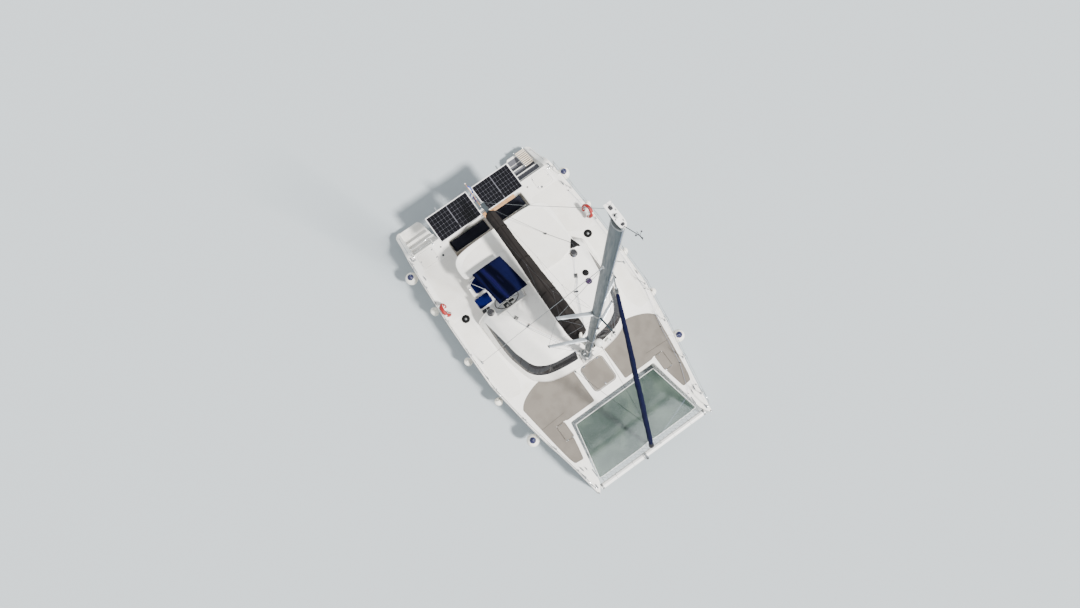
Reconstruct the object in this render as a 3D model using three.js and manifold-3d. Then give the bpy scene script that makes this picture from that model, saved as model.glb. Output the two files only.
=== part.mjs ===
// Cruising sailing catamaran, 11.9 m long and 6.6 m wide, at anchor with its sails stowed.
// Millimetres. +X is forward, +Y is port, +Z is up. The origin is on the waterline, on the centreline, at mid-length.
import * as THREE from "three";
import { mergeVertices } from "three/addons/utils/BufferGeometryUtils.js";
import Module from "manifold-3d";
const wasm = await Module();
wasm.setup();

// ---------- driving dimensions ----------
const GAP = 0.3; // between pieces that touch
const LID_GAP = 10; // round every hinged lid
const DECK_Z = 1650; // top of the deck moulding
const DECK_T = 150; // depth of the deck moulding's edge
const BRIDGE_Y = 1780; // half width of the bridge deck between the hulls
const BRIDGE_X = [-4600, 3450];
const TUB_Z = 750; // underside of the bridge deck
const FLOOR_Z = 900; // saloon and cockpit floor
const STERN_X = -4600; // where the deck ends and the stern steps begin
const WELL = { x0: -4350, x1: 1400, y: 1600 };
const ROOF_AFT_X = -1450; // aft edge of the coachroof
const HELM = { x0: -2440, x1: -850, y0: -1980, y1: -450, floor: 1760 };
const WINDOW = { x0: -770, z0: 2130, z1: 2480, post: 340 };
const WALL = 50;
const MAST = { x: 1940, foot: 2350, top: 18480, a: 130, b: 82 };
const CRANE = { x0: 1640, x1: 2090, b: 38, z0: 18640, z1: 18680 };
const HOUNDS_Z = 15800;
const BOOM = { pin: 1700, x0: -4050, x1: 1655, z0: 3780, z1: 3975, b: 65 };
const TACK = [5700, 0, 1690];
const BEAM = { x: 5815, z: 1575, r: 95 };
const NET = { x0: 3610, x1: 5550, y0: 1665, y1: 2000, z0: 1500, z1: 1512 };
const HULL_Y = 2500; // rudder, propeller and engine line of each hull
const RUDDER = { x: -5150, top: -335, tip: -1080, stock: 28 };
const DRIVE = { x: -4080, z: -930, hub: 65 };
const ENGINE = { x0: -4470, x1: -3970, b: 210, z0: 60, z1: 640 };
const LADDER = { x: -5990, z: 560, y0: 2400, y1: 2830, len: 900, tilt: 27 };
const WHEEL = { x: -1200, y: -1120, z: 2400, r: 450, tilt: 45 };
// Helm canopy: x and half-plan at its aft and forward edges; it stands a little askew
const CANOPY = { aft: [-2370, -1625, -515], fwd: [-1030, -1440, -325] };

// Hull and deck stations, one row each:
//  x: along the boat   yo: outer sheer   yi: inner side   yk: keel line   zs: sheer height   zk: canoe body depth   yt: inner edge of the deck
const STATIONS = [
  { x: -4600, yo: 3130, yi: 1780, yk: 2500, zs: 1650, zk: -390, yt: 1700 },
  { x: -3300, yo: 3210, yi: 1780, yk: 2510, zs: 1650, zk: -530, yt: 1700 },
  { x: -1400, yo: 3280, yi: 1780, yk: 2515, zs: 1650, zk: -610, yt: 1700 },
  { x: 600, yo: 3290, yi: 1780, yk: 2505, zs: 1650, zk: -620, yt: 1700 },
  { x: 1900, yo: 3130, yi: 1780, yk: 2460, zs: 1650, zk: -600, yt: 1700 },
  { x: 3450, yo: 2870, yi: 1790, yk: 2400, zs: 1650, zk: -520, yt: 1770 },
  { x: 4200, yo: 2690, yi: 1890, yk: 2365, zs: 1660, zk: -430, yt: 1880 },
  { x: 5000, yo: 2535, yi: 2030, yk: 2340, zs: 1700, zk: -280, yt: 2020 },
  { x: 5620, yo: 2440, yi: 2135, yk: 2340, zs: 1735, zk: -90, yt: 2125 },
  { x: 5950, yo: 2385, yi: 2330, yk: 2358, zs: 1750, zk: 180, yt: 2330 },
];
// The stern, whose outer side falls to the bathing platform; same columns
const STERN = [
  { x: -5950, yo: 2960, yi: 2060, yk: 2500, zs: 560, zk: -40 },
  { x: -5820, yo: 3070, yi: 1965, yk: 2500, zs: 620, zk: -80 },
  { x: -5200, yo: 3095, yi: 1880, yk: 2500, zs: 1080, zk: -245 },
  { x: -4600, yo: 3130, yi: 1780, yk: 2500, zs: 1650, zk: -390 },
];
// Steps cut in the stern: x0, x1, z of the tread
const STEPS = [
  [-6100, -5350, 500],
  [-5350, -5030, 790],
  [-5030, -4730, 1090],
  [-4730, -4600, 1380],
];
const STEP_Y = 2860;
// Section of a hull side: f is the height from keel to sheer, g the breadth from keel line to side
const OUTER = [
  [1, 1],
  [0.66, 0.955],
  [0.45, 0.9],
  [0.286, 0.83],
  [0.12, 0.61],
  [0.03, 0.27],
];
const INNER = [
  [0.03, 0.27],
  [0.12, 0.61],
  [0.286, 0.84],
  [0.5, 0.92],
  [0.66, 1],
  [1, 1],
];
// Coachroof outlines, bottom to top: z, then the half outline as x and y from the nose round to the aft edge
const ROOF_RINGS = [
  { z: 1650, out: [[2120, 0], [2090, 720], [1990, 1300], [1810, 1700], [1500, 2000], [980, 2190], [220, 2330], [-1520, 2400]] },
  { z: 2110, out: [[1900, 0], [1860, 700], [1765, 1270], [1620, 1640], [1350, 1930], [900, 2090], [220, 2210], [-1520, 2270]] },
  { z: 2500, out: [[1625, 0], [1595, 560], [1530, 1060], [1410, 1390], [1190, 1660], [800, 1830], [200, 1970], [-1520, 2060]] },
  { z: 2640, out: [[1480, 0], [1455, 520], [1390, 970], [1270, 1270], [1050, 1520], [700, 1690], [150, 1830], [-1520, 1920]] },
  { z: 2735, out: [[900, 0], [880, 300], [830, 560], [740, 740], [600, 880], [380, 960], [50, 1020], [-1520, 1080]] },
];
const STANCHIONS = [-4350, -3350, -1900, -450, 1050, 2500, 3900, 5250]; // x of each
const RAIL_H = [320, 620];
// Fenders: x, radius, height, centre above the water
const FENDERS = [
  [-4150, 230, 560, 900],
  [-2660, 145, 520, 800],
  [-440, 145, 520, 800],
  [1360, 145, 520, 800],
  [3180, 230, 560, 900],
];
// Spreaders: z of the collar, tip x, tip y, tip z, jumper strut's reach forward (0 for none) and its rise
const SPREADERS = [
  { name: "lower_spreaders", z: 6300, tip: [1435, 1140, 6390], jumper: 0, rise: 0 },
  { name: "upper_spreaders", z: 10700, tip: [1500, 865, 10800], jumper: 650, rise: 430 },
];
// Solar panels: y0, y1
const PANELS = { starboard: [-1810, -95], port: [130, 1660] };
const PANEL_X = [-5150, -4100];
const PANEL_Z = [2565, 2603];
const PAD = { x0: -3760, x1: -3540, y0: 2950, y1: 3070, z: 1658 }; // raised pad under each stern cleat

// ---------- materials ----------
const mat = (color, roughness, metalness = 0) =>
  new THREE.MeshStandardMaterial({ color, roughness, metalness });
const gelcoat = mat(0xf2f0ea, 0.3);
const antifoul = mat(0xe9e7e0, 0.35);
const alloy = mat(0xa9aeb2, 0.4, 0.8);
const steel = mat(0xc9ccd0, 0.25, 0.9);
const glass = mat(0x1c1e24, 0.1);
const nonskid = mat(0x9b948a, 0.9);
const charcoal = mat(0x3a3836, 0.9);
const navy = mat(0x14163a, 0.85);
const royal = mat(0x1a2a86, 0.8);
const netting = mat(0x74877c, 0.95);
const teak = mat(0xb8895a, 0.7);
const solar = mat(0x0c0d12, 0.15);
const vinyl = mat(0xf0ece2, 0.5);
const red = mat(0xd23a2e, 0.6);
const iron = mat(0x6b6f73, 0.6, 0.5);
const bronze = mat(0xa88a4e, 0.35, 0.9);
const black = mat(0x17171a, 0.5);

// ---------- solids ----------
// A closed geometry as a solid, turned inside out first if it was mirrored.
function solid(g) {
  const flat = new THREE.BufferGeometry().setAttribute("position", (g.index ? g.toNonIndexed() : g).getAttribute("position").clone());
  const m = mergeVertices(flat, 1e-3);
  const p = m.attributes.position.array;
  const t = new Uint32Array(m.index.array);
  let v = 0;
  for (let i = 0; i < t.length; i += 3) {
    const [a, b, c] = [t[i] * 3, t[i + 1] * 3, t[i + 2] * 3];
    v += p[a] * (p[b + 1] * p[c + 2] - p[b + 2] * p[c + 1]) + p[a + 1] * (p[b + 2] * p[c] - p[b] * p[c + 2]) + p[a + 2] * (p[b] * p[c + 1] - p[b + 1] * p[c]);
  }
  if (v < 0) for (let i = 0; i < t.length; i += 3) [t[i + 1], t[i + 2]] = [t[i + 2], t[i + 1]];
  return new wasm.Manifold(new wasm.Mesh({ numProp: 3, vertProperties: new Float32Array(p), triVerts: t }));
}
const join = (...s) => s.reduce((a, b) => a.add(b));
const cut = (a, ...s) => s.reduce((r, b) => r.subtract(b), a);
const box = (x0, x1, y0, y1, z0, z1) => solid(new THREE.BoxGeometry(x1 - x0, y1 - y0, z1 - z0).translate((x0 + x1) / 2, (y0 + y1) / 2, (z0 + z1) / 2));
// A round bar between two points.
function rod(p, q, r, n = 8, r2 = r) {
  const a = new THREE.Vector3(...p), b = new THREE.Vector3(...q), d = b.clone().sub(a);
  const g = new THREE.CylinderGeometry(r2, r, d.length(), n);
  g.applyQuaternion(new THREE.Quaternion().setFromUnitVectors(new THREE.Vector3(0, 1, 0), d.clone().normalize()));
  return solid(g.translate(...a.add(b).multiplyScalar(0.5).toArray()));
}
// A skin through rings of equal count, capped by fans.
function loft(rings) {
  const n = rings[0].length, pos = [], idx = [];
  rings.forEach((r) => r.forEach((p) => pos.push(...p)));
  for (let i = 0; i < rings.length - 1; i++)
    for (let j = 0; j < n; j++) {
      const a = i * n + j, b = i * n + ((j + 1) % n);
      idx.push(a, b, a + n, b, b + n, a + n);
    }
  [[0, 1], [rings.length - 1, 0]].forEach(([i, turn]) => {
    const c = pos.length / 3, m = [0, 0, 0];
    rings[i].forEach((p) => p.forEach((v, k) => (m[k] += v / n)));
    pos.push(...m);
    for (let j = 0; j < n; j++) {
      const a = i * n + j, b = i * n + ((j + 1) % n);
      turn ? idx.push(c, b, a) : idx.push(c, a, b);
    }
  });
  const g = new THREE.BufferGeometry().setAttribute("position", new THREE.Float32BufferAttribute(pos, 3));
  return solid(g.setIndex(idx));
}
// A flat outline raised from z0 to z1.
function slab(points, z0, z1) {
  const s = new THREE.Shape(points.map(([x, y]) => new THREE.Vector2(x, y)));
  return solid(new THREE.ExtrudeGeometry(s, { depth: z1 - z0, bevelEnabled: false }).translate(0, 0, z0));
}
// A flat outline in x and z, y0 to y1.
function plate(points, y0, y1) {
  const s = new THREE.Shape(points.map(([x, z]) => new THREE.Vector2(x, z)));
  return solid(new THREE.ExtrudeGeometry(s, { depth: y1 - y0, bevelEnabled: false }).rotateX(Math.PI / 2).translate(0, y1, 0));
}
const ring = (r, n, rz = r) => Array.from({ length: n }, (_, i) => new THREE.Vector2(r * Math.cos((i * 2 * Math.PI) / n), rz * Math.sin((i * 2 * Math.PI) / n)));
// A tube along a smooth curve.
function pipe(points, r, sides = 8, steps = 16) {
  const path = new THREE.CatmullRomCurve3(points.map((p) => new THREE.Vector3(...p)));
  return solid(new THREE.ExtrudeGeometry(new THREE.Shape(ring(r, sides)), { steps, extrudePath: path, bevelEnabled: false }));
}
const round = (x0, x1, y0, y1, r) => {
  const c = r * 0.3;
  return [[x0 + r, y0], [x1 - r, y0], [x1 - c, y0 + c], [x1, y0 + r], [x1, y1 - r], [x1 - c, y1 - c], [x1 - r, y1], [x0 + r, y1], [x0 + c, y1 - c], [x0, y1 - r], [x0, y0 + r], [x0 + c, y0 + c]];
};

const catamaran = new THREE.Group();
const add = (name, s, material, parent = catamaran) => {
  const m = s.getMesh(), n = m.numProp, v = new Float32Array(m.numVert * 3);
  for (let i = 0; i < m.numVert; i++) v.set(m.vertProperties.subarray(i * n, i * n + 3), i * 3);
  let g = new THREE.BufferGeometry().setAttribute("position", new THREE.BufferAttribute(v, 3)).setIndex(new THREE.BufferAttribute(new Uint32Array(m.triVerts), 1));
  g = g.toNonIndexed();
  g.computeVertexNormals();
  const mesh = new THREE.Mesh(g, material);
  mesh.name = name;
  parent.add(mesh);
  return s;
};

const SIDES = [["port", 1], ["starboard", -1]];
const at = (table, x, key) => {
  const i = Math.max(1, table.findIndex((r) => r.x >= x)) || table.length - 1;
  const [a, b] = [table[i - 1], table[i]], t = (x - a.x) / (b.x - a.x);
  return a[key] + t * (b[key] - a[key]);
};
const edge = (x) => at(STATIONS, x, "yo");

// ---------- hulls ----------
const section = (st, s, top) => [
  ...OUTER.map(([f, g]) => [st.x, s * (st.yk + g * (st.yo - st.yk)), st.zk + f * (top - st.zk)]),
  [st.x, s * st.yk, st.zk],
  ...INNER.map(([f, g]) => [st.x, s * (st.yk - g * (st.yk - st.yi)), st.zk + f * (top - st.zk)]),
];
const keelRing = (z, x0, x1, b, s) => [[x1, 0], [x1 - 0.18 * (x1 - x0), b], [x0 + 0.35 * (x1 - x0), b * 0.9], [x0, 0], [x0 + 0.35 * (x1 - x0), -b * 0.9], [x1 - 0.18 * (x1 - x0), -b]].map(([x, y]) => [x, s * HULL_Y + y, z]);
const hulls = [];
for (const [side, s] of SIDES) {
  const body = loft(STATIONS.map((st) => section(st, s, st.zs - DECK_T - GAP)));
  let stern = loft(STERN.map((st) => section(st, s, st.zs)));
  for (const [x0, x1, z] of STEPS) {
    const y = [s * 1000, s * STEP_Y].sort((a, b) => a - b);
    stern = stern.subtract(box(x0, x1, y[0], y[1], z, 3000));
  }
  const keel = loft([keelRing(-1180 + GAP, -900, 1150, 90, s), keelRing(-480, -1250, 1350, 125, s)]);
  const y0 = s * HULL_Y;
  let hull = join(body, stern);
  hull = cut(
    hull,
    box(ENGINE.x0 - 40, ENGINE.x1 + 130, y0 - 290, y0 + 290, ENGINE.z0 - GAP, 2000), // engine room
    rod([RUDDER.x, y0, -600], [RUDDER.x, y0, 150], 34, 12), // rudder bearing
    box(3330, 3870, s > 0 ? 1950 : -2230, s > 0 ? 2230 : -1950, 900, 2000), // forepeak locker
  );
  add(side + "_hull", hull, antifoul);
  hulls.push(hull);
  add(side + "_keel", keel.subtract(hull).translate([0, 0, -GAP]), antifoul);
  // saildrive leg, shaped to the hull's bottom
  const leg = join(
    loft([
      [[170, 0], [90, 45], [-90, 40], [-190, 0], [-90, -40], [90, -45]].map(([x, y]) => [DRIVE.x + x, y0 + y, -250]),
      [[120, 0], [60, 35], [-60, 30], [-150, 0], [-60, -30], [60, -35]].map(([x, y]) => [DRIVE.x + x, y0 + y, DRIVE.z]),
    ]),
    rod([DRIVE.x - 250, y0, DRIVE.z], [DRIVE.x + 170, y0, DRIVE.z], DRIVE.hub, 10, 30),
  );
  add(side + "_saildrive", leg.subtract(hull).translate([0, 0, -GAP]), iron);
  const px = DRIVE.x - 250;
  let prop = rod([px - 5, y0, DRIVE.z], [px - 130, y0, DRIVE.z], DRIVE.hub - 5, 10, 25);
  for (let k = 0; k < 3; k++) {
    const blade = loft([
      [[-25, -12], [25, -20], [25, 12], [-25, 20]].map(([x, y]) => [x, y, 20]),
      [[-45, -70], [45, 60], [48, 68], [-40, -60]].map(([x, y]) => [x, y, 140]),
      [[-20, -40], [20, 30], [22, 36], [-18, -34]].map(([x, y]) => [x, y, 220]),
    ]);
    prop = prop.add(blade.rotate([(k * 360) / 3, 0, 0]).translate([px - 65, y0, DRIVE.z]));
  }
  add(side + "_propeller", prop, bronze);
  // spade rudder with its stock
  const foil = (z, c) => [[0.32, 0], [0.2, 0.075], [-0.1, 0.07], [-0.68, 0], [-0.1, -0.07], [0.2, -0.075]].map(([x, y]) => [RUDDER.x + x * c, y0 + y * c, z]);
  add(side + "_rudder", join(loft([foil(RUDDER.tip, 330), foil(RUDDER.top, 440)]), rod([RUDDER.x, y0, RUDDER.top - 60], [RUDDER.x, y0, 120], RUDDER.stock, 12)), antifoul);
  add(side + "_engine", box(ENGINE.x0, ENGINE.x1, y0 - ENGINE.b, y0 + ENGINE.b, ENGINE.z0, ENGINE.z1), iron);
}

// ---------- bridge deck and deck moulding ----------
const tub = box(BRIDGE_X[0], BRIDGE_X[1], -BRIDGE_Y + GAP, BRIDGE_Y - GAP, TUB_Z, DECK_Z - DECK_T - GAP);
const locker = { x0: 2170, x1: 3130, y: 440 };
// The cockpit benches are moulded in one with the tub's floor; the table stands on it.
add(
  "bridge_deck",
  join(
    cut(tub, box(WELL.x0, WELL.x1, -WELL.y, WELL.y, FLOOR_Z, 2000), box(locker.x0 + 20, locker.x1 - 20, -locker.y + 20, locker.y - 20, 980, 2000)),
    box(WELL.x0 - 5, -3850, -WELL.y - 5, WELL.y + 5, FLOOR_Z - 5, 1320),
    box(-3900, -2150, 1020, WELL.y + 5, FLOOR_Z - 5, 1320),
  ),
  gelcoat,
);
add("cockpit_table", join(box(-3300, -2500, -200, 560, 1560, 1600), box(-2960, -2840, 120, 240, FLOOR_Z + GAP, 1570), box(-3060, -2740, 20, 340, FLOOR_Z + GAP, FLOOR_Z + 20)), teak);
const HATCHES = [
  // name, x0, x1, y0, y1 on the port side
  ["engine_hatch", -4500, -3940, 2190, 2810],
  ["bow_hatch", 3300, 3900, 1930, 2250],
];
let deck = box(BRIDGE_X[0], BRIDGE_X[1], -1800, 1800, DECK_Z - DECK_T, DECK_Z);
for (const [, s] of SIDES) deck = deck.add(loft(STATIONS.map((r) => [[r.x, s * r.yo, r.zs], [r.x, s * r.yo, r.zs - DECK_T], [r.x, s * r.yt, r.zs - DECK_T], [r.x, s * r.yt, r.zs]])));
deck = cut(deck, box(WELL.x0, WELL.x1, -WELL.y, WELL.y, 0, 3000), box(locker.x0 - LID_GAP, locker.x1 + LID_GAP, -locker.y - LID_GAP, locker.y + LID_GAP, 0, 3000));
for (const [, x0, x1, y0, y1] of HATCHES)
  for (const [, s] of SIDES) {
    const y = [s * y0, s * y1].sort((a, b) => a - b);
    deck = deck.subtract(box(x0 - LID_GAP, x1 + LID_GAP, y[0] - LID_GAP, y[1] + LID_GAP, 0, 3000));
  }
for (const [, s] of SIDES) {
  const y = [s * PAD.y0, s * PAD.y1].sort((a, b) => a - b);
  deck = deck.add(box(PAD.x0, PAD.x1, y[0], y[1], DECK_Z - 20, PAD.z));
}
add("deck_moulding", deck, gelcoat);
for (const [name, x0, x1, y0, y1] of HATCHES)
  for (const [side, s] of SIDES) {
    const y = [s * y0, s * y1].sort((a, b) => a - b);
    add(side + "_" + name, slab(round(x0, x1, y[0], y[1], 40), DECK_Z - 45, DECK_Z + 6), nonskid);
  }
add("foredeck_locker_lid", slab(round(locker.x0, locker.x1, -locker.y, locker.y, 120), DECK_Z - 45, DECK_Z + 30), nonskid);

// ---------- coachroof, windows, bulkhead, hardtop ----------
const full = (half) => [...half.slice().reverse(), ...half.slice(1).map(([x, y]) => [x, -y])];
const inset = (half, d) => half.map(([x, y], i) => {
  const a = half[Math.max(0, i - 1)], b = half[Math.min(half.length - 1, i + 1)];
  let [tx, ty] = [b[0] - a[0], b[1] - a[1]];
  if (i === 0) [tx, ty] = [0, 1];
  const l = Math.hypot(tx, ty);
  return [i === half.length - 1 ? x : x - (ty / l) * d, i === 0 ? 0 : y + (tx / l) * d];
});
const roofOuter = loft(ROOF_RINGS.map((r) => full(r.out).map(([x, y]) => [x, y, r.z + GAP])));
const roofInner = loft(ROOF_RINGS.map((r, i) => full(inset(r.out, WALL)).map(([x, y]) => [x, y, i === 0 ? r.z - 200 : i === ROOF_RINGS.length - 1 ? r.z - WALL : r.z - WALL * 0.3]))).translate([0, 0, 0]);
const helmCut = box(-4000, HELM.x1, -4000, HELM.y1, 0, 4000);
const plinth = loft([
  [[2100, 230], [2140, 0], [2100, -230], [1300, -300], [1300, 300]].map(([x, y]) => [x, y, DECK_Z + GAP]),
  [[2080, 170], [2110, 0], [2080, -170], [1300, -260], [1300, 260]].map(([x, y]) => [x, y, MAST.foot - GAP]),
]);
let shell = cut(roofOuter.add(plinth), roofInner, box(-4000, ROOF_AFT_X, -4000, 4000, 0, 4000), helmCut);
const band = (s, g) => {
  const y = [s * (WINDOW.post + g), s * 3000].sort((a, b) => a - b);
  return box(WINDOW.x0 + g, 3000, y[0], y[1], WINDOW.z0 + g, WINDOW.z1 - g);
};
for (const [side, s] of SIDES) add(side + "_window", shell.intersect(band(s, GAP)), glass);
for (const [, s] of SIDES) shell = shell.subtract(band(s, 0));
shell = shell.decompose().sort((a, b) => b.volume() - a.volume())[0];
add("coachroof", shell, gelcoat);

const DOOR = { y0: -380, y1: 480, z0: 940, z1: 2400 };
const bulkX = [ROOF_AFT_X - WALL, ROOF_AFT_X - GAP];
let bulkhead = join(
  roofOuter.intersect(box(bulkX[0], bulkX[1], HELM.y1 + GAP, 3000, 1651, 2700)),
  box(bulkX[0], bulkX[1], -WELL.y + GAP, WELL.y - GAP, FLOOR_Z + GAP, DECK_Z),
  box(bulkX[0], bulkX[1], HELM.y1 + GAP, WELL.y - GAP, DECK_Z - 100, DECK_Z + 5),
);
bulkhead = cut(bulkhead, box(-3000, 0, DOOR.y0 + 60, DOOR.y1 - 60, DOOR.z0 + 40, DOOR.z1 - 60), box(-3000, 0, 700, 1500, 1750, 2400));
add("saloon_bulkhead", bulkhead, gelcoat);
add("sliding_door", box(bulkX[0] - 48, bulkX[0] - 8, DOOR.y0, DOOR.y1, DOOR.z0, DOOR.z1), glass);

const HARDTOP = { z0: 2760, z1: 2850 };
const top = [[-1180, 1900], [-2900, 1930], [-3150, 1850], [-3310, 1640], [-3380, 1200], [-3400, 0], [-3380, -1200], [-3310, -1640], [-3150, -1850], [-2900, -1930], [HELM.x0 - 10, -1900], [HELM.x0 - 10, HELM.y1 + 10], [-1180, HELM.y1 + 10]];
let hardtop = slab(top, HARDTOP.z0, HARDTOP.z1);
for (const [, s] of SIDES) hardtop = hardtop.add(rod([-3060, s * 1700, DECK_Z + GAP], [-3010, s * 1680, HARDTOP.z0 + 20], 38, 8));
const aboveDeck = (z) => box(-7000, 7000, -4000, 4000, z, 30000);
add("hardtop", hardtop.intersect(aboveDeck(DECK_Z + GAP)), gelcoat);

// ---------- helm station ----------
const H = HELM;
const hz = DECK_Z + GAP;
add(
  "helm_console",
  join(
    box(H.x0, H.x1 - GAP, H.y0, H.y1 - GAP, hz, H.floor),
    roofOuter.intersect(box(H.x1 - 60, H.x1 - GAP, -3000, H.y1 - GAP, 1651, 2500)),
    box(ROOF_AFT_X - 60, H.x1 - GAP, H.y1 - 45, H.y1 - GAP, hz, 2680),
    box(H.x0, H.x1 - GAP, H.y0, H.y0 + 50, hz, 1980),
    box(H.x0, H.x0 + 480, H.y0, H.y1 - GAP - 60, hz, 2180),
    plate([[-1090, 1700], [-1195, 2240], [-1000, 2435], [-890, 2440], [-890, 1700]], WHEEL.y - 230, WHEEL.y + 230),
  ),
  gelcoat,
);
add("helm_seat", slab(round(H.x0 + 10, H.x0 + 470, H.y0 + 110, H.y1 - 110, 70), 2180 + GAP, 2290), royal);
const tilt = (WHEEL.tilt * Math.PI) / 180;
const axis = [-Math.cos(tilt), 0, Math.sin(tilt)];
let wheel = solid(new THREE.TorusGeometry(WHEEL.r, 16, 6, 28)).add(rod([0, 0, -50], [0, 0, 30], 55, 10));
for (let k = 0; k < 5; k++) {
  const a = Math.PI / 2 + (k * 2 * Math.PI) / 5;
  wheel = wheel.add(rod([0, 0, 0], [WHEEL.r * Math.cos(a), WHEEL.r * Math.sin(a), 0], 11, 6));
}
add("steering_wheel", wheel.rotate([0, -45, 0]).translate([WHEEL.x, WHEEL.y, WHEEL.z]), black);
// canopy sections: t from aft to forward, top z
const canopy = [[0, 3350], [0.04, 3395], [0.33, 3440], [0.66, 3440], [0.96, 3395], [1, 3350]];
const canopyAt = (t) => CANOPY.aft.map((v, i) => v + t * (CANOPY.fwd[i] - v));
const bimini = loft(canopy.map(([t, z]) => {
  const [x, y0, y1] = canopyAt(t);
  return [[x, y0, z], [x, y1, z], [x, y1, z - 28], [x, y0, z - 28]];
}));
add("helm_bimini", bimini, navy);
const bow = (x) => canopyAt((x - CANOPY.aft[0]) / (CANOPY.fwd[0] - CANOPY.aft[0])).slice(1).map((y, i) => y + (i ? -30 : 30));
const [aftBow, fwdBow, midBow] = [bow(-2300), bow(-1100), bow(-1720)];
let frame = rod([-2300, aftBow[0], 3355], [-2300, aftBow[1], 3355], 14, 6);
frame = join(frame, rod([-1100, fwdBow[0], 3355], [-1100, fwdBow[1], 3355], 14, 6));
for (const i of [0, 1])
  frame = join(frame, rod([-2300, aftBow[i], 3362], [-2300, i ? -535 : -1945, 2170], 14, 6), rod([-1100, fwdBow[i], 3362], [-1720, midBow[i], 2900], 12, 6), rod([-1720, midBow[i], 2900], [-2300, i ? -533 : -1790, 2600], 12, 6));
frame = frame.intersect(box(-4000, 0, -4000, 0, 2180 + GAP, 3368));
add("bimini_frame", frame.subtract(bimini).decompose().sort((a, b) => b.volume() - a.volume())[0], steel);

// ---------- bows ----------
const beam = join(rod([BEAM.x, -2300, BEAM.z], [BEAM.x, 2300, BEAM.z], BEAM.r, 14), rod([BEAM.x, 0, BEAM.z], [TACK[0], 0, TACK[2] - 26], 34, 8));
add("front_crossbeam", cut(beam, ...[[0, -1], [1, 1]].flatMap(([i, d]) => [hulls[i], hulls[i].translate([0, 0, 0.5]), deck].map((h) => h.translate([0, 0.5 * d, 0])))).decompose().sort((a, b) => b.volume() - a.volume())[0], gelcoat);
add("trampoline", slab([[NET.x0, -NET.y0], [NET.x1, -NET.y1], [NET.x1, NET.y1], [NET.x0, NET.y0]], NET.z0, NET.z1), netting);

// ---------- mast and standing rigging ----------
const mastRing = (z, k, g = 0) => Array.from({ length: 14 }, (_, i) => {
  const a = (i * 2 * Math.PI) / 14;
  return [MAST.x + (MAST.a * k + g) * Math.cos(a), (MAST.b * k + g) * Math.sin(a), z];
});
const mast = join(
  loft([mastRing(MAST.foot, 1), mastRing(MAST.top, 1)]),
  box(CRANE.x0, CRANE.x1, -CRANE.b, CRANE.b, CRANE.z0, CRANE.z1), // masthead crane
  box(CRANE.x0 + 90, CRANE.x1 - 30, -30, 30, MAST.top - 80, CRANE.z0 + 10),
  box(1684, MAST.x - 60, -18, 18, 3840, 3915),
);
add("mast", mast, alloy);
const blade = (a, b, ca, cb, h) => loft([a, b].map((p, i) => {
  const c = i ? cb : ca;
  return [[-c / 2, 0, 0], [0, 0, h], [c / 2, 0, 0], [0, 0, -h]].map(([x, y, z]) => [p[0] + x, p[1] + y, p[2] + z]);
}));
for (const sp of SPREADERS) {
  let s = loft([mastRing(sp.z - 45, 1, 22), mastRing(sp.z + 45, 1, 22)]);
  for (const [, d] of SIDES) s = s.add(blade([MAST.x, 0, sp.z], [sp.tip[0], d * sp.tip[1], sp.tip[2]], 110, 70, 18));
  if (sp.jumper) s = s.add(rod([MAST.x + 120, 0, sp.z], [MAST.x + sp.jumper, 0, sp.z + sp.rise], 22, 8));
  add(sp.name, s.subtract(loft([mastRing(sp.z - 200, 1, GAP), mastRing(sp.z + 200, 1, GAP)])), alloy);
}
for (const [side, s] of SIDES) add(side + "_shroud", rod([0, s * 3060, DECK_Z - 20], [MAST.x - 20, s * (MAST.b + 10), HOUNDS_Z - 40], 7, 6).intersect(aboveDeck(DECK_Z + GAP)), steel);

// forestay with the furled genoa
const stay = (t) => [TACK[0] + (MAST.x + 135 - TACK[0]) * t, 0, TACK[2] + (HOUNDS_Z - 30 - TACK[2]) * t];
add("furler_drum", join(rod(stay(0.008), stay(0.0095), 95, 12), rod(stay(0.0005), stay(0.0222), 45, 10), rod(stay(0.0205), stay(0.022), 95, 12)), steel);
const stayTilt = Math.atan2(TACK[0] - MAST.x - 135, HOUNDS_Z - 30 - TACK[2]);
const stayRing = ([t, r]) => ring(r, 10).map(({ x, y }) => [stay(t)[0] + x * Math.cos(stayTilt), y, stay(t)[2] + x * Math.sin(stayTilt)]);
add("furled_genoa", loft([[0.0225, 30], [0.06, 85], [0.45, 75], [0.925, 36], [0.93, 14], [0.9965, 14]].map(stayRing)), navy);

// boom and the sail bag on it
add("boom", box(BOOM.x0, BOOM.x1, -BOOM.b, BOOM.b, BOOM.z0, BOOM.z1), alloy);
// bag sections: x, half width, bottom, top
const bag = [[-3640, 120, 4120], [-3500, 190, 4270], [-2200, 212, 4385], [-1200, 243, 4450], [-400, 274, 4505], [400, 298, 4560], [1200, 300, 4625], [1450, 268, 4640], [1540, 160, 4600]];
add("sail_bag", loft(bag.map(([x, b, z]) => [[0.3, 0], [0.8, 0.12], [1, 0.45], [0.85, 0.8], [0.3, 1], [-0.3, 1], [-0.85, 0.8], [-1, 0.45], [-0.8, 0.12], [-0.3, 0]].map(([u, v]) => [x, u * b, BOOM.z1 + GAP + v * (z - BOOM.z1)]))), charcoal);

// ---------- stern: arch, solar panels, ladder ----------
let arch = rod([PANEL_X[0] + 200, -1750, 2535], [PANEL_X[0] + 200, 1620, 2535], 22, 8);
arch = arch.add(rod([PANEL_X[1] - 200, -1750, 2535], [PANEL_X[1] - 200, 1620, 2535], 22, 8));
for (const y of [-1300, 1300]) arch = join(arch, rod([-4480, y, DECK_Z + GAP], [-4400, y, 2535], 26, 8), rod([-4240, y, 2535], [-5300, y, 2535], 26, 8), rod([-4500, y, 1720], [-5100, y, 2540], 20, 8));
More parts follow.
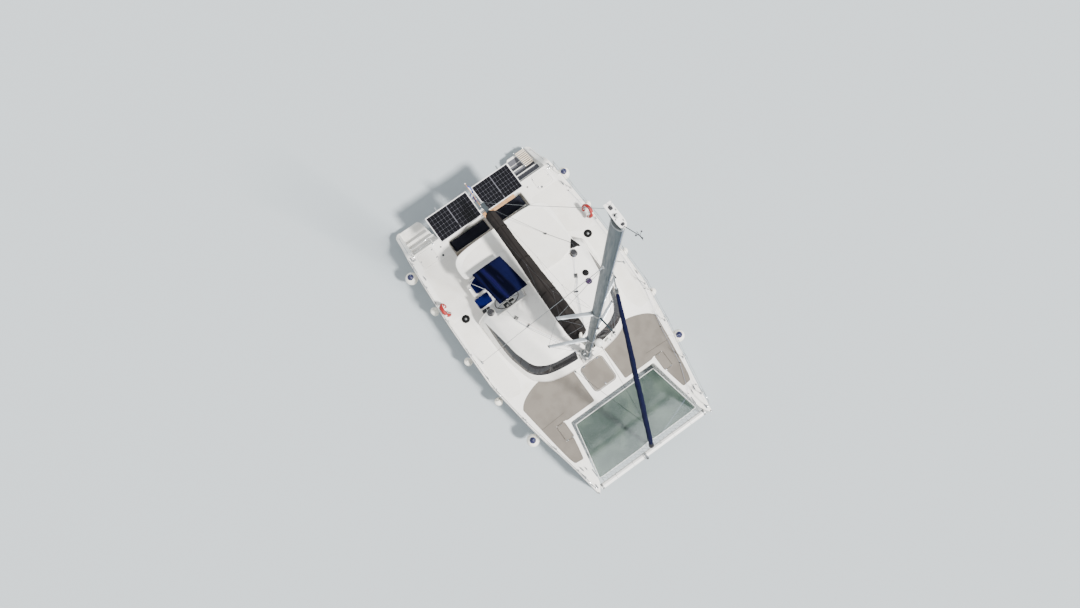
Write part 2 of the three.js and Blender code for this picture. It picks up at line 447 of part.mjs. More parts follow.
// a teak seat plank on two brackets between the arch's legs
arch = join(arch, box(-4345, -4165, -20, 1310, 1880, 1905), box(-4470, -4300, 1285, 1315, 1860, 1900), box(-4345, -4320, 10, 60, DECK_Z + GAP, 1890));
add("stern_arch", arch.intersect(box(-6000, 0, -3000, 3000, DECK_Z + GAP, 4000)), steel);
for (const [side, s] of SIDES) add(side + "_solar_panel", box(PANEL_X[0], PANEL_X[1], PANELS[side][0], PANELS[side][1], PANEL_Z[0], PANEL_Z[1]), solar);
let ladder = null;
for (const y of [LADDER.y0 + 15, LADDER.y1 - 15]) {
  const r = rod([0, y, 0], [LADDER.len, y, 0], 14, 8);
  ladder = ladder ? ladder.add(r) : r;
}
for (let i = 0; i < 9; i++) ladder = ladder.add(box(60 + i * 100, 110 + i * 100, LADDER.y0 + 10, LADDER.y1 - 10, -11, 11));
add("boarding_ladder", ladder.rotate([0, -LADDER.tilt, 0]).translate([LADDER.x, 0, LADDER.z]), teak);

// ---------- deck gear ----------
for (const [side, s] of SIDES) {
  let rail = null;
  const posts = STANCHIONS.map((x) => [x, s * (edge(x) - 60), at(STATIONS, x, "zs")]);
  posts.forEach((p, i) => {
    const post = rod([p[0], p[1], p[2] + 2], [p[0], p[1], p[2] + RAIL_H[1] + 8], 13, 8);
    rail = rail ? rail.add(post) : post;
    if (i) for (const h of RAIL_H) {
      const q = posts[i - 1];
      rail = rail.add(rod([q[0], q[1], q[2] + h], [p[0], p[1], p[2] + h], 6, 6));
    }
  });
  add(side + "_rail", rail, steel);
  FENDERS.forEach(([x, r, h, z], i) => {
    const prof = [[0, -h / 2], [r * 0.62, -h * 0.42], [r * 0.96, -h * 0.2], [r, 0], [r * 0.96, h * 0.2], [r * 0.62, h * 0.4], [28, h * 0.47], [28, h * 0.56], [0, h * 0.56]];
    const g = new THREE.LatheGeometry(prof.map(([a, b]) => new THREE.Vector2(a, b)), 12).rotateX(Math.PI / 2);
    add(side + "_fender_" + (i + 1), solid(g.translate(x, s * (edge(x) + r + 30), z)), vinyl);
  });
  const buoy = [];
  for (let k = 0; k <= 12; k++) {
    const a = (-60 + k * 25) * (Math.PI / 180);
    buoy.push([-2200 - 200 * Math.sin(a - Math.PI / 2) * 1.1, s * (edge(-2200) - 160), 2020 + 210 * Math.cos(a - Math.PI / 2)]);
  }
  add(side + "_lifebuoy", pipe(buoy, 55, 8, 18), red);
}

export default catamaran;
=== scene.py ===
"""Looks of a cruising sailing catamaran afloat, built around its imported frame. Metres, +X ahead, +Y to port, z 0 at the waterline."""
import math

import bmesh  # noqa: E402
import bpy  # noqa: E402
import numpy as np  # noqa: E402
from mathutils import Matrix, Vector  # noqa: E402
from mathutils.geometry import delaunay_2d_cdt  # noqa: E402


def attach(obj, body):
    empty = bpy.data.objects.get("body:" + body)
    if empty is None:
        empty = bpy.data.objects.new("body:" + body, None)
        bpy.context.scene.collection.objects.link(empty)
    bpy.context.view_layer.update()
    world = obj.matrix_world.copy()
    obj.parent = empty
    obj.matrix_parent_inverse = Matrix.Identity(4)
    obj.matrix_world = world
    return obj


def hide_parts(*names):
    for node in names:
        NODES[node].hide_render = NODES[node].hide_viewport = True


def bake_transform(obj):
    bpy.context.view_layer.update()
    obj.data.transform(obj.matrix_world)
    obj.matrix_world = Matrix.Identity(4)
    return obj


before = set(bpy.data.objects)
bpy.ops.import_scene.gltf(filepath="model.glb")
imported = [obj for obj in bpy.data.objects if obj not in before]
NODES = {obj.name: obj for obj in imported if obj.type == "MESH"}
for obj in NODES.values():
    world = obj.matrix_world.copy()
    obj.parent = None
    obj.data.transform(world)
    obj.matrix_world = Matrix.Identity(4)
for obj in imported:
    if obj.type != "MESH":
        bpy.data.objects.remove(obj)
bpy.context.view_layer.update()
PI = math.pi
rng = np.random.default_rng(11)

# ------------------------------------------------------------------ camera, light, floor
cam_data = bpy.data.cameras.new("camera")
cam = bpy.data.objects.new("camera", cam_data)
bpy.context.scene.collection.objects.link(cam)
right, up, back = Vector((0.5801, 0.8140, -0.0286)), Vector((-0.7983, 0.5752, 0.1783)), Vector((0.1616, -0.0806, 0.9836))
m = Matrix.Identity(4)
for i, axis in enumerate((right, up, back)):
    for k in range(3):
        m[k][i] = axis[k]
m[0][3], m[1][3], m[2][3] = 4.11889, -2.53425, 29.85525
cam.matrix_world = m
cam_data.sensor_fit = "HORIZONTAL"
cam_data.sensor_width = 36.0
cam_data.lens = 27.157
cam_data.clip_start, cam_data.clip_end = 0.5, 500.0
bpy.context.scene.camera = cam


def light(kind, name, place, aim, energy, size=1.0, colour=(1, 1, 1)):
    data = bpy.data.lights.new(name, kind)
    data.energy = energy
    data.color = colour
    if kind == "SUN":
        data.angle = size
    else:
        data.shape = "DISK"
        data.size = size
    o = bpy.data.objects.new(name, data)
    bpy.context.scene.collection.objects.link(o)
    o.location = place
    o.rotation_mode = "QUATERNION"
    o.rotation_quaternion = (Vector(aim) - Vector(place)).to_track_quat("-Z", "Y")
    return o


# the key comes from ahead and a little to port, as high as the sun stands in the photograph, but soft
light("SUN", "key", (17.0, 7.4, 26.0), (0, 0, 1.5), 9.2, math.radians(6), (1.0, 0.98, 0.955))
light("SUN", "fill", (-14.0, -16.0, 14.0), (0, 0, 2.0), 0.6, math.radians(50), (0.90, 0.95, 1.0))
world = bpy.data.worlds.new("soft_studio")
bpy.context.scene.world = world
world.use_nodes = True
wt = world.node_tree
wbg = wt.nodes["Background"]
wg = wt.nodes.new("ShaderNodeTexGradient")
wc = wt.nodes.new("ShaderNodeTexCoord")
wm = wt.nodes.new("ShaderNodeMapping")
wm.inputs["Rotation"].default_value = (0, PI / 2, 0)
wm.inputs["Location"].default_value = (0.5, 0, 0)
wm.inputs["Scale"].default_value = (0.5, 0.5, 0.5)
wr = wt.nodes.new("ShaderNodeValToRGB")
wr.color_ramp.elements[0].color = (0.62, 0.63, 0.64, 1)
wr.color_ramp.elements[1].color = (0.93, 0.97, 1.0, 1)
wt.links.new(wc.outputs["Generated"], wm.inputs["Vector"])
wt.links.new(wm.outputs["Vector"], wg.inputs["Vector"])
wt.links.new(wg.outputs["Color"], wr.inputs["Fac"])
wt.links.new(wr.outputs["Color"], wbg.inputs["Color"])
wbg.inputs["Strength"].default_value = 0.92


# ------------------------------------------------------------------ materials
def lin(c):
    """sRGB 0..255 to linear."""
    out = []
    for x in c:
        x = x / 255.0
        out.append(x / 12.92 if x <= 0.04045 else ((x + 0.055) / 1.055) ** 2.4)
    return tuple(out)


def node(nt, kind, **props):
    n = nt.nodes.new(kind)
    for k, v in props.items():
        setattr(n, k, v)
    return n


def material(name, base, rough=0.5, metal=0.0, vary=0.06, vscale=1.5, rvary=0.06, bump=0.0, bscale=120.0, stretch=(1, 1, 1),
             coat=0.0, coat_rough=0.1, sheen=0.0, second=None, second_scale=4.0, second_lo=0.45, second_hi=0.62,
             weave=0.0, weave_scale=220.0, grain=None, aniso=0.0, transmission=0.0, alpha=1.0, spec=None):
    """A procedural finish: colour clouds, roughness clouds, bump at a real scale, and where asked a weave or a wood grain."""
    mt = bpy.data.materials.new(name)
    mt.use_nodes = True
    nt = mt.node_tree
    bs = nt.nodes["Principled BSDF"]
    bs.inputs["Metallic"].default_value = metal
    if coat:
        bs.inputs["Coat Weight"].default_value = coat
        bs.inputs["Coat Roughness"].default_value = coat_rough
    if sheen:
        bs.inputs["Sheen Weight"].default_value = sheen
        bs.inputs["Sheen Roughness"].default_value = 0.45
    if aniso:
        bs.inputs["Anisotropic"].default_value = aniso
    if spec is not None:
        bs.inputs["Specular IOR Level"].default_value = spec
    if transmission:
        bs.inputs["Transmission Weight"].default_value = transmission
    if alpha < 1:
        bs.inputs["Alpha"].default_value = alpha
    co = node(nt, "ShaderNodeTexCoord")
    mp = node(nt, "ShaderNodeMapping")
    mp.inputs["Scale"].default_value = stretch
    nt.links.new(co.outputs["Object"], mp.inputs["Vector"])
    b = lin(base)
    n1 = node(nt, "ShaderNodeTexNoise")
    n1.inputs["Scale"].default_value = vscale
    n1.inputs["Detail"].default_value = 5.0
    n1.inputs["Roughness"].default_value = 0.6
    nt.links.new(mp.outputs["Vector"], n1.inputs["Vector"])
    ramp = node(nt, "ShaderNodeValToRGB")
    ramp.color_ramp.elements[0].position = 0.3
    ramp.color_ramp.elements[1].position = 0.7
    ramp.color_ramp.elements[0].color = tuple(max(0, x * (1 - vary)) for x in b) + (1,)
    ramp.color_ramp.elements[1].color = tuple(min(1, x * (1 + vary)) for x in b) + (1,)
    nt.links.new(n1.outputs["Fac"], ramp.inputs["Fac"])
    colour = ramp.outputs["Color"]
    if second is not None:
        n2 = node(nt, "ShaderNodeTexNoise")
        n2.inputs["Scale"].default_value = second_scale
        n2.inputs["Detail"].default_value = 6.0
        nt.links.new(mp.outputs["Vector"], n2.inputs["Vector"])
        r2 = node(nt, "ShaderNodeMapRange")
        r2.inputs["From Min"].default_value = second_lo
        r2.inputs["From Max"].default_value = second_hi
        nt.links.new(n2.outputs["Fac"], r2.inputs["Value"])
        mx = node(nt, "ShaderNodeMix", data_type="RGBA")
        nt.links.new(r2.outputs["Result"], mx.inputs["Factor"])
        nt.links.new(colour, mx.inputs["A"])
        mx.inputs["B"].default_value = lin(second) + (1,)
        colour = mx.outputs["Result"]
    height = None
    if grain is not None:  # (axis stretch, dark colour, scale): long streaks
        g_st, g_dark, g_sc = grain
        gm = node(nt, "ShaderNodeMapping")
        gm.inputs["Scale"].default_value = g_st
        nt.links.new(co.outputs["Object"], gm.inputs["Vector"])
        gn = node(nt, "ShaderNodeTexNoise")
        gn.inputs["Scale"].default_value = g_sc
        gn.inputs["Detail"].default_value = 8.0
        gn.inputs["Distortion"].default_value = 0.6
        nt.links.new(gm.outputs["Vector"], gn.inputs["Vector"])
        gr = node(nt, "ShaderNodeMapRange")
        gr.inputs["From Min"].default_value = 0.42
        gr.inputs["From Max"].default_value = 0.66
        nt.links.new(gn.outputs["Fac"], gr.inputs["Value"])
        mx = node(nt, "ShaderNodeMix", data_type="RGBA")
        nt.links.new(gr.outputs["Result"], mx.inputs["Factor"])
        nt.links.new(colour, mx.inputs["A"])
        mx.inputs["B"].default_value = lin(g_dark) + (1,)
        colour = mx.outputs["Result"]
        height = gn.outputs["Fac"]
    nt.links.new(colour, bs.inputs["Base Color"])
    n3 = node(nt, "ShaderNodeTexNoise")
    n3.inputs["Scale"].default_value = vscale * 3.1
    n3.inputs["Detail"].default_value = 4.0
    nt.links.new(mp.outputs["Vector"], n3.inputs["Vector"])
    r3 = node(nt, "ShaderNodeMapRange")
    r3.inputs["From Min"].default_value = 0.3
    r3.inputs["From Max"].default_value = 0.7
    r3.inputs["To Min"].default_value = max(0.02, rough - rvary)
    r3.inputs["To Max"].default_value = min(1.0, rough + rvary)
    nt.links.new(n3.outputs["Fac"], r3.inputs["Value"])
    nt.links.new(r3.outputs["Result"], bs.inputs["Roughness"])
    if weave:
        w1 = node(nt, "ShaderNodeTexWave", bands_direction="X")
        w2 = node(nt, "ShaderNodeTexWave", bands_direction="Y")
        w3 = node(nt, "ShaderNodeTexWave", bands_direction="Z")
        for w in (w1, w2, w3):
            w.inputs["Scale"].default_value = weave_scale
            w.inputs["Distortion"].default_value = 0.3
            nt.links.new(co.outputs["Object"], w.inputs["Vector"])
        a1 = node(nt, "ShaderNodeMath", operation="ADD")
        a2 = node(nt, "ShaderNodeMath", operation="ADD")
        nt.links.new(w1.outputs["Fac"], a1.inputs[0])
        nt.links.new(w2.outputs["Fac"], a1.inputs[1])
        nt.links.new(a1.outputs[0], a2.inputs[0])
        nt.links.new(w3.outputs["Fac"], a2.inputs[1])
        bw = node(nt, "ShaderNodeBump")
        bw.inputs["Strength"].default_value = weave
        bw.inputs["Distance"].default_value = 0.0012
        nt.links.new(a2.outputs[0], bw.inputs["Height"])
        nb = node(nt, "ShaderNodeTexNoise")
        nb.inputs["Scale"].default_value = bscale
        nt.links.new(co.outputs["Object"], nb.inputs["Vector"])
        b2 = node(nt, "ShaderNodeBump")
        b2.inputs["Strength"].default_value = max(bump, 0.15)
        b2.inputs["Distance"].default_value = 0.004
        nt.links.new(nb.outputs["Fac"], b2.inputs["Height"])
        nt.links.new(b2.outputs["Normal"], bw.inputs["Normal"])
        nt.links.new(bw.outputs["Normal"], bs.inputs["Normal"])
    elif bump or height is not None:
        bn = node(nt, "ShaderNodeBump")
        bn.inputs["Strength"].default_value = bump or 0.3
        bn.inputs["Distance"].default_value = 0.002
        if height is None:
            nb = node(nt, "ShaderNodeTexNoise")
            nb.inputs["Scale"].default_value = bscale
            nb.inputs["Detail"].default_value = 3.0
            nt.links.new(mp.outputs["Vector"], nb.inputs["Vector"])
            height = nb.outputs["Fac"]
        nt.links.new(height, bn.inputs["Height"])
        nt.links.new(bn.outputs["Normal"], bs.inputs["Normal"])
    return mt


GEL = material("gelcoat", (243, 240, 234), 0.28, vary=0.018, vscale=0.9, rvary=0.07, bump=0.05, bscale=14, coat=0.35, coat_rough=0.08,
               second=(228, 224, 214), second_scale=1.3, second_lo=0.56, second_hi=0.80)
GEL_DECK = material("gelcoat_deck", (241, 238, 232), 0.42, vary=0.02, vscale=1.1, rvary=0.08, bump=0.22, bscale=260,
                    second=(224, 219, 208), second_scale=1.7, second_lo=0.55, second_hi=0.82)
GEL_IN = material("liner_gelcoat", (214, 211, 204), 0.5, vary=0.03, vscale=2.0, bump=0.08, bscale=60)
NONSKID = material("nonskid_grey", (112, 106, 98), 0.82, vary=0.05, vscale=1.4, rvary=0.06, bump=0.6, bscale=330,
                   second=(105, 99, 91), second_scale=2.2)
# Dark grey for the port stern treads: painted shade that stands for the ladder's shadow over them.
NONSKID_SHADED_STEP = material("nonskid_step_painted_shade", (84, 84, 90), 0.85, vary=0.05, vscale=2.4, bump=0.6, bscale=330)
# The mast's alloy has a dark base colour that stands in for the dark sea it reflects: painted reflection.
ANOD = material("anodised_alloy", (54, 67, 73), 0.46, 0.40, vary=0.05, vscale=1.2, rvary=0.08, bump=0.05, bscale=40, stretch=(8, 8, 0.5), aniso=0.3, spec=0.2)
ANOD_X = material("anodised_boom", (92, 100, 104), 0.38, 0.85, vary=0.05, vscale=1.2, rvary=0.08, bump=0.05, bscale=40, stretch=(0.5, 8, 8), aniso=0.4)
ALLOY_W = material("painted_alloy", (238, 236, 232), 0.34, vary=0.02, vscale=1.3, rvary=0.06, bump=0.03, bscale=30, coat=0.25)
STEEL = material("stainless", (196, 198, 200), 0.2, 1.0, vary=0.04, vscale=5, rvary=0.08, bump=0.03, bscale=90)
WIRE = material("stay_wire", (96, 98, 101), 0.38, 0.9, vary=0.08, vscale=30, rvary=0.05, bump=0.5, bscale=900)
GLASS = material("tinted_glass", (30, 27, 29), 0.09, vary=0.12, vscale=0.8, rvary=0.03, coat=0.5, coat_rough=0.03, spec=0.4)
GLASS_D = material("dark_acrylic", (66, 66, 70), 0.22, vary=0.10, vscale=3.0, rvary=0.05, coat=0.5, coat_rough=0.05)
RUBBER = material("black_rubber", (30, 30, 32), 0.6, vary=0.12, vscale=12, rvary=0.08, bump=0.15, bscale=260)
BLACK = material("black_plastic", (38, 38, 41), 0.42, vary=0.1, vscale=10, rvary=0.08, bump=0.1, bscale=220)
GREYC = material("bag_canvas", (34, 31, 30), 0.88, vary=0.12, vscale=1.6, rvary=0.05, bump=0.25, bscale=24, weave=0.35, weave_scale=190, spec=0.12,
                 second=(44, 41, 39), second_scale=2.6, second_lo=0.5, second_hi=0.72)
NAVYC = material("navy_canvas", (8, 11, 43), 0.88, vary=0.16, vscale=2.2, rvary=0.05, bump=0.25, bscale=22, weave=0.35, weave_scale=190, spec=0.06)
GENOAC = material("genoa_cover", (8, 11, 42), 0.9, vary=0.18, vscale=3.0, rvary=0.06, bump=0.3, bscale=30, stretch=(1, 1, 0.35), weave=0.25,
                  weave_scale=190, spec=0.05)
SAILC = material("sailcloth", (226, 222, 210), 0.7, vary=0.05, vscale=3.0, bump=0.2, bscale=20, weave=0.2, weave_scale=220,
                 second=(196, 190, 176), second_scale=5.0)
BLUEC = material("blue_cushion", (4, 12, 72), 0.86, vary=0.12, vscale=4.0, bump=0.3, bscale=30, weave=0.45, weave_scale=170, spec=0.08)
# Near-black grey-blue: this colour stands for the deep shade under the hardtop, so it is painted shade.
GREYCU_SHADED = material("grey_cushion_painted_shade", (30, 32, 42), 0.88, vary=0.1, vscale=4.0, bump=0.3, bscale=30, weave=0.45, weave_scale=170, spec=0.1)
REDC = material("red_vinyl", (138, 12, 10), 0.55, vary=0.08, vscale=7.0, bump=0.2, bscale=40, weave=0.2, weave_scale=200,
                second=(150, 18, 14), second_scale=9.0)
NETM = material("net_cord", (52, 66, 59), 0.85, vary=0.14, vscale=2.0, bump=0.5, bscale=500, second=(78, 92, 82), second_scale=1.3, spec=0.15)
CORDW = material("white_cord", (222, 224, 220), 0.75, vary=0.06, vscale=8, bump=0.7, bscale=420, stretch=(1, 1, 1))
CORDD = material("dark_cord", (52, 56, 60), 0.8, vary=0.15, vscale=10, bump=0.7, bscale=420)
CORDB = material("blue_fleck_cord", (150, 160, 178), 0.75, vary=0.1, vscale=14, bump=0.7, bscale=420, second=(40, 60, 130), second_scale=70, second_lo=0.56, second_hi=0.6)
CORDR = material("red_fleck_cord", (214, 208, 204), 0.75, vary=0.08, vscale=14, bump=0.7, bscale=420, second=(170, 44, 40), second_scale=70, second_lo=0.56, second_hi=0.6)
TEAK = material("teak", (176, 126, 82), 0.62, vary=0.10, vscale=3, grain=((1.5, 26, 26), (120, 80, 48), 3.0), bump=0.35)
TEAKY = material("teak_across", (206, 158, 108), 0.6, vary=0.10, vscale=3, grain=((26, 1.5, 26), (160, 112, 70), 3.0), bump=0.35)
CELL = material("solar_cell", (6, 6, 11), 0.22, vary=0.35, vscale=7.0, rvary=0.05, coat=0.18, coat_rough=0.05, spec=0.2)
CELLGRID = material("cell_backsheet", (84, 84, 90), 0.4, vary=0.05, vscale=7.0)
FENDER = material("fender_vinyl", (243, 239, 228), 0.42, vary=0.04, vscale=5, rvary=0.08, bump=0.1, bscale=30,
                  second=(226, 218, 200), second_scale=5.0, second_lo=0.5, second_hi=0.8)
NAVYV = material("navy_vinyl", (26, 28, 66), 0.4, vary=0.1, vscale=6, rvary=0.06, bump=0.1, bscale=40)
CAST = material("cast_metal", (132, 134, 134), 0.46, 0.7, vary=0.08, vscale=6, rvary=0.1, bump=0.25, bscale=70)
ENGINE = material("engine_paint", (150, 156, 158), 0.5, vary=0.08, vscale=6, rvary=0.1, bump=0.2, bscale=40)
BRONZE = material("bronze", (158, 122, 74), 0.38, 0.9, vary=0.12, vscale=9, rvary=0.1, bump=0.15, bscale=60, second=(96, 110, 82), second_scale=7, second_lo=0.55, second_hi=0.75)
IVORY = material("instrument_white", (226, 226, 222), 0.4, vary=0.03, vscale=5)
SCREEN = material("dark_screen", (16, 20, 26), 0.12, vary=0.2, vscale=4, coat=0.5)
FLAGB = material("flag_blue", (34, 66, 168), 0.8, vary=0.1, vscale=6, weave=0.3, weave_scale=240)
FLAGW = material("flag_white", (232, 234, 238), 0.8, vary=0.05, vscale=6, weave=0.3, weave_scale=240)
SLAT = material("pale_teak", (232, 220, 202), 0.62, vary=0.06, vscale=3, grain=((26, 1.5, 26), (206, 184, 156), 3.0), bump=0.3)
# Darker and lighter copies of the navy canvas for the bimini: painted shade in its folds and on its hem, painted
# highlight on one ridge.
NAVY_SHADE_LIGHT = material("navy_canvas_painted_shade_light", (6, 9, 34), 0.88, vary=0.16, vscale=2.2, bump=0.25, bscale=22, weave=0.35, weave_scale=190, spec=0.05)
NAVY_SHADE_MID = material("navy_canvas_painted_shade_mid", (5, 6, 25), 0.88, vary=0.16, vscale=2.2, bump=0.25, bscale=22, weave=0.35, weave_scale=190, spec=0.04)
NAVY_HIGHLIGHT = material("navy_canvas_painted_highlight", (14, 12, 52), 0.88, vary=0.16, vscale=2.2, bump=0.25, bscale=22, weave=0.35, weave_scale=190, spec=0.06)
# The spreaders use a brighter copy of the mast's alloy that stands in for the highlights along their tops: painted
# highlight.
SPRM = material("spreader_alloy", (176, 182, 186), 0.34, 0.72, vary=0.05, vscale=3.0, rvary=0.06, bump=0.04, bscale=40)
NAVY_SHADE_DEEP = material("navy_canvas_painted_shade_deep", (3, 4, 17), 0.9, vary=0.16, vscale=2.2, bump=0.25, bscale=22, weave=0.35, weave_scale=190, spec=0.03)
BAGTRIM = material("bag_webbing", (27, 25, 24), 0.9, vary=0.1, vscale=9, weave=0.3, weave_scale=260, spec=0.05)
WINCHM = material("winch_chrome", (84, 84, 86), 0.30, 1.0, vary=0.05, vscale=6, rvary=0.06)
JET = material("vent_black", (12, 12, 13), 0.6, vary=0.1, vscale=9, rvary=0.05, spec=0.15)
PLUM = material("vent_plum", (44, 30, 56), 0.5, vary=0.1, vscale=9, rvary=0.05, spec=0.2)
CONSOLE_F = material("console_sole", (234, 237, 242), 0.7, vary=0.02, vscale=1.5, bump=0.5, bscale=300)
TRIMD = material("seam_brown", (66, 58, 54), 0.7, vary=0.1, vscale=9)
CREAM = material("tan_canvas", (196, 178, 146), 0.8, vary=0.08, vscale=6, weave=0.3, weave_scale=200)


def hull_material():
    """White topsides, a grey-blue boot stripe just over the water, dark bottom paint below it with worn patches."""
    mt = bpy.data.materials.new("hull_finish")
    mt.use_nodes = True
    nt = mt.node_tree
    bs = nt.nodes["Principled BSDF"]
    co = node(nt, "ShaderNodeTexCoord")
    sep = node(nt, "ShaderNodeSeparateXYZ")
    nt.links.new(co.outputs["Object"], sep.inputs[0])
    cloud = node(nt, "ShaderNodeTexNoise")
    cloud.inputs["Scale"].default_value = 1.2
    cloud.inputs["Detail"].default_value = 5
    nt.links.new(co.outputs["Object"], cloud.inputs["Vector"])
    white = node(nt, "ShaderNodeValToRGB")
    white.color_ramp.elements[0].position, white.color_ramp.elements[1].position = 0.35, 0.75
    white.color_ramp.elements[0].color = lin((242, 240, 235)) + (1,)
    white.color_ramp.elements[1].color = lin((230, 227, 219)) + (1,)
    nt.links.new(cloud.outputs["Fac"], white.inputs["Fac"])
    paint = node(nt, "ShaderNodeValToRGB")
    paint.color_ramp.elements[0].position, paint.color_ramp.elements[1].position = 0.3, 0.7
    paint.color_ramp.elements[0].color = lin((26, 40, 70)) + (1,)
    paint.color_ramp.elements[1].color = lin((44, 62, 92)) + (1,)
    fine = node(nt, "ShaderNodeTexNoise")
    fine.inputs["Scale"].default_value = 6.0
    fine.inputs["Detail"].default_value = 8
    nt.links.new(co.outputs["Object"], fine.inputs["Vector"])
    nt.links.new(fine.outputs["Fac"], paint.inputs["Fac"])
    # grime just over the water: fades from the stripe upward
    grime = node(nt, "ShaderNodeMapRange")
    grime.inputs["From Min"].default_value, grime.inputs["From Max"].default_value = 0.14, 0.34
    grime.inputs["To Min"].default_value, grime.inputs["To Max"].default_value = 0.30, 0.0
    nt.links.new(sep.outputs["Z"], grime.inputs["Value"])
    gm = node(nt, "ShaderNodeMath", operation="MULTIPLY")
    nt.links.new(grime.outputs["Result"], gm.inputs[0])
    nt.links.new(fine.outputs["Fac"], gm.inputs[1])
    mg = node(nt, "ShaderNodeMix", data_type="RGBA")
    nt.links.new(gm.outputs[0], mg.inputs["Factor"])
    nt.links.new(white.outputs["Color"], mg.inputs["A"])
    mg.inputs["B"].default_value = lin((176, 166, 134)) + (1,)
    low = node(nt, "ShaderNodeMath", operation="LESS_THAN")
    low.inputs[1].default_value = 0.055
    nt.links.new(sep.outputs["Z"], low.inputs[0])
    stripe = node(nt, "ShaderNodeMath", operation="LESS_THAN")
    stripe.inputs[1].default_value = 0.115
    nt.links.new(sep.outputs["Z"], stripe.inputs[0])
    ms = node(nt, "ShaderNodeMix", data_type="RGBA")
    nt.links.new(stripe.outputs[0], ms.inputs["Factor"])
    nt.links.new(mg.outputs["Result"], ms.inputs["A"])
    ms.inputs["B"].default_value = lin((96, 106, 122)) + (1,)
    mb = node(nt, "ShaderNodeMix", data_type="RGBA")
    nt.links.new(low.outputs[0], mb.inputs["Factor"])
    nt.links.new(ms.outputs["Result"], mb.inputs["A"])
    nt.links.new(paint.outputs["Color"], mb.inputs["B"])
    nt.links.new(mb.outputs["Result"], bs.inputs["Base Color"])
    rr = node(nt, "ShaderNodeMapRange")
    rr.inputs["To Min"].default_value, rr.inputs["To Max"].default_value = 0.26, 0.78
    nt.links.new(low.outputs[0], rr.inputs["Value"])
    ra = node(nt, "ShaderNodeMath", operation="MULTIPLY_ADD")
    ra.inputs[1].default_value = 0.12
    nt.links.new(cloud.outputs["Fac"], ra.inputs[0])
    nt.links.new(rr.outputs["Result"], ra.inputs[2])
    nt.links.new(ra.outputs[0], bs.inputs["Roughness"])
    bn = node(nt, "ShaderNodeBump")
    bn.inputs["Distance"].default_value = 0.002
    bn.inputs["Strength"].default_value = 0.12
    nt.links.new(fine.outputs["Fac"], bn.inputs["Height"])
    nt.links.new(bn.outputs["Normal"], bs.inputs["Normal"])
    return mt


HULLM = hull_material()
BOTTOM = material("bottom_paint", (36, 50, 80), 0.78, vary=0.2, vscale=3.0, rvary=0.08, bump=0.2, bscale=60, second=(52, 70, 98), second_scale=5)
FLOORM = material("floor", (170, 178, 182), 0.85, vary=0.008, vscale=0.05, rvary=0.02)


# ------------------------------------------------------------------ shapes
def pchip(xs, ys):
    """A smooth curve through the points that adds no bumps between them."""
    xs, ys = np.asarray(xs, float), np.asarray(ys, float)
    h, d = np.diff(xs), np.diff(ys) / np.diff(xs)
    s = np.zeros(len(xs))
    for i in range(1, len(xs) - 1):
        if d[i - 1] * d[i] > 0:
            w1, w2 = 2 * h[i] + h[i - 1], h[i] + 2 * h[i - 1]
            s[i] = (w1 + w2) / (w1 / d[i - 1] + w2 / d[i])
    s[0], s[-1] = d[0], d[-1]

    def f(x):
        x = np.asarray(x, float)
        i = np.clip(np.searchsorted(xs, x, side="right") - 1, 0, len(xs) - 2)
        t = np.clip((x - xs[i]) / h[i], 0, 1)
        return ((1 + 2 * t) * (1 - t) ** 2 * ys[i] + t * (1 - t) ** 2 * h[i] * s[i]
                + t * t * (3 - 2 * t) * ys[i + 1] + t * t * (t - 1) * h[i] * s[i + 1])

    return f


def smooth(t):
    t = np.clip(t, 0, 1)
    return t * t * (3 - 2 * t)


def crom(pts, per=6, closed=False):
    """Catmull-Rom through points (n,2 or 3)."""
    p = np.asarray(pts, float)
    n = len(p)
    out = []
    segs = n if closed else n - 1
    for i in range(segs):
        if closed:
            a, b, c, d = p[(i - 1) % n], p[i], p[(i + 1) % n], p[(i + 2) % n]
        else:
            b, c = p[i], p[i + 1]
            a = p[i - 1] if i else 2 * b - c
            d = p[i + 2] if i + 2 < n else 2 * c - b
        for k in range(per):
            t = k / per
            out.append(0.5 * ((2 * b) + (c - a) * t + (2 * a - 5 * b + 4 * c - d) * t * t + (3 * b - a - 3 * c + d) * t ** 3))
    if not closed:
        out.append(p[-1])
    return np.array(out)


def along(p, step):
    """Points on a polyline about step apart, ends kept."""
    p = np.asarray(p, float)
    d = np.r_[0, np.cumsum(np.linalg.norm(np.diff(p, axis=0), axis=1))]
    n = max(2, int(round(d[-1] / step)) + 1)
    t = np.linspace(0, d[-1], n)
    return np.stack([np.interp(t, d, p[:, k]) for k in range(p.shape[1])], 1)


def loft(P, cap=(True, True), closed_v=True, closed_u=False):
    """Rings P (nu, nv, 3) to vertices and faces. Caps are one face each."""
    P = np.asarray(P, float)
    nu, nv = P.shape[:2]
    V = P.reshape(-1, 3)
    F = []
    for i in range(nu if closed_u else nu - 1):
        i2 = (i + 1) % nu
        for j in range(nv if closed_v else nv - 1):
            j2 = (j + 1) % nv
            F.append((i * nv + j, i * nv + j2, i2 * nv + j2, i2 * nv + j))
    if closed_v and not closed_u:
        if cap[0]:
            F.append(tuple(range(nv - 1, -1, -1)))
        if cap[1]:
            F.append(tuple((nu - 1) * nv + j for j in range(nv)))
    return V, F


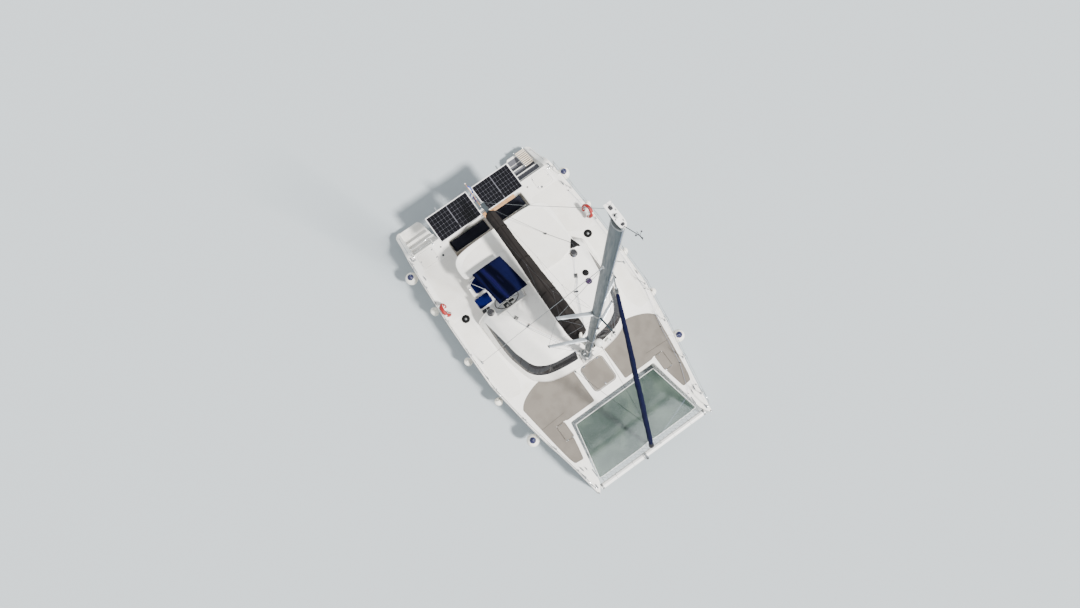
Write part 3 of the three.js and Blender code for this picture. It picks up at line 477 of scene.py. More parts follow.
def frames(path, closed=False):
    """Unit tangent and two normals at each point, turned along without twist."""
    p = np.asarray(path, float)
    if closed:
        t = np.roll(p, -1, 0) - np.roll(p, 1, 0)
    else:
        t = np.gradient(p, axis=0)
    t /= np.linalg.norm(t, axis=1)[:, None] + 1e-12
    ref = np.array([0, 0, 1.0]) if abs(t[0][2]) < 0.9 else np.array([1.0, 0, 0])
    u = np.cross(t[0], ref)
    u /= np.linalg.norm(u)
    U = [u]
    for i in range(1, len(p)):
        u = U[-1] - t[i] * np.dot(U[-1], t[i])
        n = np.linalg.norm(u)
        u = u / n if n > 1e-9 else U[-1]
        U.append(u)
    U = np.array(U)
    if closed:  # spread the leftover turn
        end = U[-1] - t[0] * np.dot(U[-1], t[0])
        end /= np.linalg.norm(end)
        a = math.atan2(np.dot(np.cross(end, U[0]), t[0]), np.dot(end, U[0]))
        for i in range(len(p)):
            q = a * i / (len(p) - 1)
            U[i] = U[i] * math.cos(q) + np.cross(t[i], U[i]) * math.sin(q)
    return t, U, np.cross(t, U)


def tube(path, r, n=8, closed=False, cap=True, flat=1.0, turn=0.0):
    """A round (or flattened) tube along a path; r one number or one for each point."""
    p = np.asarray(path, float)
    t, U, W = frames(p, closed)
    r = np.broadcast_to(np.asarray(r, float), (len(p),))
    a = np.linspace(0, 2 * PI, n, endpoint=False) + turn
    P = p[:, None, :] + r[:, None, None] * (np.cos(a)[None, :, None] * U[:, None, :] + flat * np.sin(a)[None, :, None] * W[:, None, :])
    return loft(P, (cap, cap), True, closed)


def rod(a, b, r, n=8, r2=None):
    a, b = np.asarray(a, float), np.asarray(b, float)
    return tube([a, b], [r, r if r2 is None else r2], n)


def sag(a, b, s, n=14):
    """A line from a to b hanging s lower at its middle."""
    a, b = np.asarray(a, float), np.asarray(b, float)
    t = np.linspace(0, 1, n)[:, None]
    p = a + (b - a) * t
    p[:, 2] -= (4 * s * t * (1 - t))[:, 0]
    return p


def rrect(w, h, r, k=5):
    """Rounded rectangle, CCW, centred, w by h."""
    r = min(r, w / 2 - 1e-4, h / 2 - 1e-4)
    out = []
    for cx, cy, a0 in ((w / 2 - r, h / 2 - r, 0), (-w / 2 + r, h / 2 - r, 90), (-w / 2 + r, -h / 2 + r, 180), (w / 2 - r, -h / 2 + r, 270)):
        for i in range(k + 1):
            a = math.radians(a0 + 90 * i / k)
            out.append((cx + r * math.cos(a), cy + r * math.sin(a)))
    return np.array(out)


def circ(r, n=24, c=(0, 0)):
    a = np.linspace(0, 2 * PI, n, endpoint=False)
    return np.stack([c[0] + r * np.cos(a), c[1] + r * np.sin(a)], 1)


def area2(p):
    x, y = p[:, 0], p[:, 1]
    return 0.5 * np.sum(x * np.roll(y, -1) - np.roll(x, -1) * y)


def offset(poly, d):
    """The loop moved d to its left (inward for a CCW loop)."""
    p = np.asarray(poly, float)
    e = np.roll(p, -1, 0) - p
    ln = np.linalg.norm(e, axis=1)[:, None] + 1e-12
    n = np.stack([-e[:, 1], e[:, 0]], 1) / ln
    n0 = np.roll(n, 1, 0)
    b = n + n0
    k = np.sum(b * b, 1) / 2
    k = np.maximum(k, 0.35)
    return p + d * b / k[:, None]


def inside(pt, poly):
    x, y = pt
    c = False
    n = len(poly)
    j = n - 1
    for i in range(n):
        xi, yi = poly[i]
        xj, yj = poly[j]
        if (yi > y) != (yj > y) and x < (xj - xi) * (y - yi) / (yj - yi) + xi:
            c = not c
        j = i
    return c


def fill(loops):
    """Triangles between an outer loop and its holes: list of point index triples into the loops joined."""
    pts = [tuple(q) for lp in loops for q in lp]
    edges, k = [], 0
    for lp in loops:
        n = len(lp)
        edges += [(k + i, k + (i + 1) % n) for i in range(n)]
        k += n
    vs, _, fs, ov, _, _ = delaunay_2d_cdt([Vector(p) for p in pts], edges, [], 0, 1e-7)
    src = [o[0] if o else -1 for o in ov]
    out = []
    for f in fs:
        cx = sum(vs[i][0] for i in f) / 3
        cy = sum(vs[i][1] for i in f) / 3
        if not inside((cx, cy), loops[0]):
            continue
        if any(inside((cx, cy), h) for h in loops[1:]):
            continue
        if all(src[i] >= 0 for i in f):
            out.append(tuple(src[i] for i in f))
    return out


def slab(outer, z1, z0, r=0.01, k=3, holes=(), zf=None, rb=0.0, hk=1.0):
    """A plate with its top at z1 and bottom at z0, top edges rounded by r and bottom edges by rb. zf(x, y) is added to z.
    hk scales the rounding at the holes."""
    loops = []
    o = np.asarray(outer, float)
    loops.append(o if area2(o) > 0 else o[::-1])
    for h in holes:
        h = np.asarray(h, float)
        loops.append(h if area2(h) < 0 else h[::-1])
    levels = []
    for i in range(k + 1):
        a = PI / 2 * i / k
        levels.append((r * (1 - math.sin(a)), z1 - r * (1 - math.cos(a))))
    if not r:
        levels = [(0.0, z1)]
    if rb:
        for i in range(k + 1):
            a = PI / 2 * (1 - i / k)
            levels.append((rb * (1 - math.sin(a)), z0 + rb * (1 - math.cos(a))))
    else:
        levels.append((0.0, z0))
    V, F, base = [], [], 0
    tops, bots = [], []
    for li, lp in enumerate(loops):
        n = len(lp)
        kk = 1.0 if li == 0 else (hk[li - 1] if isinstance(hk, (list, tuple)) else hk)
        rings = [(offset(lp, d * kk) if d else lp, z1 - (z1 - z) * kk if z > (z0 + z1) / 2 else z0 + (z - z0) * kk) for d, z in levels]
        for ri, (ring, z) in enumerate(rings):
            for q in ring:
                V.append((q[0], q[1], z + (zf(q[0], q[1]) if zf else 0.0)))
        for ri in range(len(rings) - 1):
            for i in range(n):
                a, b = base + ri * n + i, base + ri * n + (i + 1) % n
                F.append((a, a + n, b + n, b))
        tops.append((rings[0][0], base))
        bots.append((rings[-1][0], base + (len(rings) - 1) * n))
        base += n * len(rings)
    for caps, flip in ((tops, False), (bots, True)):
        idx = []
        for ring, b0 in caps:
            idx += list(range(b0, b0 + len(ring)))
        for tri in fill([c[0] for c in caps]):
            q = [idx[i] for i in tri]
            F.append(tuple(q[::-1] if flip else q))
    return np.array(V), F


def rbox(c, s, r=0.01, k=3, M=None):
    """A box of size s about c with every edge rounded."""
    r = min(r, min(s) / 2 - 1e-4)
    V, F = slab(rrect(s[0], s[1], max(r, 0.002), k), s[2] / 2, -s[2] / 2, r, k, rb=r)
    if M is not None:
        V = V @ np.array(M, float)[:3, :3].T
    return V + np.array(c, float), F


def lathe(profile, n=24, c=(0, 0, 0), axis="z", cap=True):
    """Profile (r, h) turned about an axis through c."""
    a = np.linspace(0, 2 * PI, n, endpoint=False)
    P = []
    for r, h in profile:
        x, y = r * np.cos(a), r * np.sin(a)
        z = np.full(n, h)
        q = {"z": (x, y, z), "x": (z, x, y), "y": (y, z, x)}[axis]
        P.append(np.stack(q, 1))
    V, F = loft(np.array(P), (cap, cap))
    return V + np.array(c, float), F


def dome(r, h, c, n=24, k=7, z0=0.0):
    pr = [(r, z0)] + [(r * math.cos(a), z0 + h * math.sin(a)) for a in np.linspace(0, PI / 2 * 0.97, k)]
    return lathe(pr, n, c)


def ball(c, r, n=20, k=12, sz=1.0):
    pr = [(max(1e-4, r * math.sin(a)), -r * sz * math.cos(a)) for a in np.linspace(0.04, PI - 0.04, k)]
    return lathe(pr, n, c)


def move(vf, M):
    V, F = vf
    M = np.array(M, float)
    return V @ M[:3, :3].T + M[:3, 3], F


def rot(axis, deg, about=(0, 0, 0)):
    R = Matrix.Rotation(math.radians(deg), 4, axis)
    a = Matrix.Translation(Vector(about))
    return np.array(a @ R @ a.inverted())


def facing(d, upv=(0, 0, 1), at=(0, 0, 0)):
    """A matrix whose z axis points along d."""
    d = Vector(d).normalized()
    u = Vector(upv)
    if abs(d.dot(u)) > 0.98:
        u = Vector((1, 0, 0))
    x = u.cross(d).normalized()
    y = d.cross(x)
    M = Matrix.Identity(4)
    for k in range(3):
        M[k][0], M[k][1], M[k][2], M[k][3] = x[k], y[k], d[k], at[k]
    return np.array(M)


class Part:
    """A piece gathered from shapes, each with its finish."""

    def __init__(self):
        self.V, self.F, self.m, self.mats, self.n = [], [], [], [], 0

    def add(self, vf, mat, alt=None):
        """alt(centre, normal) may give another finish for a face."""
        V, F = vf
        V = np.asarray(V, float)
        if mat not in self.mats:
            self.mats.append(mat)
        mi = self.mats.index(mat)
        if alt is None:
            self.m += [mi] * len(F)
        else:
            for f in F:
                q = V[list(f)]
                nrm = np.cross(q[1] - q[0], q[2] - q[0])
                nrm = nrm / (np.linalg.norm(nrm) + 1e-12)
                got = alt(q.mean(0), nrm) or mat
                if got not in self.mats:
                    self.mats.append(got)
                self.m.append(self.mats.index(got))
        self.V.append(V)
        self.F += [tuple(i + self.n for i in f) for f in F]
        self.n += len(V)
        return self

    def make(self, name, body="hull", slot=None, replaces=(), sharp=38, recalc=True, weighted=True, merge=0.0, solid=0.0):
        me = bpy.data.meshes.new(name)
        me.from_pydata(np.concatenate(self.V).tolist(), [], self.F)
        for mt in self.mats:
            me.materials.append(mt)
        me.polygons.foreach_set("material_index", self.m)
        if recalc or merge:
            bm = bmesh.new()
            bm.from_mesh(me)
            if merge:
                bmesh.ops.remove_doubles(bm, verts=bm.verts, dist=merge)
            bad = [f for f in bm.faces if f.calc_area() < 1e-11]
            if bad:
                bmesh.ops.delete(bm, geom=bad, context="FACES_ONLY")
            if recalc:
                bmesh.ops.recalc_face_normals(bm, faces=bm.faces)
            bm.to_mesh(me)
            bm.free()
        me.polygons.foreach_set("use_smooth", [True] * len(me.polygons))
        me.set_sharp_from_angle(angle=math.radians(sharp))
        me.update()
        o = bpy.data.objects.new(name, me)
        bpy.context.scene.collection.objects.link(o)
        if solid:
            md = o.modifiers.new("thick", "SOLIDIFY")
            md.thickness = solid
            md.offset = 0
        if weighted:
            md = o.modifiers.new("weighted", "WEIGHTED_NORMAL")
            md.keep_sharp = True
        if body:
            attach(o, body)
        if replaces:
            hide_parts(*replaces)
        return o


def cad(nodes, bevel=0.01, seg=2, angle=35):
    """Vertices and faces of CAD nodes, edges rounded."""
    V, F, n = [], [], 0
    for nm in ([nodes] if isinstance(nodes, str) else nodes):
        bm = bmesh.new()
        bm.from_mesh(NODES[nm].data)
        bmesh.ops.remove_doubles(bm, verts=bm.verts, dist=2e-5)
        bmesh.ops.dissolve_limit(bm, angle_limit=math.radians(0.8), verts=bm.verts[:], edges=bm.edges[:])
        if bevel:
            es = [e for e in bm.edges if e.is_manifold and e.calc_face_angle(0) > math.radians(angle)]
            bmesh.ops.bevel(bm, geom=es, offset=bevel, offset_type="OFFSET", segments=seg, profile=0.5, affect="EDGES", clamp_overlap=True)
        bm.verts.ensure_lookup_table()
        for i, v in enumerate(bm.verts):
            v.index = i
        V += [tuple(v.co) for v in bm.verts]
        F += [tuple(v.index + n for v in f.verts) for f in bm.faces]
        n += len(bm.verts)
        bm.free()
    return np.array(V), F


def patch(outline, surf, lift=0.004, rings=4, thick=0.006):
    """A thin plate that lies on a surface: outline in (u, v), surf(u, v, lift) gives the point."""
    o = np.asarray(outline, float)
    c = o.mean(0)
    n = len(o)
    V, F = [], []
    scales = [1.0, 1.0] + [1.0 - (i + 0.35) / (rings + 0.35) for i in range(rings)]
    lifts = [lift - thick, lift] + [lift] * rings
    for s, lf in zip(scales, lifts):
        for q in o:
            u, v = c + (q - c) * s
            V.append(surf(u, v, lf))
    for i in range(len(scales) - 1):
        for j in range(n):
            a, b = i * n + j, i * n + (j + 1) % n
            F.append((a, b, b + n, a + n))
    V.append(surf(c[0], c[1], lift))
    last = (len(scales) - 1) * n
    for j in range(n):
        F.append((last + j, last + (j + 1) % n, len(V) - 1))
    return np.array(V), F


def sides():
    """(name, sign) for the two sides."""
    return (("port", 1.0), ("starboard", -1.0))


# ------------------------------------------------------------------ driving dimensions, as in the CAD
DECK_Z, DECK_T = 1.65, 0.15
BRIDGE_Y = 1.78
WELL = (-4.35, 1.40, 1.60)
FLOOR_Z = 0.90
HULL_Y = 2.50
ST = np.array([  # x, outer edge, inner edge, keel line, sheer, keel depth, deck's inner edge
    (-4600, 3130, 1780, 2500, 1650, -390, 1700), (-3300, 3210, 1780, 2510, 1650, -530, 1700), (-1400, 3280, 1780, 2515, 1650, -610, 1700),
    (600, 3290, 1780, 2505, 1650, -620, 1700), (1900, 3130, 1780, 2460, 1650, -600, 1700), (3450, 2870, 1790, 2400, 1650, -520, 1770),
    (4200, 2690, 1890, 2365, 1660, -430, 1880), (5000, 2535, 2030, 2340, 1700, -280, 2020), (5620, 2440, 2135, 2340, 1735, -90, 2125),
    (5950, 2385, 2330, 2358, 1750, 180, 2330)], float) / 1000
SN = np.array([  # stern: x, outer, inner, keel line, top, keel depth
    (-5950, 2960, 2060, 2500, 560, -40), (-5820, 3070, 1965, 2500, 620, -80), (-5200, 3095, 1880, 2500, 1080, -245),
    (-4600, 3130, 1780, 2500, 1650, -390)], float) / 1000
ALLX = np.r_[SN[:-1, 0], ST[:, 0]]
YO = pchip(ALLX, np.r_[SN[:-1, 1], ST[:, 1]])
YI = pchip(ALLX, np.r_[SN[:-1, 2], ST[:, 2]])
YK = pchip(ALLX, np.r_[SN[:-1, 3], ST[:, 3]])
ZS = pchip(ALLX, np.r_[SN[:-1, 4], ST[:, 4]])
ZK = pchip(ALLX, np.r_[SN[:-1, 5], ST[:, 5]])
YT = pchip(ST[:, 0], ST[:, 6])
STEPS = [(-6.10, -5.35, 0.50), (-5.35, -5.03, 0.79), (-5.03, -4.73, 1.09), (-4.73, -4.60, 1.38)]
STEP_Y = 2.86
OUTER = [(1, 1), (.66, .955), (.45, .9), (.286, .83), (.12, .61), (.03, .27)]
INNER = [(.03, .27), (.12, .61), (.286, .84), (.5, .92), (.66, 1), (1, 1)]
sec = [(f, g) for f, g in OUTER] + [(0, 0)] + [(f, -g) for f, g in INNER]
sp = np.r_[0, np.cumsum([math.hypot((a[0] - b[0]) * 2.1, (a[1] - b[1]) * 0.66) for a, b in zip(sec[1:], sec[:-1])])]
SEC_F, SEC_G = pchip(sp, [q[0] for q in sec]), pchip(sp, [q[1] for q in sec])
sk = sp[len(OUTER)]
dense_o = np.linspace(sk, 0, 200)
dense_i = np.linspace(sk, sp[-1], 200)
GO_F, GO_G = SEC_F(dense_o), SEC_G(dense_o)
GI_F, GI_G = SEC_F(dense_i), -SEC_G(dense_i)


def top_of(x):
    """Height that the section shape is scaled to: the hull's joint line, and the rail's top at the stern."""
    return ZS(x) - 0.15 * smooth((x + 5.1) / 0.5)


def outer_y(x, z):
    f = (z - ZK(x)) / (top_of(x) - ZK(x))
    return YK(x) + np.interp(f, GO_F, GO_G) * (YO(x) - YK(x))


def inner_y(x, z):
    f = (z - ZK(x)) / (top_of(x) - ZK(x))
    return YK(x) - np.interp(f, GI_F, GI_G) * (YK(x) - YI(x))


def step_z(x):
    for x0, x1, z in STEPS:
        if x0 <= x < x1:
            d = x - x0
            r = 0.022
            return z - (r - math.sqrt(max(0.0, r * r - (r - d) ** 2)) if d < r and x0 > -6 else 0.0)
    return 1.38


def edge_y(x):
    """Deck's outer edge."""
    return float(YO(x))


# ------------------------------------------------------------------ hulls
def hull_side(name, sg):
    P = Part()
    s = np.r_[np.linspace(0, sk, 30), np.linspace(sk, sp[-1], 30)[1:]]
    f, g = SEC_F(s), SEC_G(s)
    X = np.r_[np.linspace(-4.6, 5.0, 66), np.linspace(5.05, 5.90, 16), 5.93, 5.944]
    rings = []
    for x in X:
        top, zk, yk = ZS(x) - 0.15, ZK(x), YK(x)
        sc = top_of(x)
        z = zk + f * (sc - zk)
        y = yk + np.where(g > 0, g * (YO(x) - yk), g * (yk - YI(x)))
        z[0], z[-1] = top, top
        rings.append(np.stack([np.full_like(z, x), sg * y, z], 1))
    last = rings[-1].copy()
    mid = last.mean(0)
    for k, (dx, w) in enumerate(((0.004, 0.75), (0.006, 0.35), (0.007, 0.05))):
        r = last.copy()
        r[:, 1] = mid[1] + (last[:, 1] - mid[1]) * w
        r[:, 0] = 5.944 + dx
        rings.append(r)
    R = np.array(rings)
    V, F = loft(R, (False, False), closed_v=False)
    P.add((V, F), HULLM)
    # stern with its steps: one ring for each station, outer side, rail top, rail's inner face, tread, inner side
    xs = sorted(set([round(v, 4) for v in np.linspace(-5.93, -4.605, 40)] + [x0 + d for x0, _, _ in STEPS[1:] for d in (-0.0005, 0.0005, 0.003, 0.009, 0.022)]))
    q = np.linspace(0, 1, 22) ** 1.7
    rings = []

    def ring(x, shrink=0.0):
        zk, zt = float(ZK(x)), float(ZS(x))
        zstep = step_z(x)
        pts = []
        r = 0.03
        for t in q:
            z = zk + (zt - r - zk) * t
            pts.append((float(outer_y(x, z)), z))
        yo = float(outer_y(x, zt - r))
        for a in (30, 60, 90):
            pts.append((yo - r * (1 - math.cos(math.radians(a))), zt - r + r * math.sin(math.radians(a))))
        yb = STEP_Y
        for a in (0, 30, 60, 90):
            pts.append((yb + 0.02 * (1 - math.sin(math.radians(a))), zt - 0.02 * (1 - math.cos(math.radians(a)))))
        pts.append((yb, max(zstep + 0.02, min(zt - 0.03, zstep + 0.02))))
        pts.append((yb - 0.006, zstep + 0.006))
        pts.append((yb - 0.02, zstep))
        yi = float(inner_y(x, zstep - 0.025))
        pts.append(((yb + yi) / 2, zstep))
        for a in (90, 60, 30, 0):
            pts.append((yi + 0.025 * (1 - math.cos(math.radians(a))), zstep - 0.025 * (1 - math.sin(math.radians(a)))))
        for t in q[::-1][1:-1]:
            z = zk + (zstep - 0.025 - zk) * t
            pts.append((float(inner_y(x, z)), z))
        A = np.array(pts)
        if shrink:
            c = A.mean(0)
            c[1] = 0.2
            d = A - c
            A = c + d * (1 - shrink / (np.linalg.norm(d, axis=1)[:, None] + 0.05))
        return np.stack([np.full(len(A), x), sg * A[:, 0], A[:, 1]], 1)

    r0 = ring(-5.93)
    for x, w in ((-5.951, 0.022), (-5.9495, 0.012), (-5.944, 0.005)):
        r = ring(-5.94, w)
        r[:, 0] = x
        rings.append(r)
    for x in xs:
        rings.append(ring(x))
    rings.append(ring(-4.6001))
    V, F = loft(np.array(rings), (True, True))
    P.add((V, F), HULLM)
    P.make(f"{name}_hull_shell", "hull", "gelcoat", [f"{name}_hull"], merge=0.0004, sharp=34, weighted=False)
    # rubbing strake at the joint, half round, with a grey insert
    X = np.r_[np.linspace(-4.6, 5.6, 90), np.linspace(5.65, 5.93, 8)]
    path = np.array([(x, sg * (edge_y(x) + 0.004), float(ZS(x)) - 0.152) for x in X])
    S = Part()
    S.add(tube(path, 0.017, 8), ALLOY_W)
    path2 = path.copy()
    path2[:, 1] += sg * 0.014
    S.add(tube(path2, 0.007, 6), RUBBER)
    S.make(f"{name}_rubbing_strake", "hull", "white_alloy")
    # hull windows: one long pane amidships and two short ones, each in a thin black seat
    W = Part()

    def on(x, z, lift):
        return (x, sg * (float(outer_y(x, z)) + lift), z)

    def on_in(x, z, lift):
        return (x, sg * (float(inner_y(x, z)) - lift), z)

    for cx, w, h, z in ((0.55, 1.75, 0.23, 1.12), (2.35, 0.62, 0.20, 1.13), (-1.75, 0.95, 0.22, 1.11), (-3.25, 0.55, 0.20, 1.10)):
        o = rrect(w, h, 0.075, 6)
        o = along(np.vstack([o, o[:1]]), 0.05)[:-1] + (cx, z)
        o2 = o.copy()
        o2[:, 0] = cx + (o[:, 0] - cx) * (w + 0.03) / w
        o2[:, 1] = z + (o[:, 1] - z) * (h + 0.03) / h
        W.add(patch(o2, on, 0.003, 3), RUBBER)
        W.add(patch(o, on, 0.006, 5), GLASS)
    for cx, w, h, z in ((2.5, 0.46, 0.18, 1.12), (-0.2, 0.46, 0.18, 1.22)):
        o = rrect(w, h, 0.06, 6) + (cx, z)
        o2 = rrect(w + 0.03, h + 0.03, 0.07, 6) + (cx, z)
        if cx > 3.45 or cx > 0:
            continue
    W.make(f"{name}_hull_windows", "hull", "tinted_glass")


for nm, sg in sides():
    hull_side(nm, sg)


# ------------------------------------------------------------------ deck moulding
def mir(pts, sg):
    a = np.array(pts, float)
    a[:, 1] *= sg
    return a


def deck_z(x, y=0.0):
    return float(ZS(x)) if x > 3.4 else DECK_Z


def deck_outline():
    xs = np.r_[np.linspace(-4.6, 5.4, 84), np.linspace(5.45, 5.9, 10), 5.93, 5.944]
    port = [(x, edge_y(x)) for x in xs]
    tip = [(5.951, 2.372), (5.951, 2.343)]
    inner = [(x, float(YT(x))) for x in (5.90, 5.80, 5.62, 5.4, 5.2, 5.0, 4.8, 4.6, 4.4, 4.2, 4.0, 3.8, 3.62)]
    # a rounded corner where the net's opening meets the foredeck
    corner = [(3.50, 1.765), (3.462, 1.74), (3.45, 1.70)]
    half = port[::-1]  # from the bow aft, port side is built from aft centre
    aft = [(-4.6, 3.04)]
    loop = [(3.45, y) for y in np.linspace(-1.6, 1.6, 24)]
    full = loop + [(3.45, 1.70), (3.462, 1.74), (3.50, 1.765)] + inner[::-1] + tip[::-1] + half
    full += [(-4.6, y) for y in np.linspace(2.9, -2.9, 40)]
    m_half = [(x, -y) for x, y in port]
    full += m_half + [(x, -y) for x, y in tip] + [(x, -y) for x, y in inner] + [(3.50, -1.765), (3.462, -1.74), (3.45, -1.70)]
    return np.array(full)


outline = deck_outline()
well = rrect(WELL[1] - WELL[0], 2 * WELL[2], 0.12, 6) + ((WELL[0] + WELL[1]) / 2, 0)
well = along(np.vstack([well, well[:1]]), 0.16)[:-1]
D = Part()
openings = [well, rrect(0.974, 0.894, 0.146, 6) + (2.65, 0.0)]
for sg in (1, -1):
    openings.append(rrect(0.614, 0.334, 0.062, 5) + (3.60, sg * 2.09))
    openings.append(rrect(0.574, 0.634, 0.092, 5) + (-4.22, sg * 2.50))
D.add(slab(outline, DECK_Z, DECK_Z - DECK_T, 0.034, 4, holes=openings, zf=lambda x, y: deck_z(x) - DECK_Z, hk=[1.0] + [0.10] * 5), GEL_DECK)
# inner gutters that the lids shut down on, engine room and forepeak liners
for sg in (1, -1):
    for cx, cy, w, h, rr_ in ((3.60, sg * 2.09, 0.614, 0.334, 0.062), (-4.22, sg * 2.50, 0.574, 0.634, 0.092)):
        D.add(slab(rrect(w + 0.02, h + 0.02, rr_ + 0.01, 5) + (cx, cy), 1.599, 1.585, 0.002, 1, holes=(rrect(w - 0.05, h - 0.05, rr_, 5) + (cx, cy),)), GEL_DECK)
        D.add(tube([(q[0], q[1], 1.600) for q in rrect(w - 0.030, h - 0.030, rr_, 5) + (cx, cy)], 0.006, 6, closed=True), RUBBER)
    D.add(slab(rrect(0.22, 0.12, 0.028, 5) + (-3.65, sg * 3.01), 1.658, 1.640, 0.006, 3), GEL)
# the drain groove round the deck edge
for nm, sg in sides():
    X = np.linspace(-4.5, 5.55, 110)
    g = [(x, sg * (edge_y(x) - 0.075), deck_z(x) + 0.004) for x in X]
    D.add(tube(g, 0.011, 6, flat=0.7), GEL)
D.make("deck_shell", "hull", "gelcoat", ["deck_moulding"], sharp=30)
D = Part()
for sg in (1, -1):
    for x0, x1, hw, cy, z0 in ((-4.505, -3.846, 0.284, sg * 2.50, 0.058), (3.336, 3.864, 0.134, sg * 2.09, 0.904)):
        rings = []
        for (dd, z) in ((-0.008, 1.515), (0.0, 1.515), (0.0, z0 + 0.05), (0.015, z0 + 0.014), (0.05, z0)):
            o = offset(rrect(x1 - x0, 2 * hw, 0.06, 6), dd) + ((x0 + x1) / 2, cy)
            rings.append(np.c_[o, np.full(len(o), z)])
        D.add(loft(np.array(rings), (False, True)), GEL_IN)
    for x in (-4.40, -3.95):  # a hose, a wiring loom and a strip light in the engine room
        D.add(tube(crom([(x, sg * 2.765, 0.25), (x + 0.02, sg * 2.77, 0.7), (x - 0.02, sg * 2.765, 1.1), (x, sg * 2.76, 1.4)], 5), 0.016, 10), RUBBER)
    D.add(rbox((-4.18, sg * 2.235, 1.30), (0.30, 0.02, 0.04), 0.008), IVORY)
D.make("locker_liners", "hull", "gelcoat", recalc=True)


def port_pts_to_panel(name, pts, thick, mat, slotn, z=None, r=0.004, round_r=0.05, body="hull", repl=(), edge=None):
    """A thin raised panel on the deck with softened corners."""
    p = np.asarray(pts, float)
    # soften the corners
    out = []
    n = len(p)
    for i in range(n):
        a, b, c = p[i - 1], p[i], p[(i + 1) % n]
        la, lc = np.linalg.norm(a - b), np.linalg.norm(c - b)
        cosang = np.dot(a - b, c - b) / (la * lc + 1e-9)
        if cosang < -0.9:
            out.append(b)
            continue
        d = min(round_r, la * 0.45, lc * 0.45)
        p0, p1 = b + (a - b) / la * d, b + (c - b) / lc * d
        for t in (0, 0.25, 0.5, 0.75, 1):
            out.append((1 - t) ** 2 * p0 + 2 * t * (1 - t) * b + t * t * p1)
    o = np.array(out)
    P = Part()
    P.add(slab(o, thick, 0.0, r, 2, zf=(lambda x, y: deck_z(x) - 0.001) if z is None else (lambda x, y: z)), mat)
    if edge is not None:
        loop_ = along(np.vstack([o, o[:1]]), 0.05)[:-1]
        P.add(tube([(q[0], q[1], deck_z(q[0]) + 0.001) for q in loop_], 0.0050, 6, closed=True), edge)
    return P.make(name, body, slotn, repl)


# grey non-skid on the foredeck, with the thin gap lines that divide it
for nm, sg in sides():
    aft = [(2.02, 0.66), (1.95, 0.82), (1.87, 1.18), (1.80, 1.48), (1.705, 1.75), (1.69, 1.95), (1.77, 2.25), (1.89, 2.53), (2.03, 2.73), (2.18, 2.85)]
    aft = crom(aft, 4)
    outb = [(2.79, 2.765), (3.10, 2.722)]
    main = [tuple(q) for q in aft] + outb + [(3.60, 2.65), (4.00, 2.59), (4.44, 2.515), (4.665, 2.44), (4.70, 2.12), (4.20, 2.02), (3.912, 1.972), (3.910, 2.261), (3.290, 2.261), (3.290, 1.868),
                                              (3.33, 1.80), (3.33, 0.66)]
    port_pts_to_panel(f"{nm}_foredeck_nonskid", mir(main, sg), 0.004, NONSKID, "nonskid", round_r=0.04, edge=TRIMD)
    # the dark seam across it and the small gap left round the hatch
    P = Part()
    P.add(tube([(x, sg * y, deck_z(x) + 0.0035) for x, y in ((3.052, 1.76), (3.07, 2.1), (3.085, 2.4), (3.10, 2.715))], 0.006, 6, flat=0.6), TRIMD)
    P.make(f"{nm}_foredeck_seam", "hull", "nonskid")

# white moulded non-skid fields along the side decks and the quarter, a shade duller than the smooth gelcoat round them
WHITE_NS = material("nonskid_white", (232, 229, 222), 0.75, vary=0.02, vscale=1.5, bump=0.55, bscale=300, second=(222, 217, 207), second_scale=1.6,
                    second_lo=0.5, second_hi=0.8)
for nm, sg in sides():
    xs = np.linspace(-3.86, -1.80, 12)
    quarter = [(x, edge_y(x) - 0.24) for x in xs] + [(-1.80, 2.50), (-2.1, 2.12), (-2.5, 1.76), (-3.86, 1.76)]
    xs = np.linspace(-1.70, 1.60, 14)
    sided = [(x, edge_y(x) - 0.16) for x in xs] + [(1.66, 2.55), (1.2, 2.36), (0.3, 2.44), (-1.70, 2.52)]
    for k, (pts, a) in enumerate(((quarter, "quarter"), (sided, "side"))):
        port_pts_to_panel(f"{nm}_{a}_deck_nonskid", mir(pts, sg), 0.003, WHITE_NS, "gelcoat", round_r=0.09)

# ------------------------------------------------------------------ foredeck locker lid and hatches
lid = rrect(0.96, 0.88, 0.14, 7) + (2.65, 0.0)
P = Part()
P.add(slab(lid, 1.676, 1.612, 0.008, 3, rb=0.006), GEL_DECK)
P.add(slab(offset(lid, 0.006), 1.680, 1.668, 0.006, 2), NONSKID)
for y in (-0.28, 0.28):  # hinges
    P.add(rbox((2.185, y, 1.676), (0.05, 0.09, 0.014), 0.004), STEEL)
P.add(lathe([(0.028, -0.004), (0.028, 0.003), (0.022, 0.006), (0.001, 0.006)], 20, (3.06, 0.0, 1.682)), STEEL)
P.make("locker_lid_panel", "foredeck_locker_lid", "nonskid", ["foredeck_locker_lid"])
P = Part()
ringo = rrect(1.02, 0.94, 0.16, 7) + (2.65, 0.0)
P.add(slab(ringo, 1.654, 1.640, 0.003, 2, holes=(rrect(0.972, 0.892, 0.147, 7) + (2.65, 0.0),)), TRIMD)
P.make("locker_seal", "hull", "black_grip")


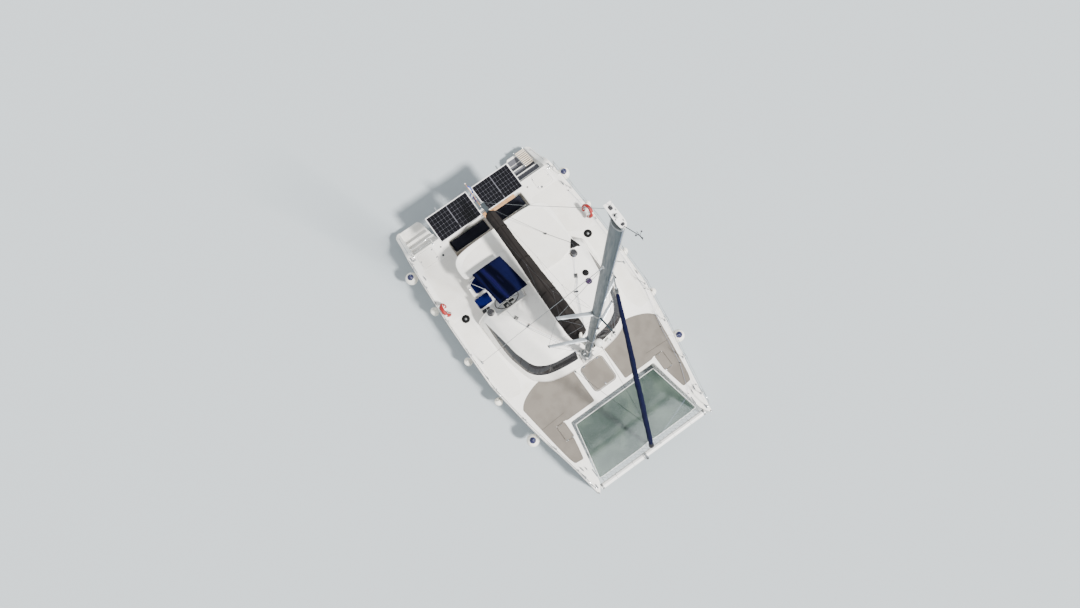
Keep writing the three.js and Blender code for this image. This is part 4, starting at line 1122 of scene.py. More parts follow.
def deck_hatch(name, x0, x1, y0, y1, z, body, node_name, slotn, mat_top, frame_mat, rr=0.06, hinge_side=None):
    cx, cy, w, h = (x0 + x1) / 2, (y0 + y1) / 2, x1 - x0, y1 - y0
    P = Part()
    P.add(slab(rrect(w, h, rr, 6) + (cx, cy), z, z - 0.034, 0.008, 3, rb=0.004), frame_mat)
    bd = 0.07 if mat_top is not NONSKID else 0.014
    P.add(slab(rrect(w - bd, h - bd, rr - bd * 0.4, 6) + (cx, cy), z + 0.003, z - 0.004, 0.003, 2), mat_top)
    for t in (-0.3, 0.3):
        if hinge_side == "x1":
            P.add(rbox((x1 - 0.012, cy + t * h, z + 0.004), (0.05, 0.045, 0.012), 0.004), STEEL)
        elif hinge_side == "yin":
            yy = y0 if abs(y0) < abs(y1) else y1
            P.add(rbox((cx + t * w, yy + math.copysign(0.032, cy), z + 0.004), (0.045, 0.05, 0.012), 0.004), STEEL)
    P.add(lathe([(0.02, -0.002), (0.02, 0.004), (0.001, 0.005)], 16, (x0 + 0.05 if hinge_side == "x1" else cx, cy if hinge_side == "x1" else (y1 if abs(y1) > abs(y0) else y0) - math.copysign(0.035, cy), z + 0.004)), STEEL)
    P.make(name, body, slotn, [node_name])


for nm, sg in sides():
    deck_hatch(f"{nm}_bow_hatch_lid", 3.30, 3.90, *sorted((sg * 1.93, sg * 2.25)), 1.654, f"{nm}_bow_hatch", f"{nm}_bow_hatch", "nonskid", NONSKID, NONSKID, hinge_side="x1")
    deck_hatch(f"{nm}_engine_hatch_lid", -4.50, -3.94, *sorted((sg * 2.19, sg * 2.81)), 1.655, f"{nm}_engine_hatch", f"{nm}_engine_hatch", "gelcoat", WHITE_NS, GEL_DECK, rr=0.09, hinge_side="yin")

# ------------------------------------------------------------------ coachroof
RR = {1.65: [(2.120, 0), (2.090, .720), (1.990, 1.300), (1.810, 1.700), (1.500, 2.000), (.980, 2.190), (.220, 2.330), (-1.520, 2.400)],
      2.11: [(1.900, 0), (1.860, .700), (1.765, 1.270), (1.620, 1.640), (1.350, 1.930), (.900, 2.090), (.220, 2.210), (-1.520, 2.270)],
      2.50: [(1.625, 0), (1.595, .560), (1.530, 1.060), (1.410, 1.390), (1.190, 1.660), (.800, 1.830), (.200, 1.970), (-1.520, 2.060)],
      2.64: [(1.480, 0), (1.455, .520), (1.390, .970), (1.270, 1.270), (1.050, 1.520), (.700, 1.690), (.150, 1.830), (-1.520, 1.920)],
      2.735: [(.900, 0), (.880, .300), (.830, .560), (.740, .740), (.600, .880), (.380, .960), (.050, 1.020), (-1.520, 1.080)]}
RZ = sorted(RR)
cols = []
for z in RZ:
    p = np.array(RR[z])
    full = np.vstack([p[::-1] * (1, -1), p[1:]])
    c = crom(full, 7)
    cols.append(c)
cols = np.array(cols)  # level, column, xy
NC = cols.shape[1]
CX = [pchip(RZ, cols[:, j, 0]) for j in range(NC)]
CY = [pchip(RZ, cols[:, j, 1]) for j in range(NC)]


def roof_pt(j, z):
    return float(CX[j](z)), float(CY[j](z)), z


def roof_normal(j, z):
    a, b = max(0, j - 1), min(NC - 1, j + 1)
    t = np.subtract(roof_pt(b, z), roof_pt(a, z))
    v = np.subtract(roof_pt(j, min(2.735, z + 0.02)), roof_pt(j, z - 0.02))
    n = np.cross(t, v)
    return n / np.linalg.norm(n)


def band(j):
    """Lower and upper edge of the window band at a column; they meet at its aft tip."""
    x = cols[1, j, 0] * 0.5 + cols[2, j, 0] * 0.5
    u = (x + 0.90) / 1.1
    if u <= 0:
        return 2.26, 2.262
    w = min(1.0, u) ** 0.62
    return 2.26 - 0.135 * w, 2.262 + 0.222 * w


rows, tags = [], []
V, F = [], []
R = Part()
levels_lo = np.linspace(0, 1, 6)
grid = []
for j in range(NC):
    zl, zu = band(j)
    centre = abs(cols[1, j, 1]) < 0.27
    zs = [1.65 + (zl - 1.65) * t for t in levels_lo]
    kinds = ["w"] * 6
    inner_z = [zl + 0.007] + [zl + (zu - zl) * t for t in (0.25, 0.5, 0.75)] + [zu - 0.007]
    if zu - zl < 0.03:
        inner_z = list(np.linspace(zl, zu, 7)[1:-1])
    zs += inner_z
    zs += [zu]
    top = np.r_[np.linspace(zu, 2.60, 6)[1:], [2.64, 2.665, 2.69, 2.71, 2.725, 2.735]]
    zs += list(top)
    col = []
    for k, z in enumerate(zs):
        x, y, zz = roof_pt(j, z)
        if 6 <= k <= 10 and zu - zl > 0.03 and not centre:
            n = roof_normal(j, z)
            x, y, zz = x - n[0] * 0.011 * np.sign(n[0] * x + n[1] * y + 1e-9), y - n[1] * 0.011 * np.sign(n[0] * x + n[1] * y + 1e-9), zz
        col.append((x, y, zz))
    grid.append(col)
G = np.array(grid)
nr = G.shape[1]
# crown: rings drawn in toward the aft centre
crown = []
for s, z in ((0.86, 2.741), (0.68, 2.746), (0.48, 2.750), (0.28, 2.752), (0.06, 2.753)):
    c = G[:, -1].copy()
    c[:, 0] = -1.52 + (c[:, 0] + 1.52) * s
    c[:, 1] *= s
    c[:, 2] = z
    crown.append(c)
G2 = np.concatenate([G] + [c[:, None] for c in crown], 1)
nr2 = G2.shape[1]
V = G2.reshape(-1, 3)
faces, kinds = [], []
for j in range(NC - 1):
    zl, zu = band(j)
    zl2, zu2 = band(j + 1)
    mid = abs((cols[1, j, 1] + cols[1, j + 1, 1]) / 2)
    for k in range(nr2 - 1):
        faces.append((j * nr2 + k, (j + 1) * nr2 + k, (j + 1) * nr2 + k + 1, j * nr2 + k + 1))
        glass = 5 <= k <= 10 and (zu - zl > 0.012 or zu2 - zl2 > 0.012) and mid > 0.27
        kinds.append(GLASS if glass and 6 <= k <= 9 else (RUBBER if glass else GEL))
R.add((V, faces), GEL)
for mt in (GLASS, RUBBER):
    R.mats.append(mt)
R.m = [R.mats.index(q) for q in kinds]
# aft face over the doorway: closed by the bulkhead, so only the roof's thickness shows
aftl = [G2[0, k] for k in range(nr2)] + [G2[-1, k] for k in range(nr2 - 1, -1, -1)]
roof = R.make("coachroof_shell", "hull", "gelcoat", ["coachroof", "port_window", "starboard_window"], sharp=32, weighted=False, solid=0.0)
# the helm stands in a cut on the starboard side; only the roof's outer wing runs on a little past it
bm = bmesh.new()
bm.from_mesh(roof.data)
for co_, no_ in (((-0.84, 0, 0), (1, 0, 0)), ((0, -0.45, 0), (0, 1, 0)), ((0, -1.70, 0), (0, 1, 0)), ((-1.18, 0, 0), (1, 0, 0))):
    bmesh.ops.bisect_plane(bm, geom=bm.verts[:] + bm.edges[:] + bm.faces[:], dist=1e-6, plane_co=co_, plane_no=no_)
gone = []
for f in bm.faces:
    c = f.calc_center_median()
    if (c.x < -0.84 and -1.70 < c.y < -0.45) or (c.x < -1.18 and c.y < -1.70):
        gone.append(f)
bmesh.ops.delete(bm, geom=gone, context="FACES")
top_face = max(bm.faces, key=lambda f: f.calc_center_median().z)
if top_face.normal.z < 0:
    bmesh.ops.reverse_faces(bm, faces=bm.faces[:])
bm.to_mesh(roof.data)
bm.free()
roof.data.polygons.foreach_set("use_smooth", [True] * len(roof.data.polygons))
roof.data.set_sharp_from_angle(angle=math.radians(32))
roof.data.update()
thk = roof.modifiers.new("thick", "SOLIDIFY")
thk.thickness, thk.offset = 0.028, -1.0


ZG = np.linspace(1.65, 2.735, 420)
LG = np.stack([np.stack([CX[j](ZG), CY[j](ZG)], 1) for j in range(NC)], 1)  # level, column, xy


def roof_z(x, y):
    """Height of the coachroof's surface over a point of the plan."""
    lo_k, hi_k = 0, len(ZG) - 1
    while hi_k - lo_k > 1:
        k = (lo_k + hi_k) // 2
        if inside((x, y), LG[k].tolist()):
            lo_k = k
        else:
            hi_k = k
    return float(ZG[lo_k]) + (0.012 if ZG[lo_k] > 2.73 else 0.0)


# mullions and the wide dark seats between the panes
Mn = Part()
for sgn in (1, -1):
    for j in range(NC):
        pass
    for target in (-0.15, 0.62, 1.22, 1.56, 1.74):
        best = min((j for j in range(NC) if np.sign(cols[1, j, 1]) == sgn), key=lambda j: abs(cols[1, j, 0] - target))
        zl, zu = band(best)
        if abs(cols[1, best, 1]) < 0.3:
            continue
        path = []
        for z in np.linspace(zl - 0.002, zu + 0.002, 7):
            n = roof_normal(best, z)
            q = np.array(roof_pt(best, z))
            if n[0] * q[0] + n[1] * q[1] < 0:
                n = -n
            path.append(q - n * 0.006)
        Mn.add(tube(path, 0.014, 6, flat=0.6), RUBBER)
# a fine white crease line below the band and a drip edge above it
for off, r in ((-0.035, 0.006), (0.03, 0.007)):
    path = []
    for j in range(6, NC - 6):
        zl, zu = band(j)
        z = (zl if off < 0 else zu) + off
        q = np.array(roof_pt(j, z))
        path.append(q)
    Mn.add(tube(path, r, 6), GEL)
Mn.make("coachroof_mullions", "hull", "black_grip")
# walls between the helm's cut and the roof over it, and the lip along the cut's edge
P = Part()
rings = []
for y in np.linspace(-0.450, -1.96, 34):
    zt = roof_z(-0.835, y) - 0.010
    rings.append([(-0.855, y, 2.26), (-0.852, y, zt), (-0.815, y, zt), (-0.815, y, 2.26)])
P.add(loft(np.array(rings)), GEL)
rings = []
for x in np.linspace(-1.50, -0.82, 14):
    zt = roof_z(x, -0.44) - 0.010
    rings.append([(x, -0.462, 2.52), (x, -0.458, zt), (x, -0.432, zt), (x, -0.432, 2.52)])
P.add(loft(np.array(rings)), GEL)
lip = [(-0.836, y, roof_z(-0.836, y) - 0.004) for y in np.linspace(-1.70, -0.46, 26)] + [(x, -0.450, roof_z(x, -0.45) - 0.004) for x in np.linspace(-0.86, -1.46, 10)]
P.add(tube(lip, 0.011, 8), GEL)
wing = [(-1.18, CYq, zq) for CYq, zq in [(-max(CY[j](z) for j in range(NC) if abs(float(CX[j](z)) + 1.18) < 0.09), z) for z in np.linspace(1.66, 2.60, 16)]]
P.add(tube(wing, 0.017, 10), GEL)
P.make("helm_cut_walls", "hull", "gelcoat")
# mast plinth
pl = np.array([[(2.10, -.23), (2.14, 0), (2.10, .23), (1.30, .30), (1.30, -.30)], [(2.08, -.17), (2.11, 0), (2.08, .17), (1.30, .26), (1.30, -.26)]])
P = Part()
lo_, hi_ = pl
o0 = crom(lo_[[0, 1, 2]], 5)
o1 = crom(hi_[[0, 1, 2]], 5)
base = np.vstack([o0, lo_[3:4], lo_[4:5]])
topp = np.vstack([o1, hi_[3:4], hi_[4:5]])
rings = []
for t, d in ((0, 0), (0.35, 0), (0.7, 0), (0.96, 0), (0.985, 0.012), (1.0, 0.035)):
    ring = base + (topp - base) * t
    ring = offset(ring, d) if d else ring
    rings.append(np.c_[ring, np.full(len(ring), 1.65 + 0.70 * t)])
P.add(loft(np.array(rings)), GEL)
P.add(slab(circ(0.20, 28, (1.94, 0)), 2.366, 2.345, 0.006, 2), CAST)
P.make("mast_plinth", "hull", "gelcoat")

# floor under everything, at the waterline
me = bpy.data.meshes.new("studio_floor")
s = 260.0
me.from_pydata([(-s, -s, 0), (s, -s, 0), (s, s, 0), (-s, s, 0)], [], [(0, 1, 2, 3)])
me.materials.append(FLOORM)
floor = bpy.data.objects.new("studio_floor", me)
bpy.context.scene.collection.objects.link(floor)

# ------------------------------------------------------------------ hardtop over the cockpit
def mirror_loop(half):
    return [tuple(q) for q in half] + [(x, -y) for x, y in half[::-1]]


HT = [(-1.18, 1.90), (-2.90, 1.93), (-3.15, 1.85), (-3.31, 1.64), (-3.38, 1.20), (-3.40, 0.55)]
ht_port = crom(HT[1:], 5)
loop = [(-1.18, 1.90), (-1.6, 1.905), (-2.0, 1.912), (-2.4, 1.92)] + [tuple(q) for q in ht_port]
star = [(x, -y) for x, y in ht_port[::-1]]
loop += [(-3.402, 0.3), (-3.403, 0.0), (-3.402, -0.3)] + star
# the helm's notch, starboard, with rounded corners
loop += [(-2.75, -1.925), (-2.62, -1.92), (-2.545, -1.90), (-2.49, -1.86), (-2.46, -1.80), (-2.45, -1.72), (-2.45, -0.62), (-2.44, -0.53), (-2.40, -0.47), (-2.32, -0.44), (-1.18, -0.44)]
loop = np.array(loop)
if area2(loop) < 0:
    loop = loop[::-1]
keep = [0]
for i in range(1, len(loop)):
    if np.linalg.norm(loop[i] - loop[keep[-1]]) > 0.004:
        keep.append(i)
loop = loop[keep]
P = Part()


def ht_z(x, y):
    """A light camber, lower at the edges."""
    return 0.012 * (1 - (y / 1.9) ** 2) - 0.010 * smooth((-x - 2.6) / 0.8)


P.add(slab(loop, 2.846, 2.762, 0.034, 4, zf=ht_z, rb=0.02), GEL)
P.make("hardtop_shell", "hull", "gelcoat", ["hardtop"], sharp=30)
# raised field on the hardtop with a soft edge
P = Part()
fld = np.array([(-1.30, 1.72), (-2.85, 1.74), (-3.05, 1.62), (-3.17, 1.40), (-3.22, 1.0), (-3.23, 0.0), (-3.20, -1.0), (-3.12, -1.42), (-2.98, -1.66), (-2.80, -1.74),
                (-2.66, -1.72), (-2.60, -1.62), (-2.60, -0.50), (-2.54, -0.34), (-2.42, -0.28), (-1.30, -0.28)])
o = []
for q in crom(fld, 3, closed=True):
    o.append(q)
P.add(slab(np.array(o), 2.853, 2.83, 0.006, 2, zf=ht_z), WHITE_NS)
P.make("hardtop_nonskid", "hull", "gelcoat")
# pillars that carry it
P = Part()
for sx, sy in ((-3.04, 1.69), (-3.04, -1.69)):
    P.add(tube([(sx, sy, 1.655), (sx, sy, 1.9), (sx, sy, 2.3), (sx, sy, 2.77)], 0.037, 16), ALLOY_W)
    P.add(lathe([(0.07, 0), (0.07, 0.008), (0.045, 0.02), (0.04, 0.03)], 20, (sx, sy, 1.652)), STEEL)
    P.add(lathe([(0.04, -0.03), (0.06, -0.012), (0.07, 0.0)], 20, (sx, sy, 2.764)), STEEL)
P.make("hardtop_pillars", "hull", "white_alloy")

# ------------------------------------------------------------------ solar panels, stern arch, plank
PX = (-5.15, -4.10)
for nm, y0, y1 in (("starboard", -1.81, -0.095), ("port", 0.13, 1.66)):
    P = Part()
    cx, cy, w, h = (PX[0] + PX[1]) / 2, (y0 + y1) / 2, PX[1] - PX[0], y1 - y0
    P.add(slab(rrect(w, h, 0.008, 2) + (cx, cy), 2.603, 2.565, 0.003, 2, holes=(rrect(w - 0.05, h - 0.05, 0.006, 2) + (cx, cy),)), ALLOY_W)
    P.add(slab(rrect(w - 0.049, h - 0.049, 0.004, 1) + (cx, cy), 2.5975, 2.590, 0.0), CELLGRID)
    nx, ny = 6, 12
    gx, gy = (w - 0.075) / nx, (h - 0.105) / ny
    for i in range(nx):
        for j in range(ny):
            x = PX[0] + 0.0375 + gx * (i + 0.5)
            y = y0 + 0.0375 + gy * (j + 0.5) + (0.030 if j >= ny / 2 else 0.0)
            c = 0.009
            a, b = gx / 2 - 0.0027, gy / 2 - 0.0027
            o = [(a, -b + c), (a, b - c), (a - c, b), (-a + c, b), (-a, b - c), (-a, -b + c), (-a + c, -b), (a - c, -b)]
            n0 = [(x + q[0], y + q[1], 2.5992) for q in o]
            P.add((np.array(n0), [tuple(range(8))]), CELL)
    P.add(rbox((cx + w * 0.3, cy, 2.585), (0.12, 0.16, 0.028), 0.006), BLACK)
    P.make(f"{nm}_solar_module", "hull", "solar_cell", [f"{nm}_solar_panel"], recalc=False)

A = Part()
for x in (-4.95, -4.30):
    A.add(tube([(x, y, 2.535) for y in np.linspace(-1.75, 1.62, 12)], 0.022, 16), STEEL)
for y in (-1.3, 1.3):
    A.add(tube(crom([(-4.48, y, 1.655), (-4.455, y, 1.95), (-4.42, y, 2.30), (-4.40, y, 2.52)], 4), 0.026, 16), STEEL)
    A.add(tube([(-4.24, y, 2.535), (-4.8, y, 2.535), (-5.30, y, 2.535)], 0.026, 16), STEEL)
    A.add(tube([(-4.50, y, 1.72), (-4.8, y, 2.13), (-5.10, y, 2.53)], 0.020, 14), STEEL)
    A.add(ball((-5.30, y, 2.535), 0.027, 12, 6), STEEL)
    A.add(ball((-4.24, y, 2.535), 0.027, 12, 6), STEEL)
    A.add(slab(rrect(0.14, 0.12, 0.03, 4) + (-4.48, y), 1.660, 1.651, 0.003, 2), STEEL)
    for dx, dy in ((0.05, 0.04), (-0.05, 0.04), (0.05, -0.04), (-0.05, -0.04)):
        A.add(lathe([(0.009, 0), (0.009, 0.004), (0.004, 0.007), (0.0005, 0.007)], 10, (-4.48 + dx, y + dy, 1.660)), STEEL)
    # a small block hanging from the davit's end
    A.add(tube([(-5.24, y, 2.51), (-5.24, y, 2.44)], 0.006, 6), STEEL)
    A.add(rbox((-5.24, y, 2.41), (0.05, 0.02, 0.07), 0.008), BLACK)
for x in (-4.95, -4.30):
    for y in (-1.72, -0.95, -0.18, 0.22, 0.9, 1.58):
        A.add(rbox((x, y, 2.560), (0.06, 0.045, 0.016), 0.004), CAST)
A.add(tube([(-4.40, 0.0, 1.655), (-4.345, 0.03, 1.89)], 0.014, 10), STEEL)
A.add(tube([(-4.46, 1.3, 1.87), (-4.30, 1.3, 1.87)], 0.014, 10), STEEL)
A.make("stern_arch_tubes", "hull", "stainless", ["stern_arch"])
P = Part()
for k in range(3):
    x0 = -4.345 + k * 0.060
    P.add(rbox((x0 + 0.0285, 0.645, 1.8925), (0.056, 1.33, 0.025), 0.006), TEAKY)
for y in (0.12, 1.18):
    P.add(rbox((-4.255, y, 1.876), (0.17, 0.05, 0.012), 0.004), STEEL)
P.make("teak_plank", "hull", "teak")

# flag on a short staff between the panels: plain blue and white stripes, hanging limp
st0, st1 = np.array((-4.42, 0.035, 2.56)), np.array((-5.17, 0.0, 3.10))
P = Part()
P.add(tube([st0, (st0 + st1) / 2, st1 + (st1 - st0) * 0.03], 0.011, 10), TEAK)
P.add(ball(tuple(st1 + (st1 - st0) * 0.045), 0.022, 12, 7), ALLOY_W)
P.add(rbox(tuple(st0 + (0.0, 0.0, -0.01)), (0.07, 0.05, 0.05), 0.01), STEEL)
P.make("flag_staff", "hull", "teak")
hoist, fly, nh, nf = 0.66, 0.82, 55, 40
dirn = (st0 - st1) / np.linalg.norm(st0 - st1)
top0 = st1 + dirn * 0.03
rowsP = []
for iv in range(nf):
    v = iv / (nf - 1)
    wid = hoist * (1 - 0.30 * smooth(v / 0.5))  # gathers as it hangs
    # folds: find the amplitude that keeps the cloth's length
    u = np.linspace(0, 1, nh)
    ph = 2.2 * PI * u + 0.9 * v + 0.5 * np.sin(3 * v) + 0.6
    lo_a, hi_a = 0.0, 0.3
    for _ in range(30):
        am = (lo_a + hi_a) / 2
        yy = am * np.sin(ph) * (0.7 + 0.3 * np.sin(9 * u + 2))
        ln = np.sum(np.hypot(np.diff(u) * wid, np.diff(yy)))
        if ln < hoist:
            lo_a = am
        else:
            hi_a = am
    base = top0 + np.outer(u * hoist, dirn)
    mid = top0 + dirn * hoist * 0.5
    x = mid[0] + (base[:, 0] - mid[0]) * wid / hoist
    z = base[:, 2] - fly * v * 0.985
    z = z + (mid[2] - base[:, 2]) * smooth(v) * 0.35
    y = np.interp(u, [0, 1], [top0[1], top0[1] + 0.02]) + yy + 0.012 * smooth(v)
    rowsP.append(np.stack([x, y, z], 1))
V, F = loft(np.array(rowsP), closed_v=False)
Fl = Part()
faces_b, faces_w = [], []
for k, f in enumerate(F):
    col = k % (nh - 1)
    (faces_b if int(col / (nh - 1) * 9) % 2 == 0 else faces_w).append(f)
Fl.mats = [FLAGB, FLAGW]
Fl.V, Fl.F, Fl.m, Fl.n = [V], faces_b + faces_w, [0] * len(faces_b) + [1] * len(faces_w), len(V)
flag = Fl.make("striped_flag", "hull", None, sharp=60, recalc=False, weighted=False)

# ------------------------------------------------------------------ boom, sail bag, the sail's folded head
B = Part()
sec_b = []
for x in np.r_[np.linspace(-4.05, 1.655, 16)]:
    o = rrect(0.130, 0.195, 0.045, 5)
    sec_b.append(np.c_[np.full(len(o), x), o[:, 0], o[:, 1] + 3.8775])
B.add(loft(np.array(sec_b)), ANOD_X)
B.add(rbox((-4.045, 0, 3.8775), (0.05, 0.137, 0.202), 0.03), CAST)
B.add(rbox((1.64, 0, 3.8775), (0.06, 0.137, 0.202), 0.03), CAST)
B.add(rod((-4.05, -0.03, 3.83), (-4.05, 0.03, 3.83), 0.03, 14), BLACK)
for s_ in (-1, 1):
    B.add(rbox((1.682, s_ * 0.023, 3.8775), (0.060, 0.010, 0.088), 0.004), STEEL)
    B.add(tube([(x, s_ * 0.066, 3.83) for x in (-3.9, -2.0, 0, 1.55)], 0.006, 6), BLACK)
    for x in (-2.9, -0.9, 1.1):
        B.add(rbox((x, s_ * 0.068, 3.80), (0.06, 0.012, 0.04), 0.005), STEEL)
B.add(lathe([(0.0135, -0.044), (0.0215, -0.044), (0.0215, 0.044), (0.0135, 0.044), (0.0135, -0.044)], 24, (1.700, 0, 3.8775), cap=False), STEEL)
for x in (-2.95, -2.60, -2.25):
    B.add(tube(crom([(x, -0.03, 3.785), (x, -0.02, 3.745), (x, 0.02, 3.745), (x, 0.03, 3.785)], 4), 0.006, 6), STEEL)
B.make("boom_section", "boom", "anodised_alloy", ["boom"])

BAG = np.array([[-3640, 120, 4120], [-3500, 190, 4270], [-2200, 214, 4385], [-1200, 252, 4450], [-400, 290, 4505], [400, 316, 4560], [1200, 320, 4625], [1450, 284, 4640], [1540, 160, 4600]], float) / 1000
bw, bt = pchip(BAG[:, 0], BAG[:, 1]), pchip(BAG[:, 0], BAG[:, 2])
ang = np.linspace(0, 2 * PI, 44, endpoint=False)
ringsB = []
for i, x in enumerate(np.r_[-3.64, -3.635, np.linspace(-3.62, 1.50, 150), 1.52, 1.535, 1.54]):
    w, t = float(bw(x)), float(bt(x))
    h = t - 3.978
    ends = min(1.0, ((x + 3.66) / 0.10) ** 0.5 if x < -3.56 else 1.0, ((1.56 - x) / 0.08) ** 0.5 if x > 1.48 else 1.0)
    # battens gather the cloth each 1.25 m, and it bellies between them
    bat = 0.5 + 0.5 * math.cos(2 * PI * (x + 3.5) / 1.25)
    belly = 1.0 - 0.022 * bat ** 6
    cs, sn = np.cos(ang), np.sin(ang)
    yy = np.sign(cs) * np.abs(cs) ** 0.80 * w * belly * (0.86 + 0.14 * np.clip(-sn * 0.3 + 0.7, 0, 1)) * ends
    sn2 = np.sign(sn) * np.abs(sn) ** 0.9
    zz = 3.985 + (h * 0.42 + h * 0.42 * sn2 + 0.16 * h * np.clip(sn, 0, 1) ** 4) * (0.7 + 0.3 * ends)
    # wrinkles running down from the zip and long slack folds low on the sides
    wr = 0.0035 * np.sin(31 * x + 3 * np.sin(5 * x) + 2.2 * sn) * np.clip(sn + 0.4, 0, 1) + 0.008 * np.sin(4.3 * x + 1.3 * cs) * np.clip(0.8 - sn, 0, 1) * 0.6
    wr += 0.0025 * np.sin(17 * x - 4 * zz)
    yy = yy + np.sign(cs) * wr
    zz = np.maximum(zz + 0.35 * wr, 3.979)
    ringsB.append(np.stack([np.full_like(yy, x), yy, zz], 1))
Bg = Part()
Bg.add(loft(np.array(ringsB)), GREYC)
bag_obj = Bg.make("sail_bag_canvas", "boom", "grey_canvas", ["sail_bag"], sharp=70, weighted=False)
T = Part()


def bag_top(x):
    i = int(np.argmin([abs(r[0, 0] - x) for r in ringsB]))
    k = int(np.argmax(ringsB[i][:, 2]))
    return ringsB[i][k]


zp = np.array([bag_top(x) for x in np.linspace(-3.5, 1.42, 90)])
zp[:, 1] = 0
T.add(tube(zp + (0, 0, 0.004), 0.011, 6, flat=0.5), BAGTRIM)  # the zip along the top
for k in range(4):  # bands at the lazyjacks, both sides
    x = -2.9 + k * 1.32
    i = int(np.argmin([abs(r[0, 0] - x) for r in ringsB]))
    ring = ringsB[i]
    for sg in (1, -1):
        sel = [q for q in ring if q[1] * sg > 0.02]
        sel = sorted(sel, key=lambda q: q[2])
        path = np.array(sel)
        path[:, 1] += sg * 0.003
        for dx in (-0.016, -0.008, 0.0, 0.008, 0.016):
            T.add(tube(path + (dx, 0, 0), 0.0052, 5), BAGTRIM)
for sg in (1, -1):
    for off in (0.30, 0.62):  # long seams
        path = []
        for r in ringsB[6:-6:2]:
            zt = 3.985 + (r[:, 2].max() - 3.985) * off
            sel = [q for q in r if q[1] * sg > 0.01]
            q = min(sel, key=lambda q: abs(q[2] - zt))
            path.append((q[0], q[1] + sg * 0.0015, q[2]))
        T.add(tube(path, 0.004, 5), GREYC)
T.make("sail_bag_trim", "boom", "black_grip")

# the sail's head and luff folded up against the mast, off-white
S = Part()
for k in range(11):
    z = 4.02 + 0.072 * k
    amp = 0.05 + 0.015 * math.sin(k * 2.1)
    pts = []
    n = 26
    for i in range(n):
        t = i / (n - 1)
        x = 1.80 - 0.34 * t - 0.02 * math.sin(k)
        y = amp * math.sin(PI * (t * 1.15 + k)) * (0.4 + 0.9 * t) * (1 if k % 2 else -1)
        pts.append((x, y, z + 0.03 * math.sin(2.4 * t + k) + 0.05 * t))
    S.add(tube(pts, np.interp(np.linspace(0, 1, n), [0, 0.1, 0.85, 1], [0.020, 0.040, 0.046, 0.02]), 10, flat=0.9), SAILC)
stack = S.make("folded_sail_head", "boom", None, sharp=70, weighted=False)

# ------------------------------------------------------------------ mast and what it carries
MX, MA, MB = 1.94, 0.13, 0.082
Mt = Part()
a = np.linspace(0, 2 * PI, 32, endpoint=False)
rings = []
for z in np.r_[2.35, np.linspace(2.6, 18.3, 34), 18.48]:
    rings.append(np.stack([MX + MA * np.cos(a), MB * np.sin(a), np.full(32, z)], 1))
Mt.add(loft(np.array(rings)), ANOD)
trk = []
for z in (4.15, 8.0, 12.0, 16.0, 18.40):
    o = rrect(0.026, 0.034, 0.006, 2)
    trk.append(np.c_[o[:, 0] + MX - MA - 0.008, o[:, 1], np.full(len(o), z)])
Mt.add(loft(np.array(trk)), CAST)
trk = []
for z in (4.15, 8.0, 12.0, 16.0, 18.40):  # the track's slot: a black strip that stands in for its shaded inside, painted shade
    o = rrect(0.004, 0.012, 0.001, 1)
    trk.append(np.c_[o[:, 0] + MX - MA - 0.022, o[:, 1], np.full(len(o), z)])
Mt.add(loft(np.array(trk)), BLACK)
# masthead crane: two side plates, sheaves between them, a cap
for sg in (1, -1):
    o = np.array([(1.645, 18.60), (1.70, 18.55), (1.80, 18.42), (2.05, 18.40), (2.085, 18.58), (2.085, 18.675), (1.645, 18.675)])
    V, F = slab(np.c_[o[:, 0], o[:, 1]], sg * 0.034 + 0.005, sg * 0.034 - 0.005, 0.002, 2)
    V = V[:, [0, 2, 1]]
    Mt.add((V, F), ANOD_X)
cap_o = np.array([(1.645, -0.066), (1.98, -0.07), (2.05, -0.060), (2.088, -0.030), (2.098, 0.0), (2.088, 0.030), (2.05, 0.060), (1.98, 0.07), (1.645, 0.066)])
Mt.add(slab(cap_o, 18.677, 18.660, 0.004, 2), ALLOY_W)
for cx_, cw_ in ((1.735, 0.075), (1.865, 0.045), (2.03, 0.05)):  # openings over the sheaves
    Mt.add(slab(rrect(cw_, 0.062, 0.02, 4) + (cx_, 0), 18.6782, 18.670, 0.001, 1), BLACK)
Mt.add(slab(np.stack([MX + (MA + 0.006) * np.cos(a), (MB + 0.006) * np.sin(a)], 1), 18.50, 18.44, 0.006, 2), CAST)
for x, z in ((1.70, 18.62), (1.80, 18.62), (2.04, 18.61)):
    Mt.add(move(lathe([(0.05, -0.014), (0.052, -0.006), (0.043, 0.0), (0.052, 0.006), (0.05, 0.014)], 22), np.array(Matrix.Translation((x, 0, z)) @ Matrix.Rotation(PI / 2, 4, "X"))), BLACK)
    Mt.add(rod((x, -0.045, z), (x, 0.045, z), 0.009, 8), STEEL)
# gooseneck
Mt.add(rbox((1.800, 0, 3.8775), (0.09, 0.05, 0.150), 0.008), STEEL)
for dz in (-0.058, 0.058):
    Mt.add(rbox((1.745, 0, 3.8775 + dz), (0.120, 0.036, 0.012), 0.004), STEEL)
    Mt.add(lathe([(0.017, -0.006), (0.019, -0.002), (0.019, 0.002), (0.017, 0.006)], 20, (1.700, 0, 3.8775 + dz * 1.16)), STEEL)
Mt.add(rod((1.70, 0, 3.806), (1.70, 0, 3.949), 0.011, 14), STEEL)
Mt.add(slab(np.stack([MX + (MA + 0.005) * np.cos(a), (MB + 0.005) * np.sin(a)], 1), 3.96, 3.80, 0.004, 2), STEEL)
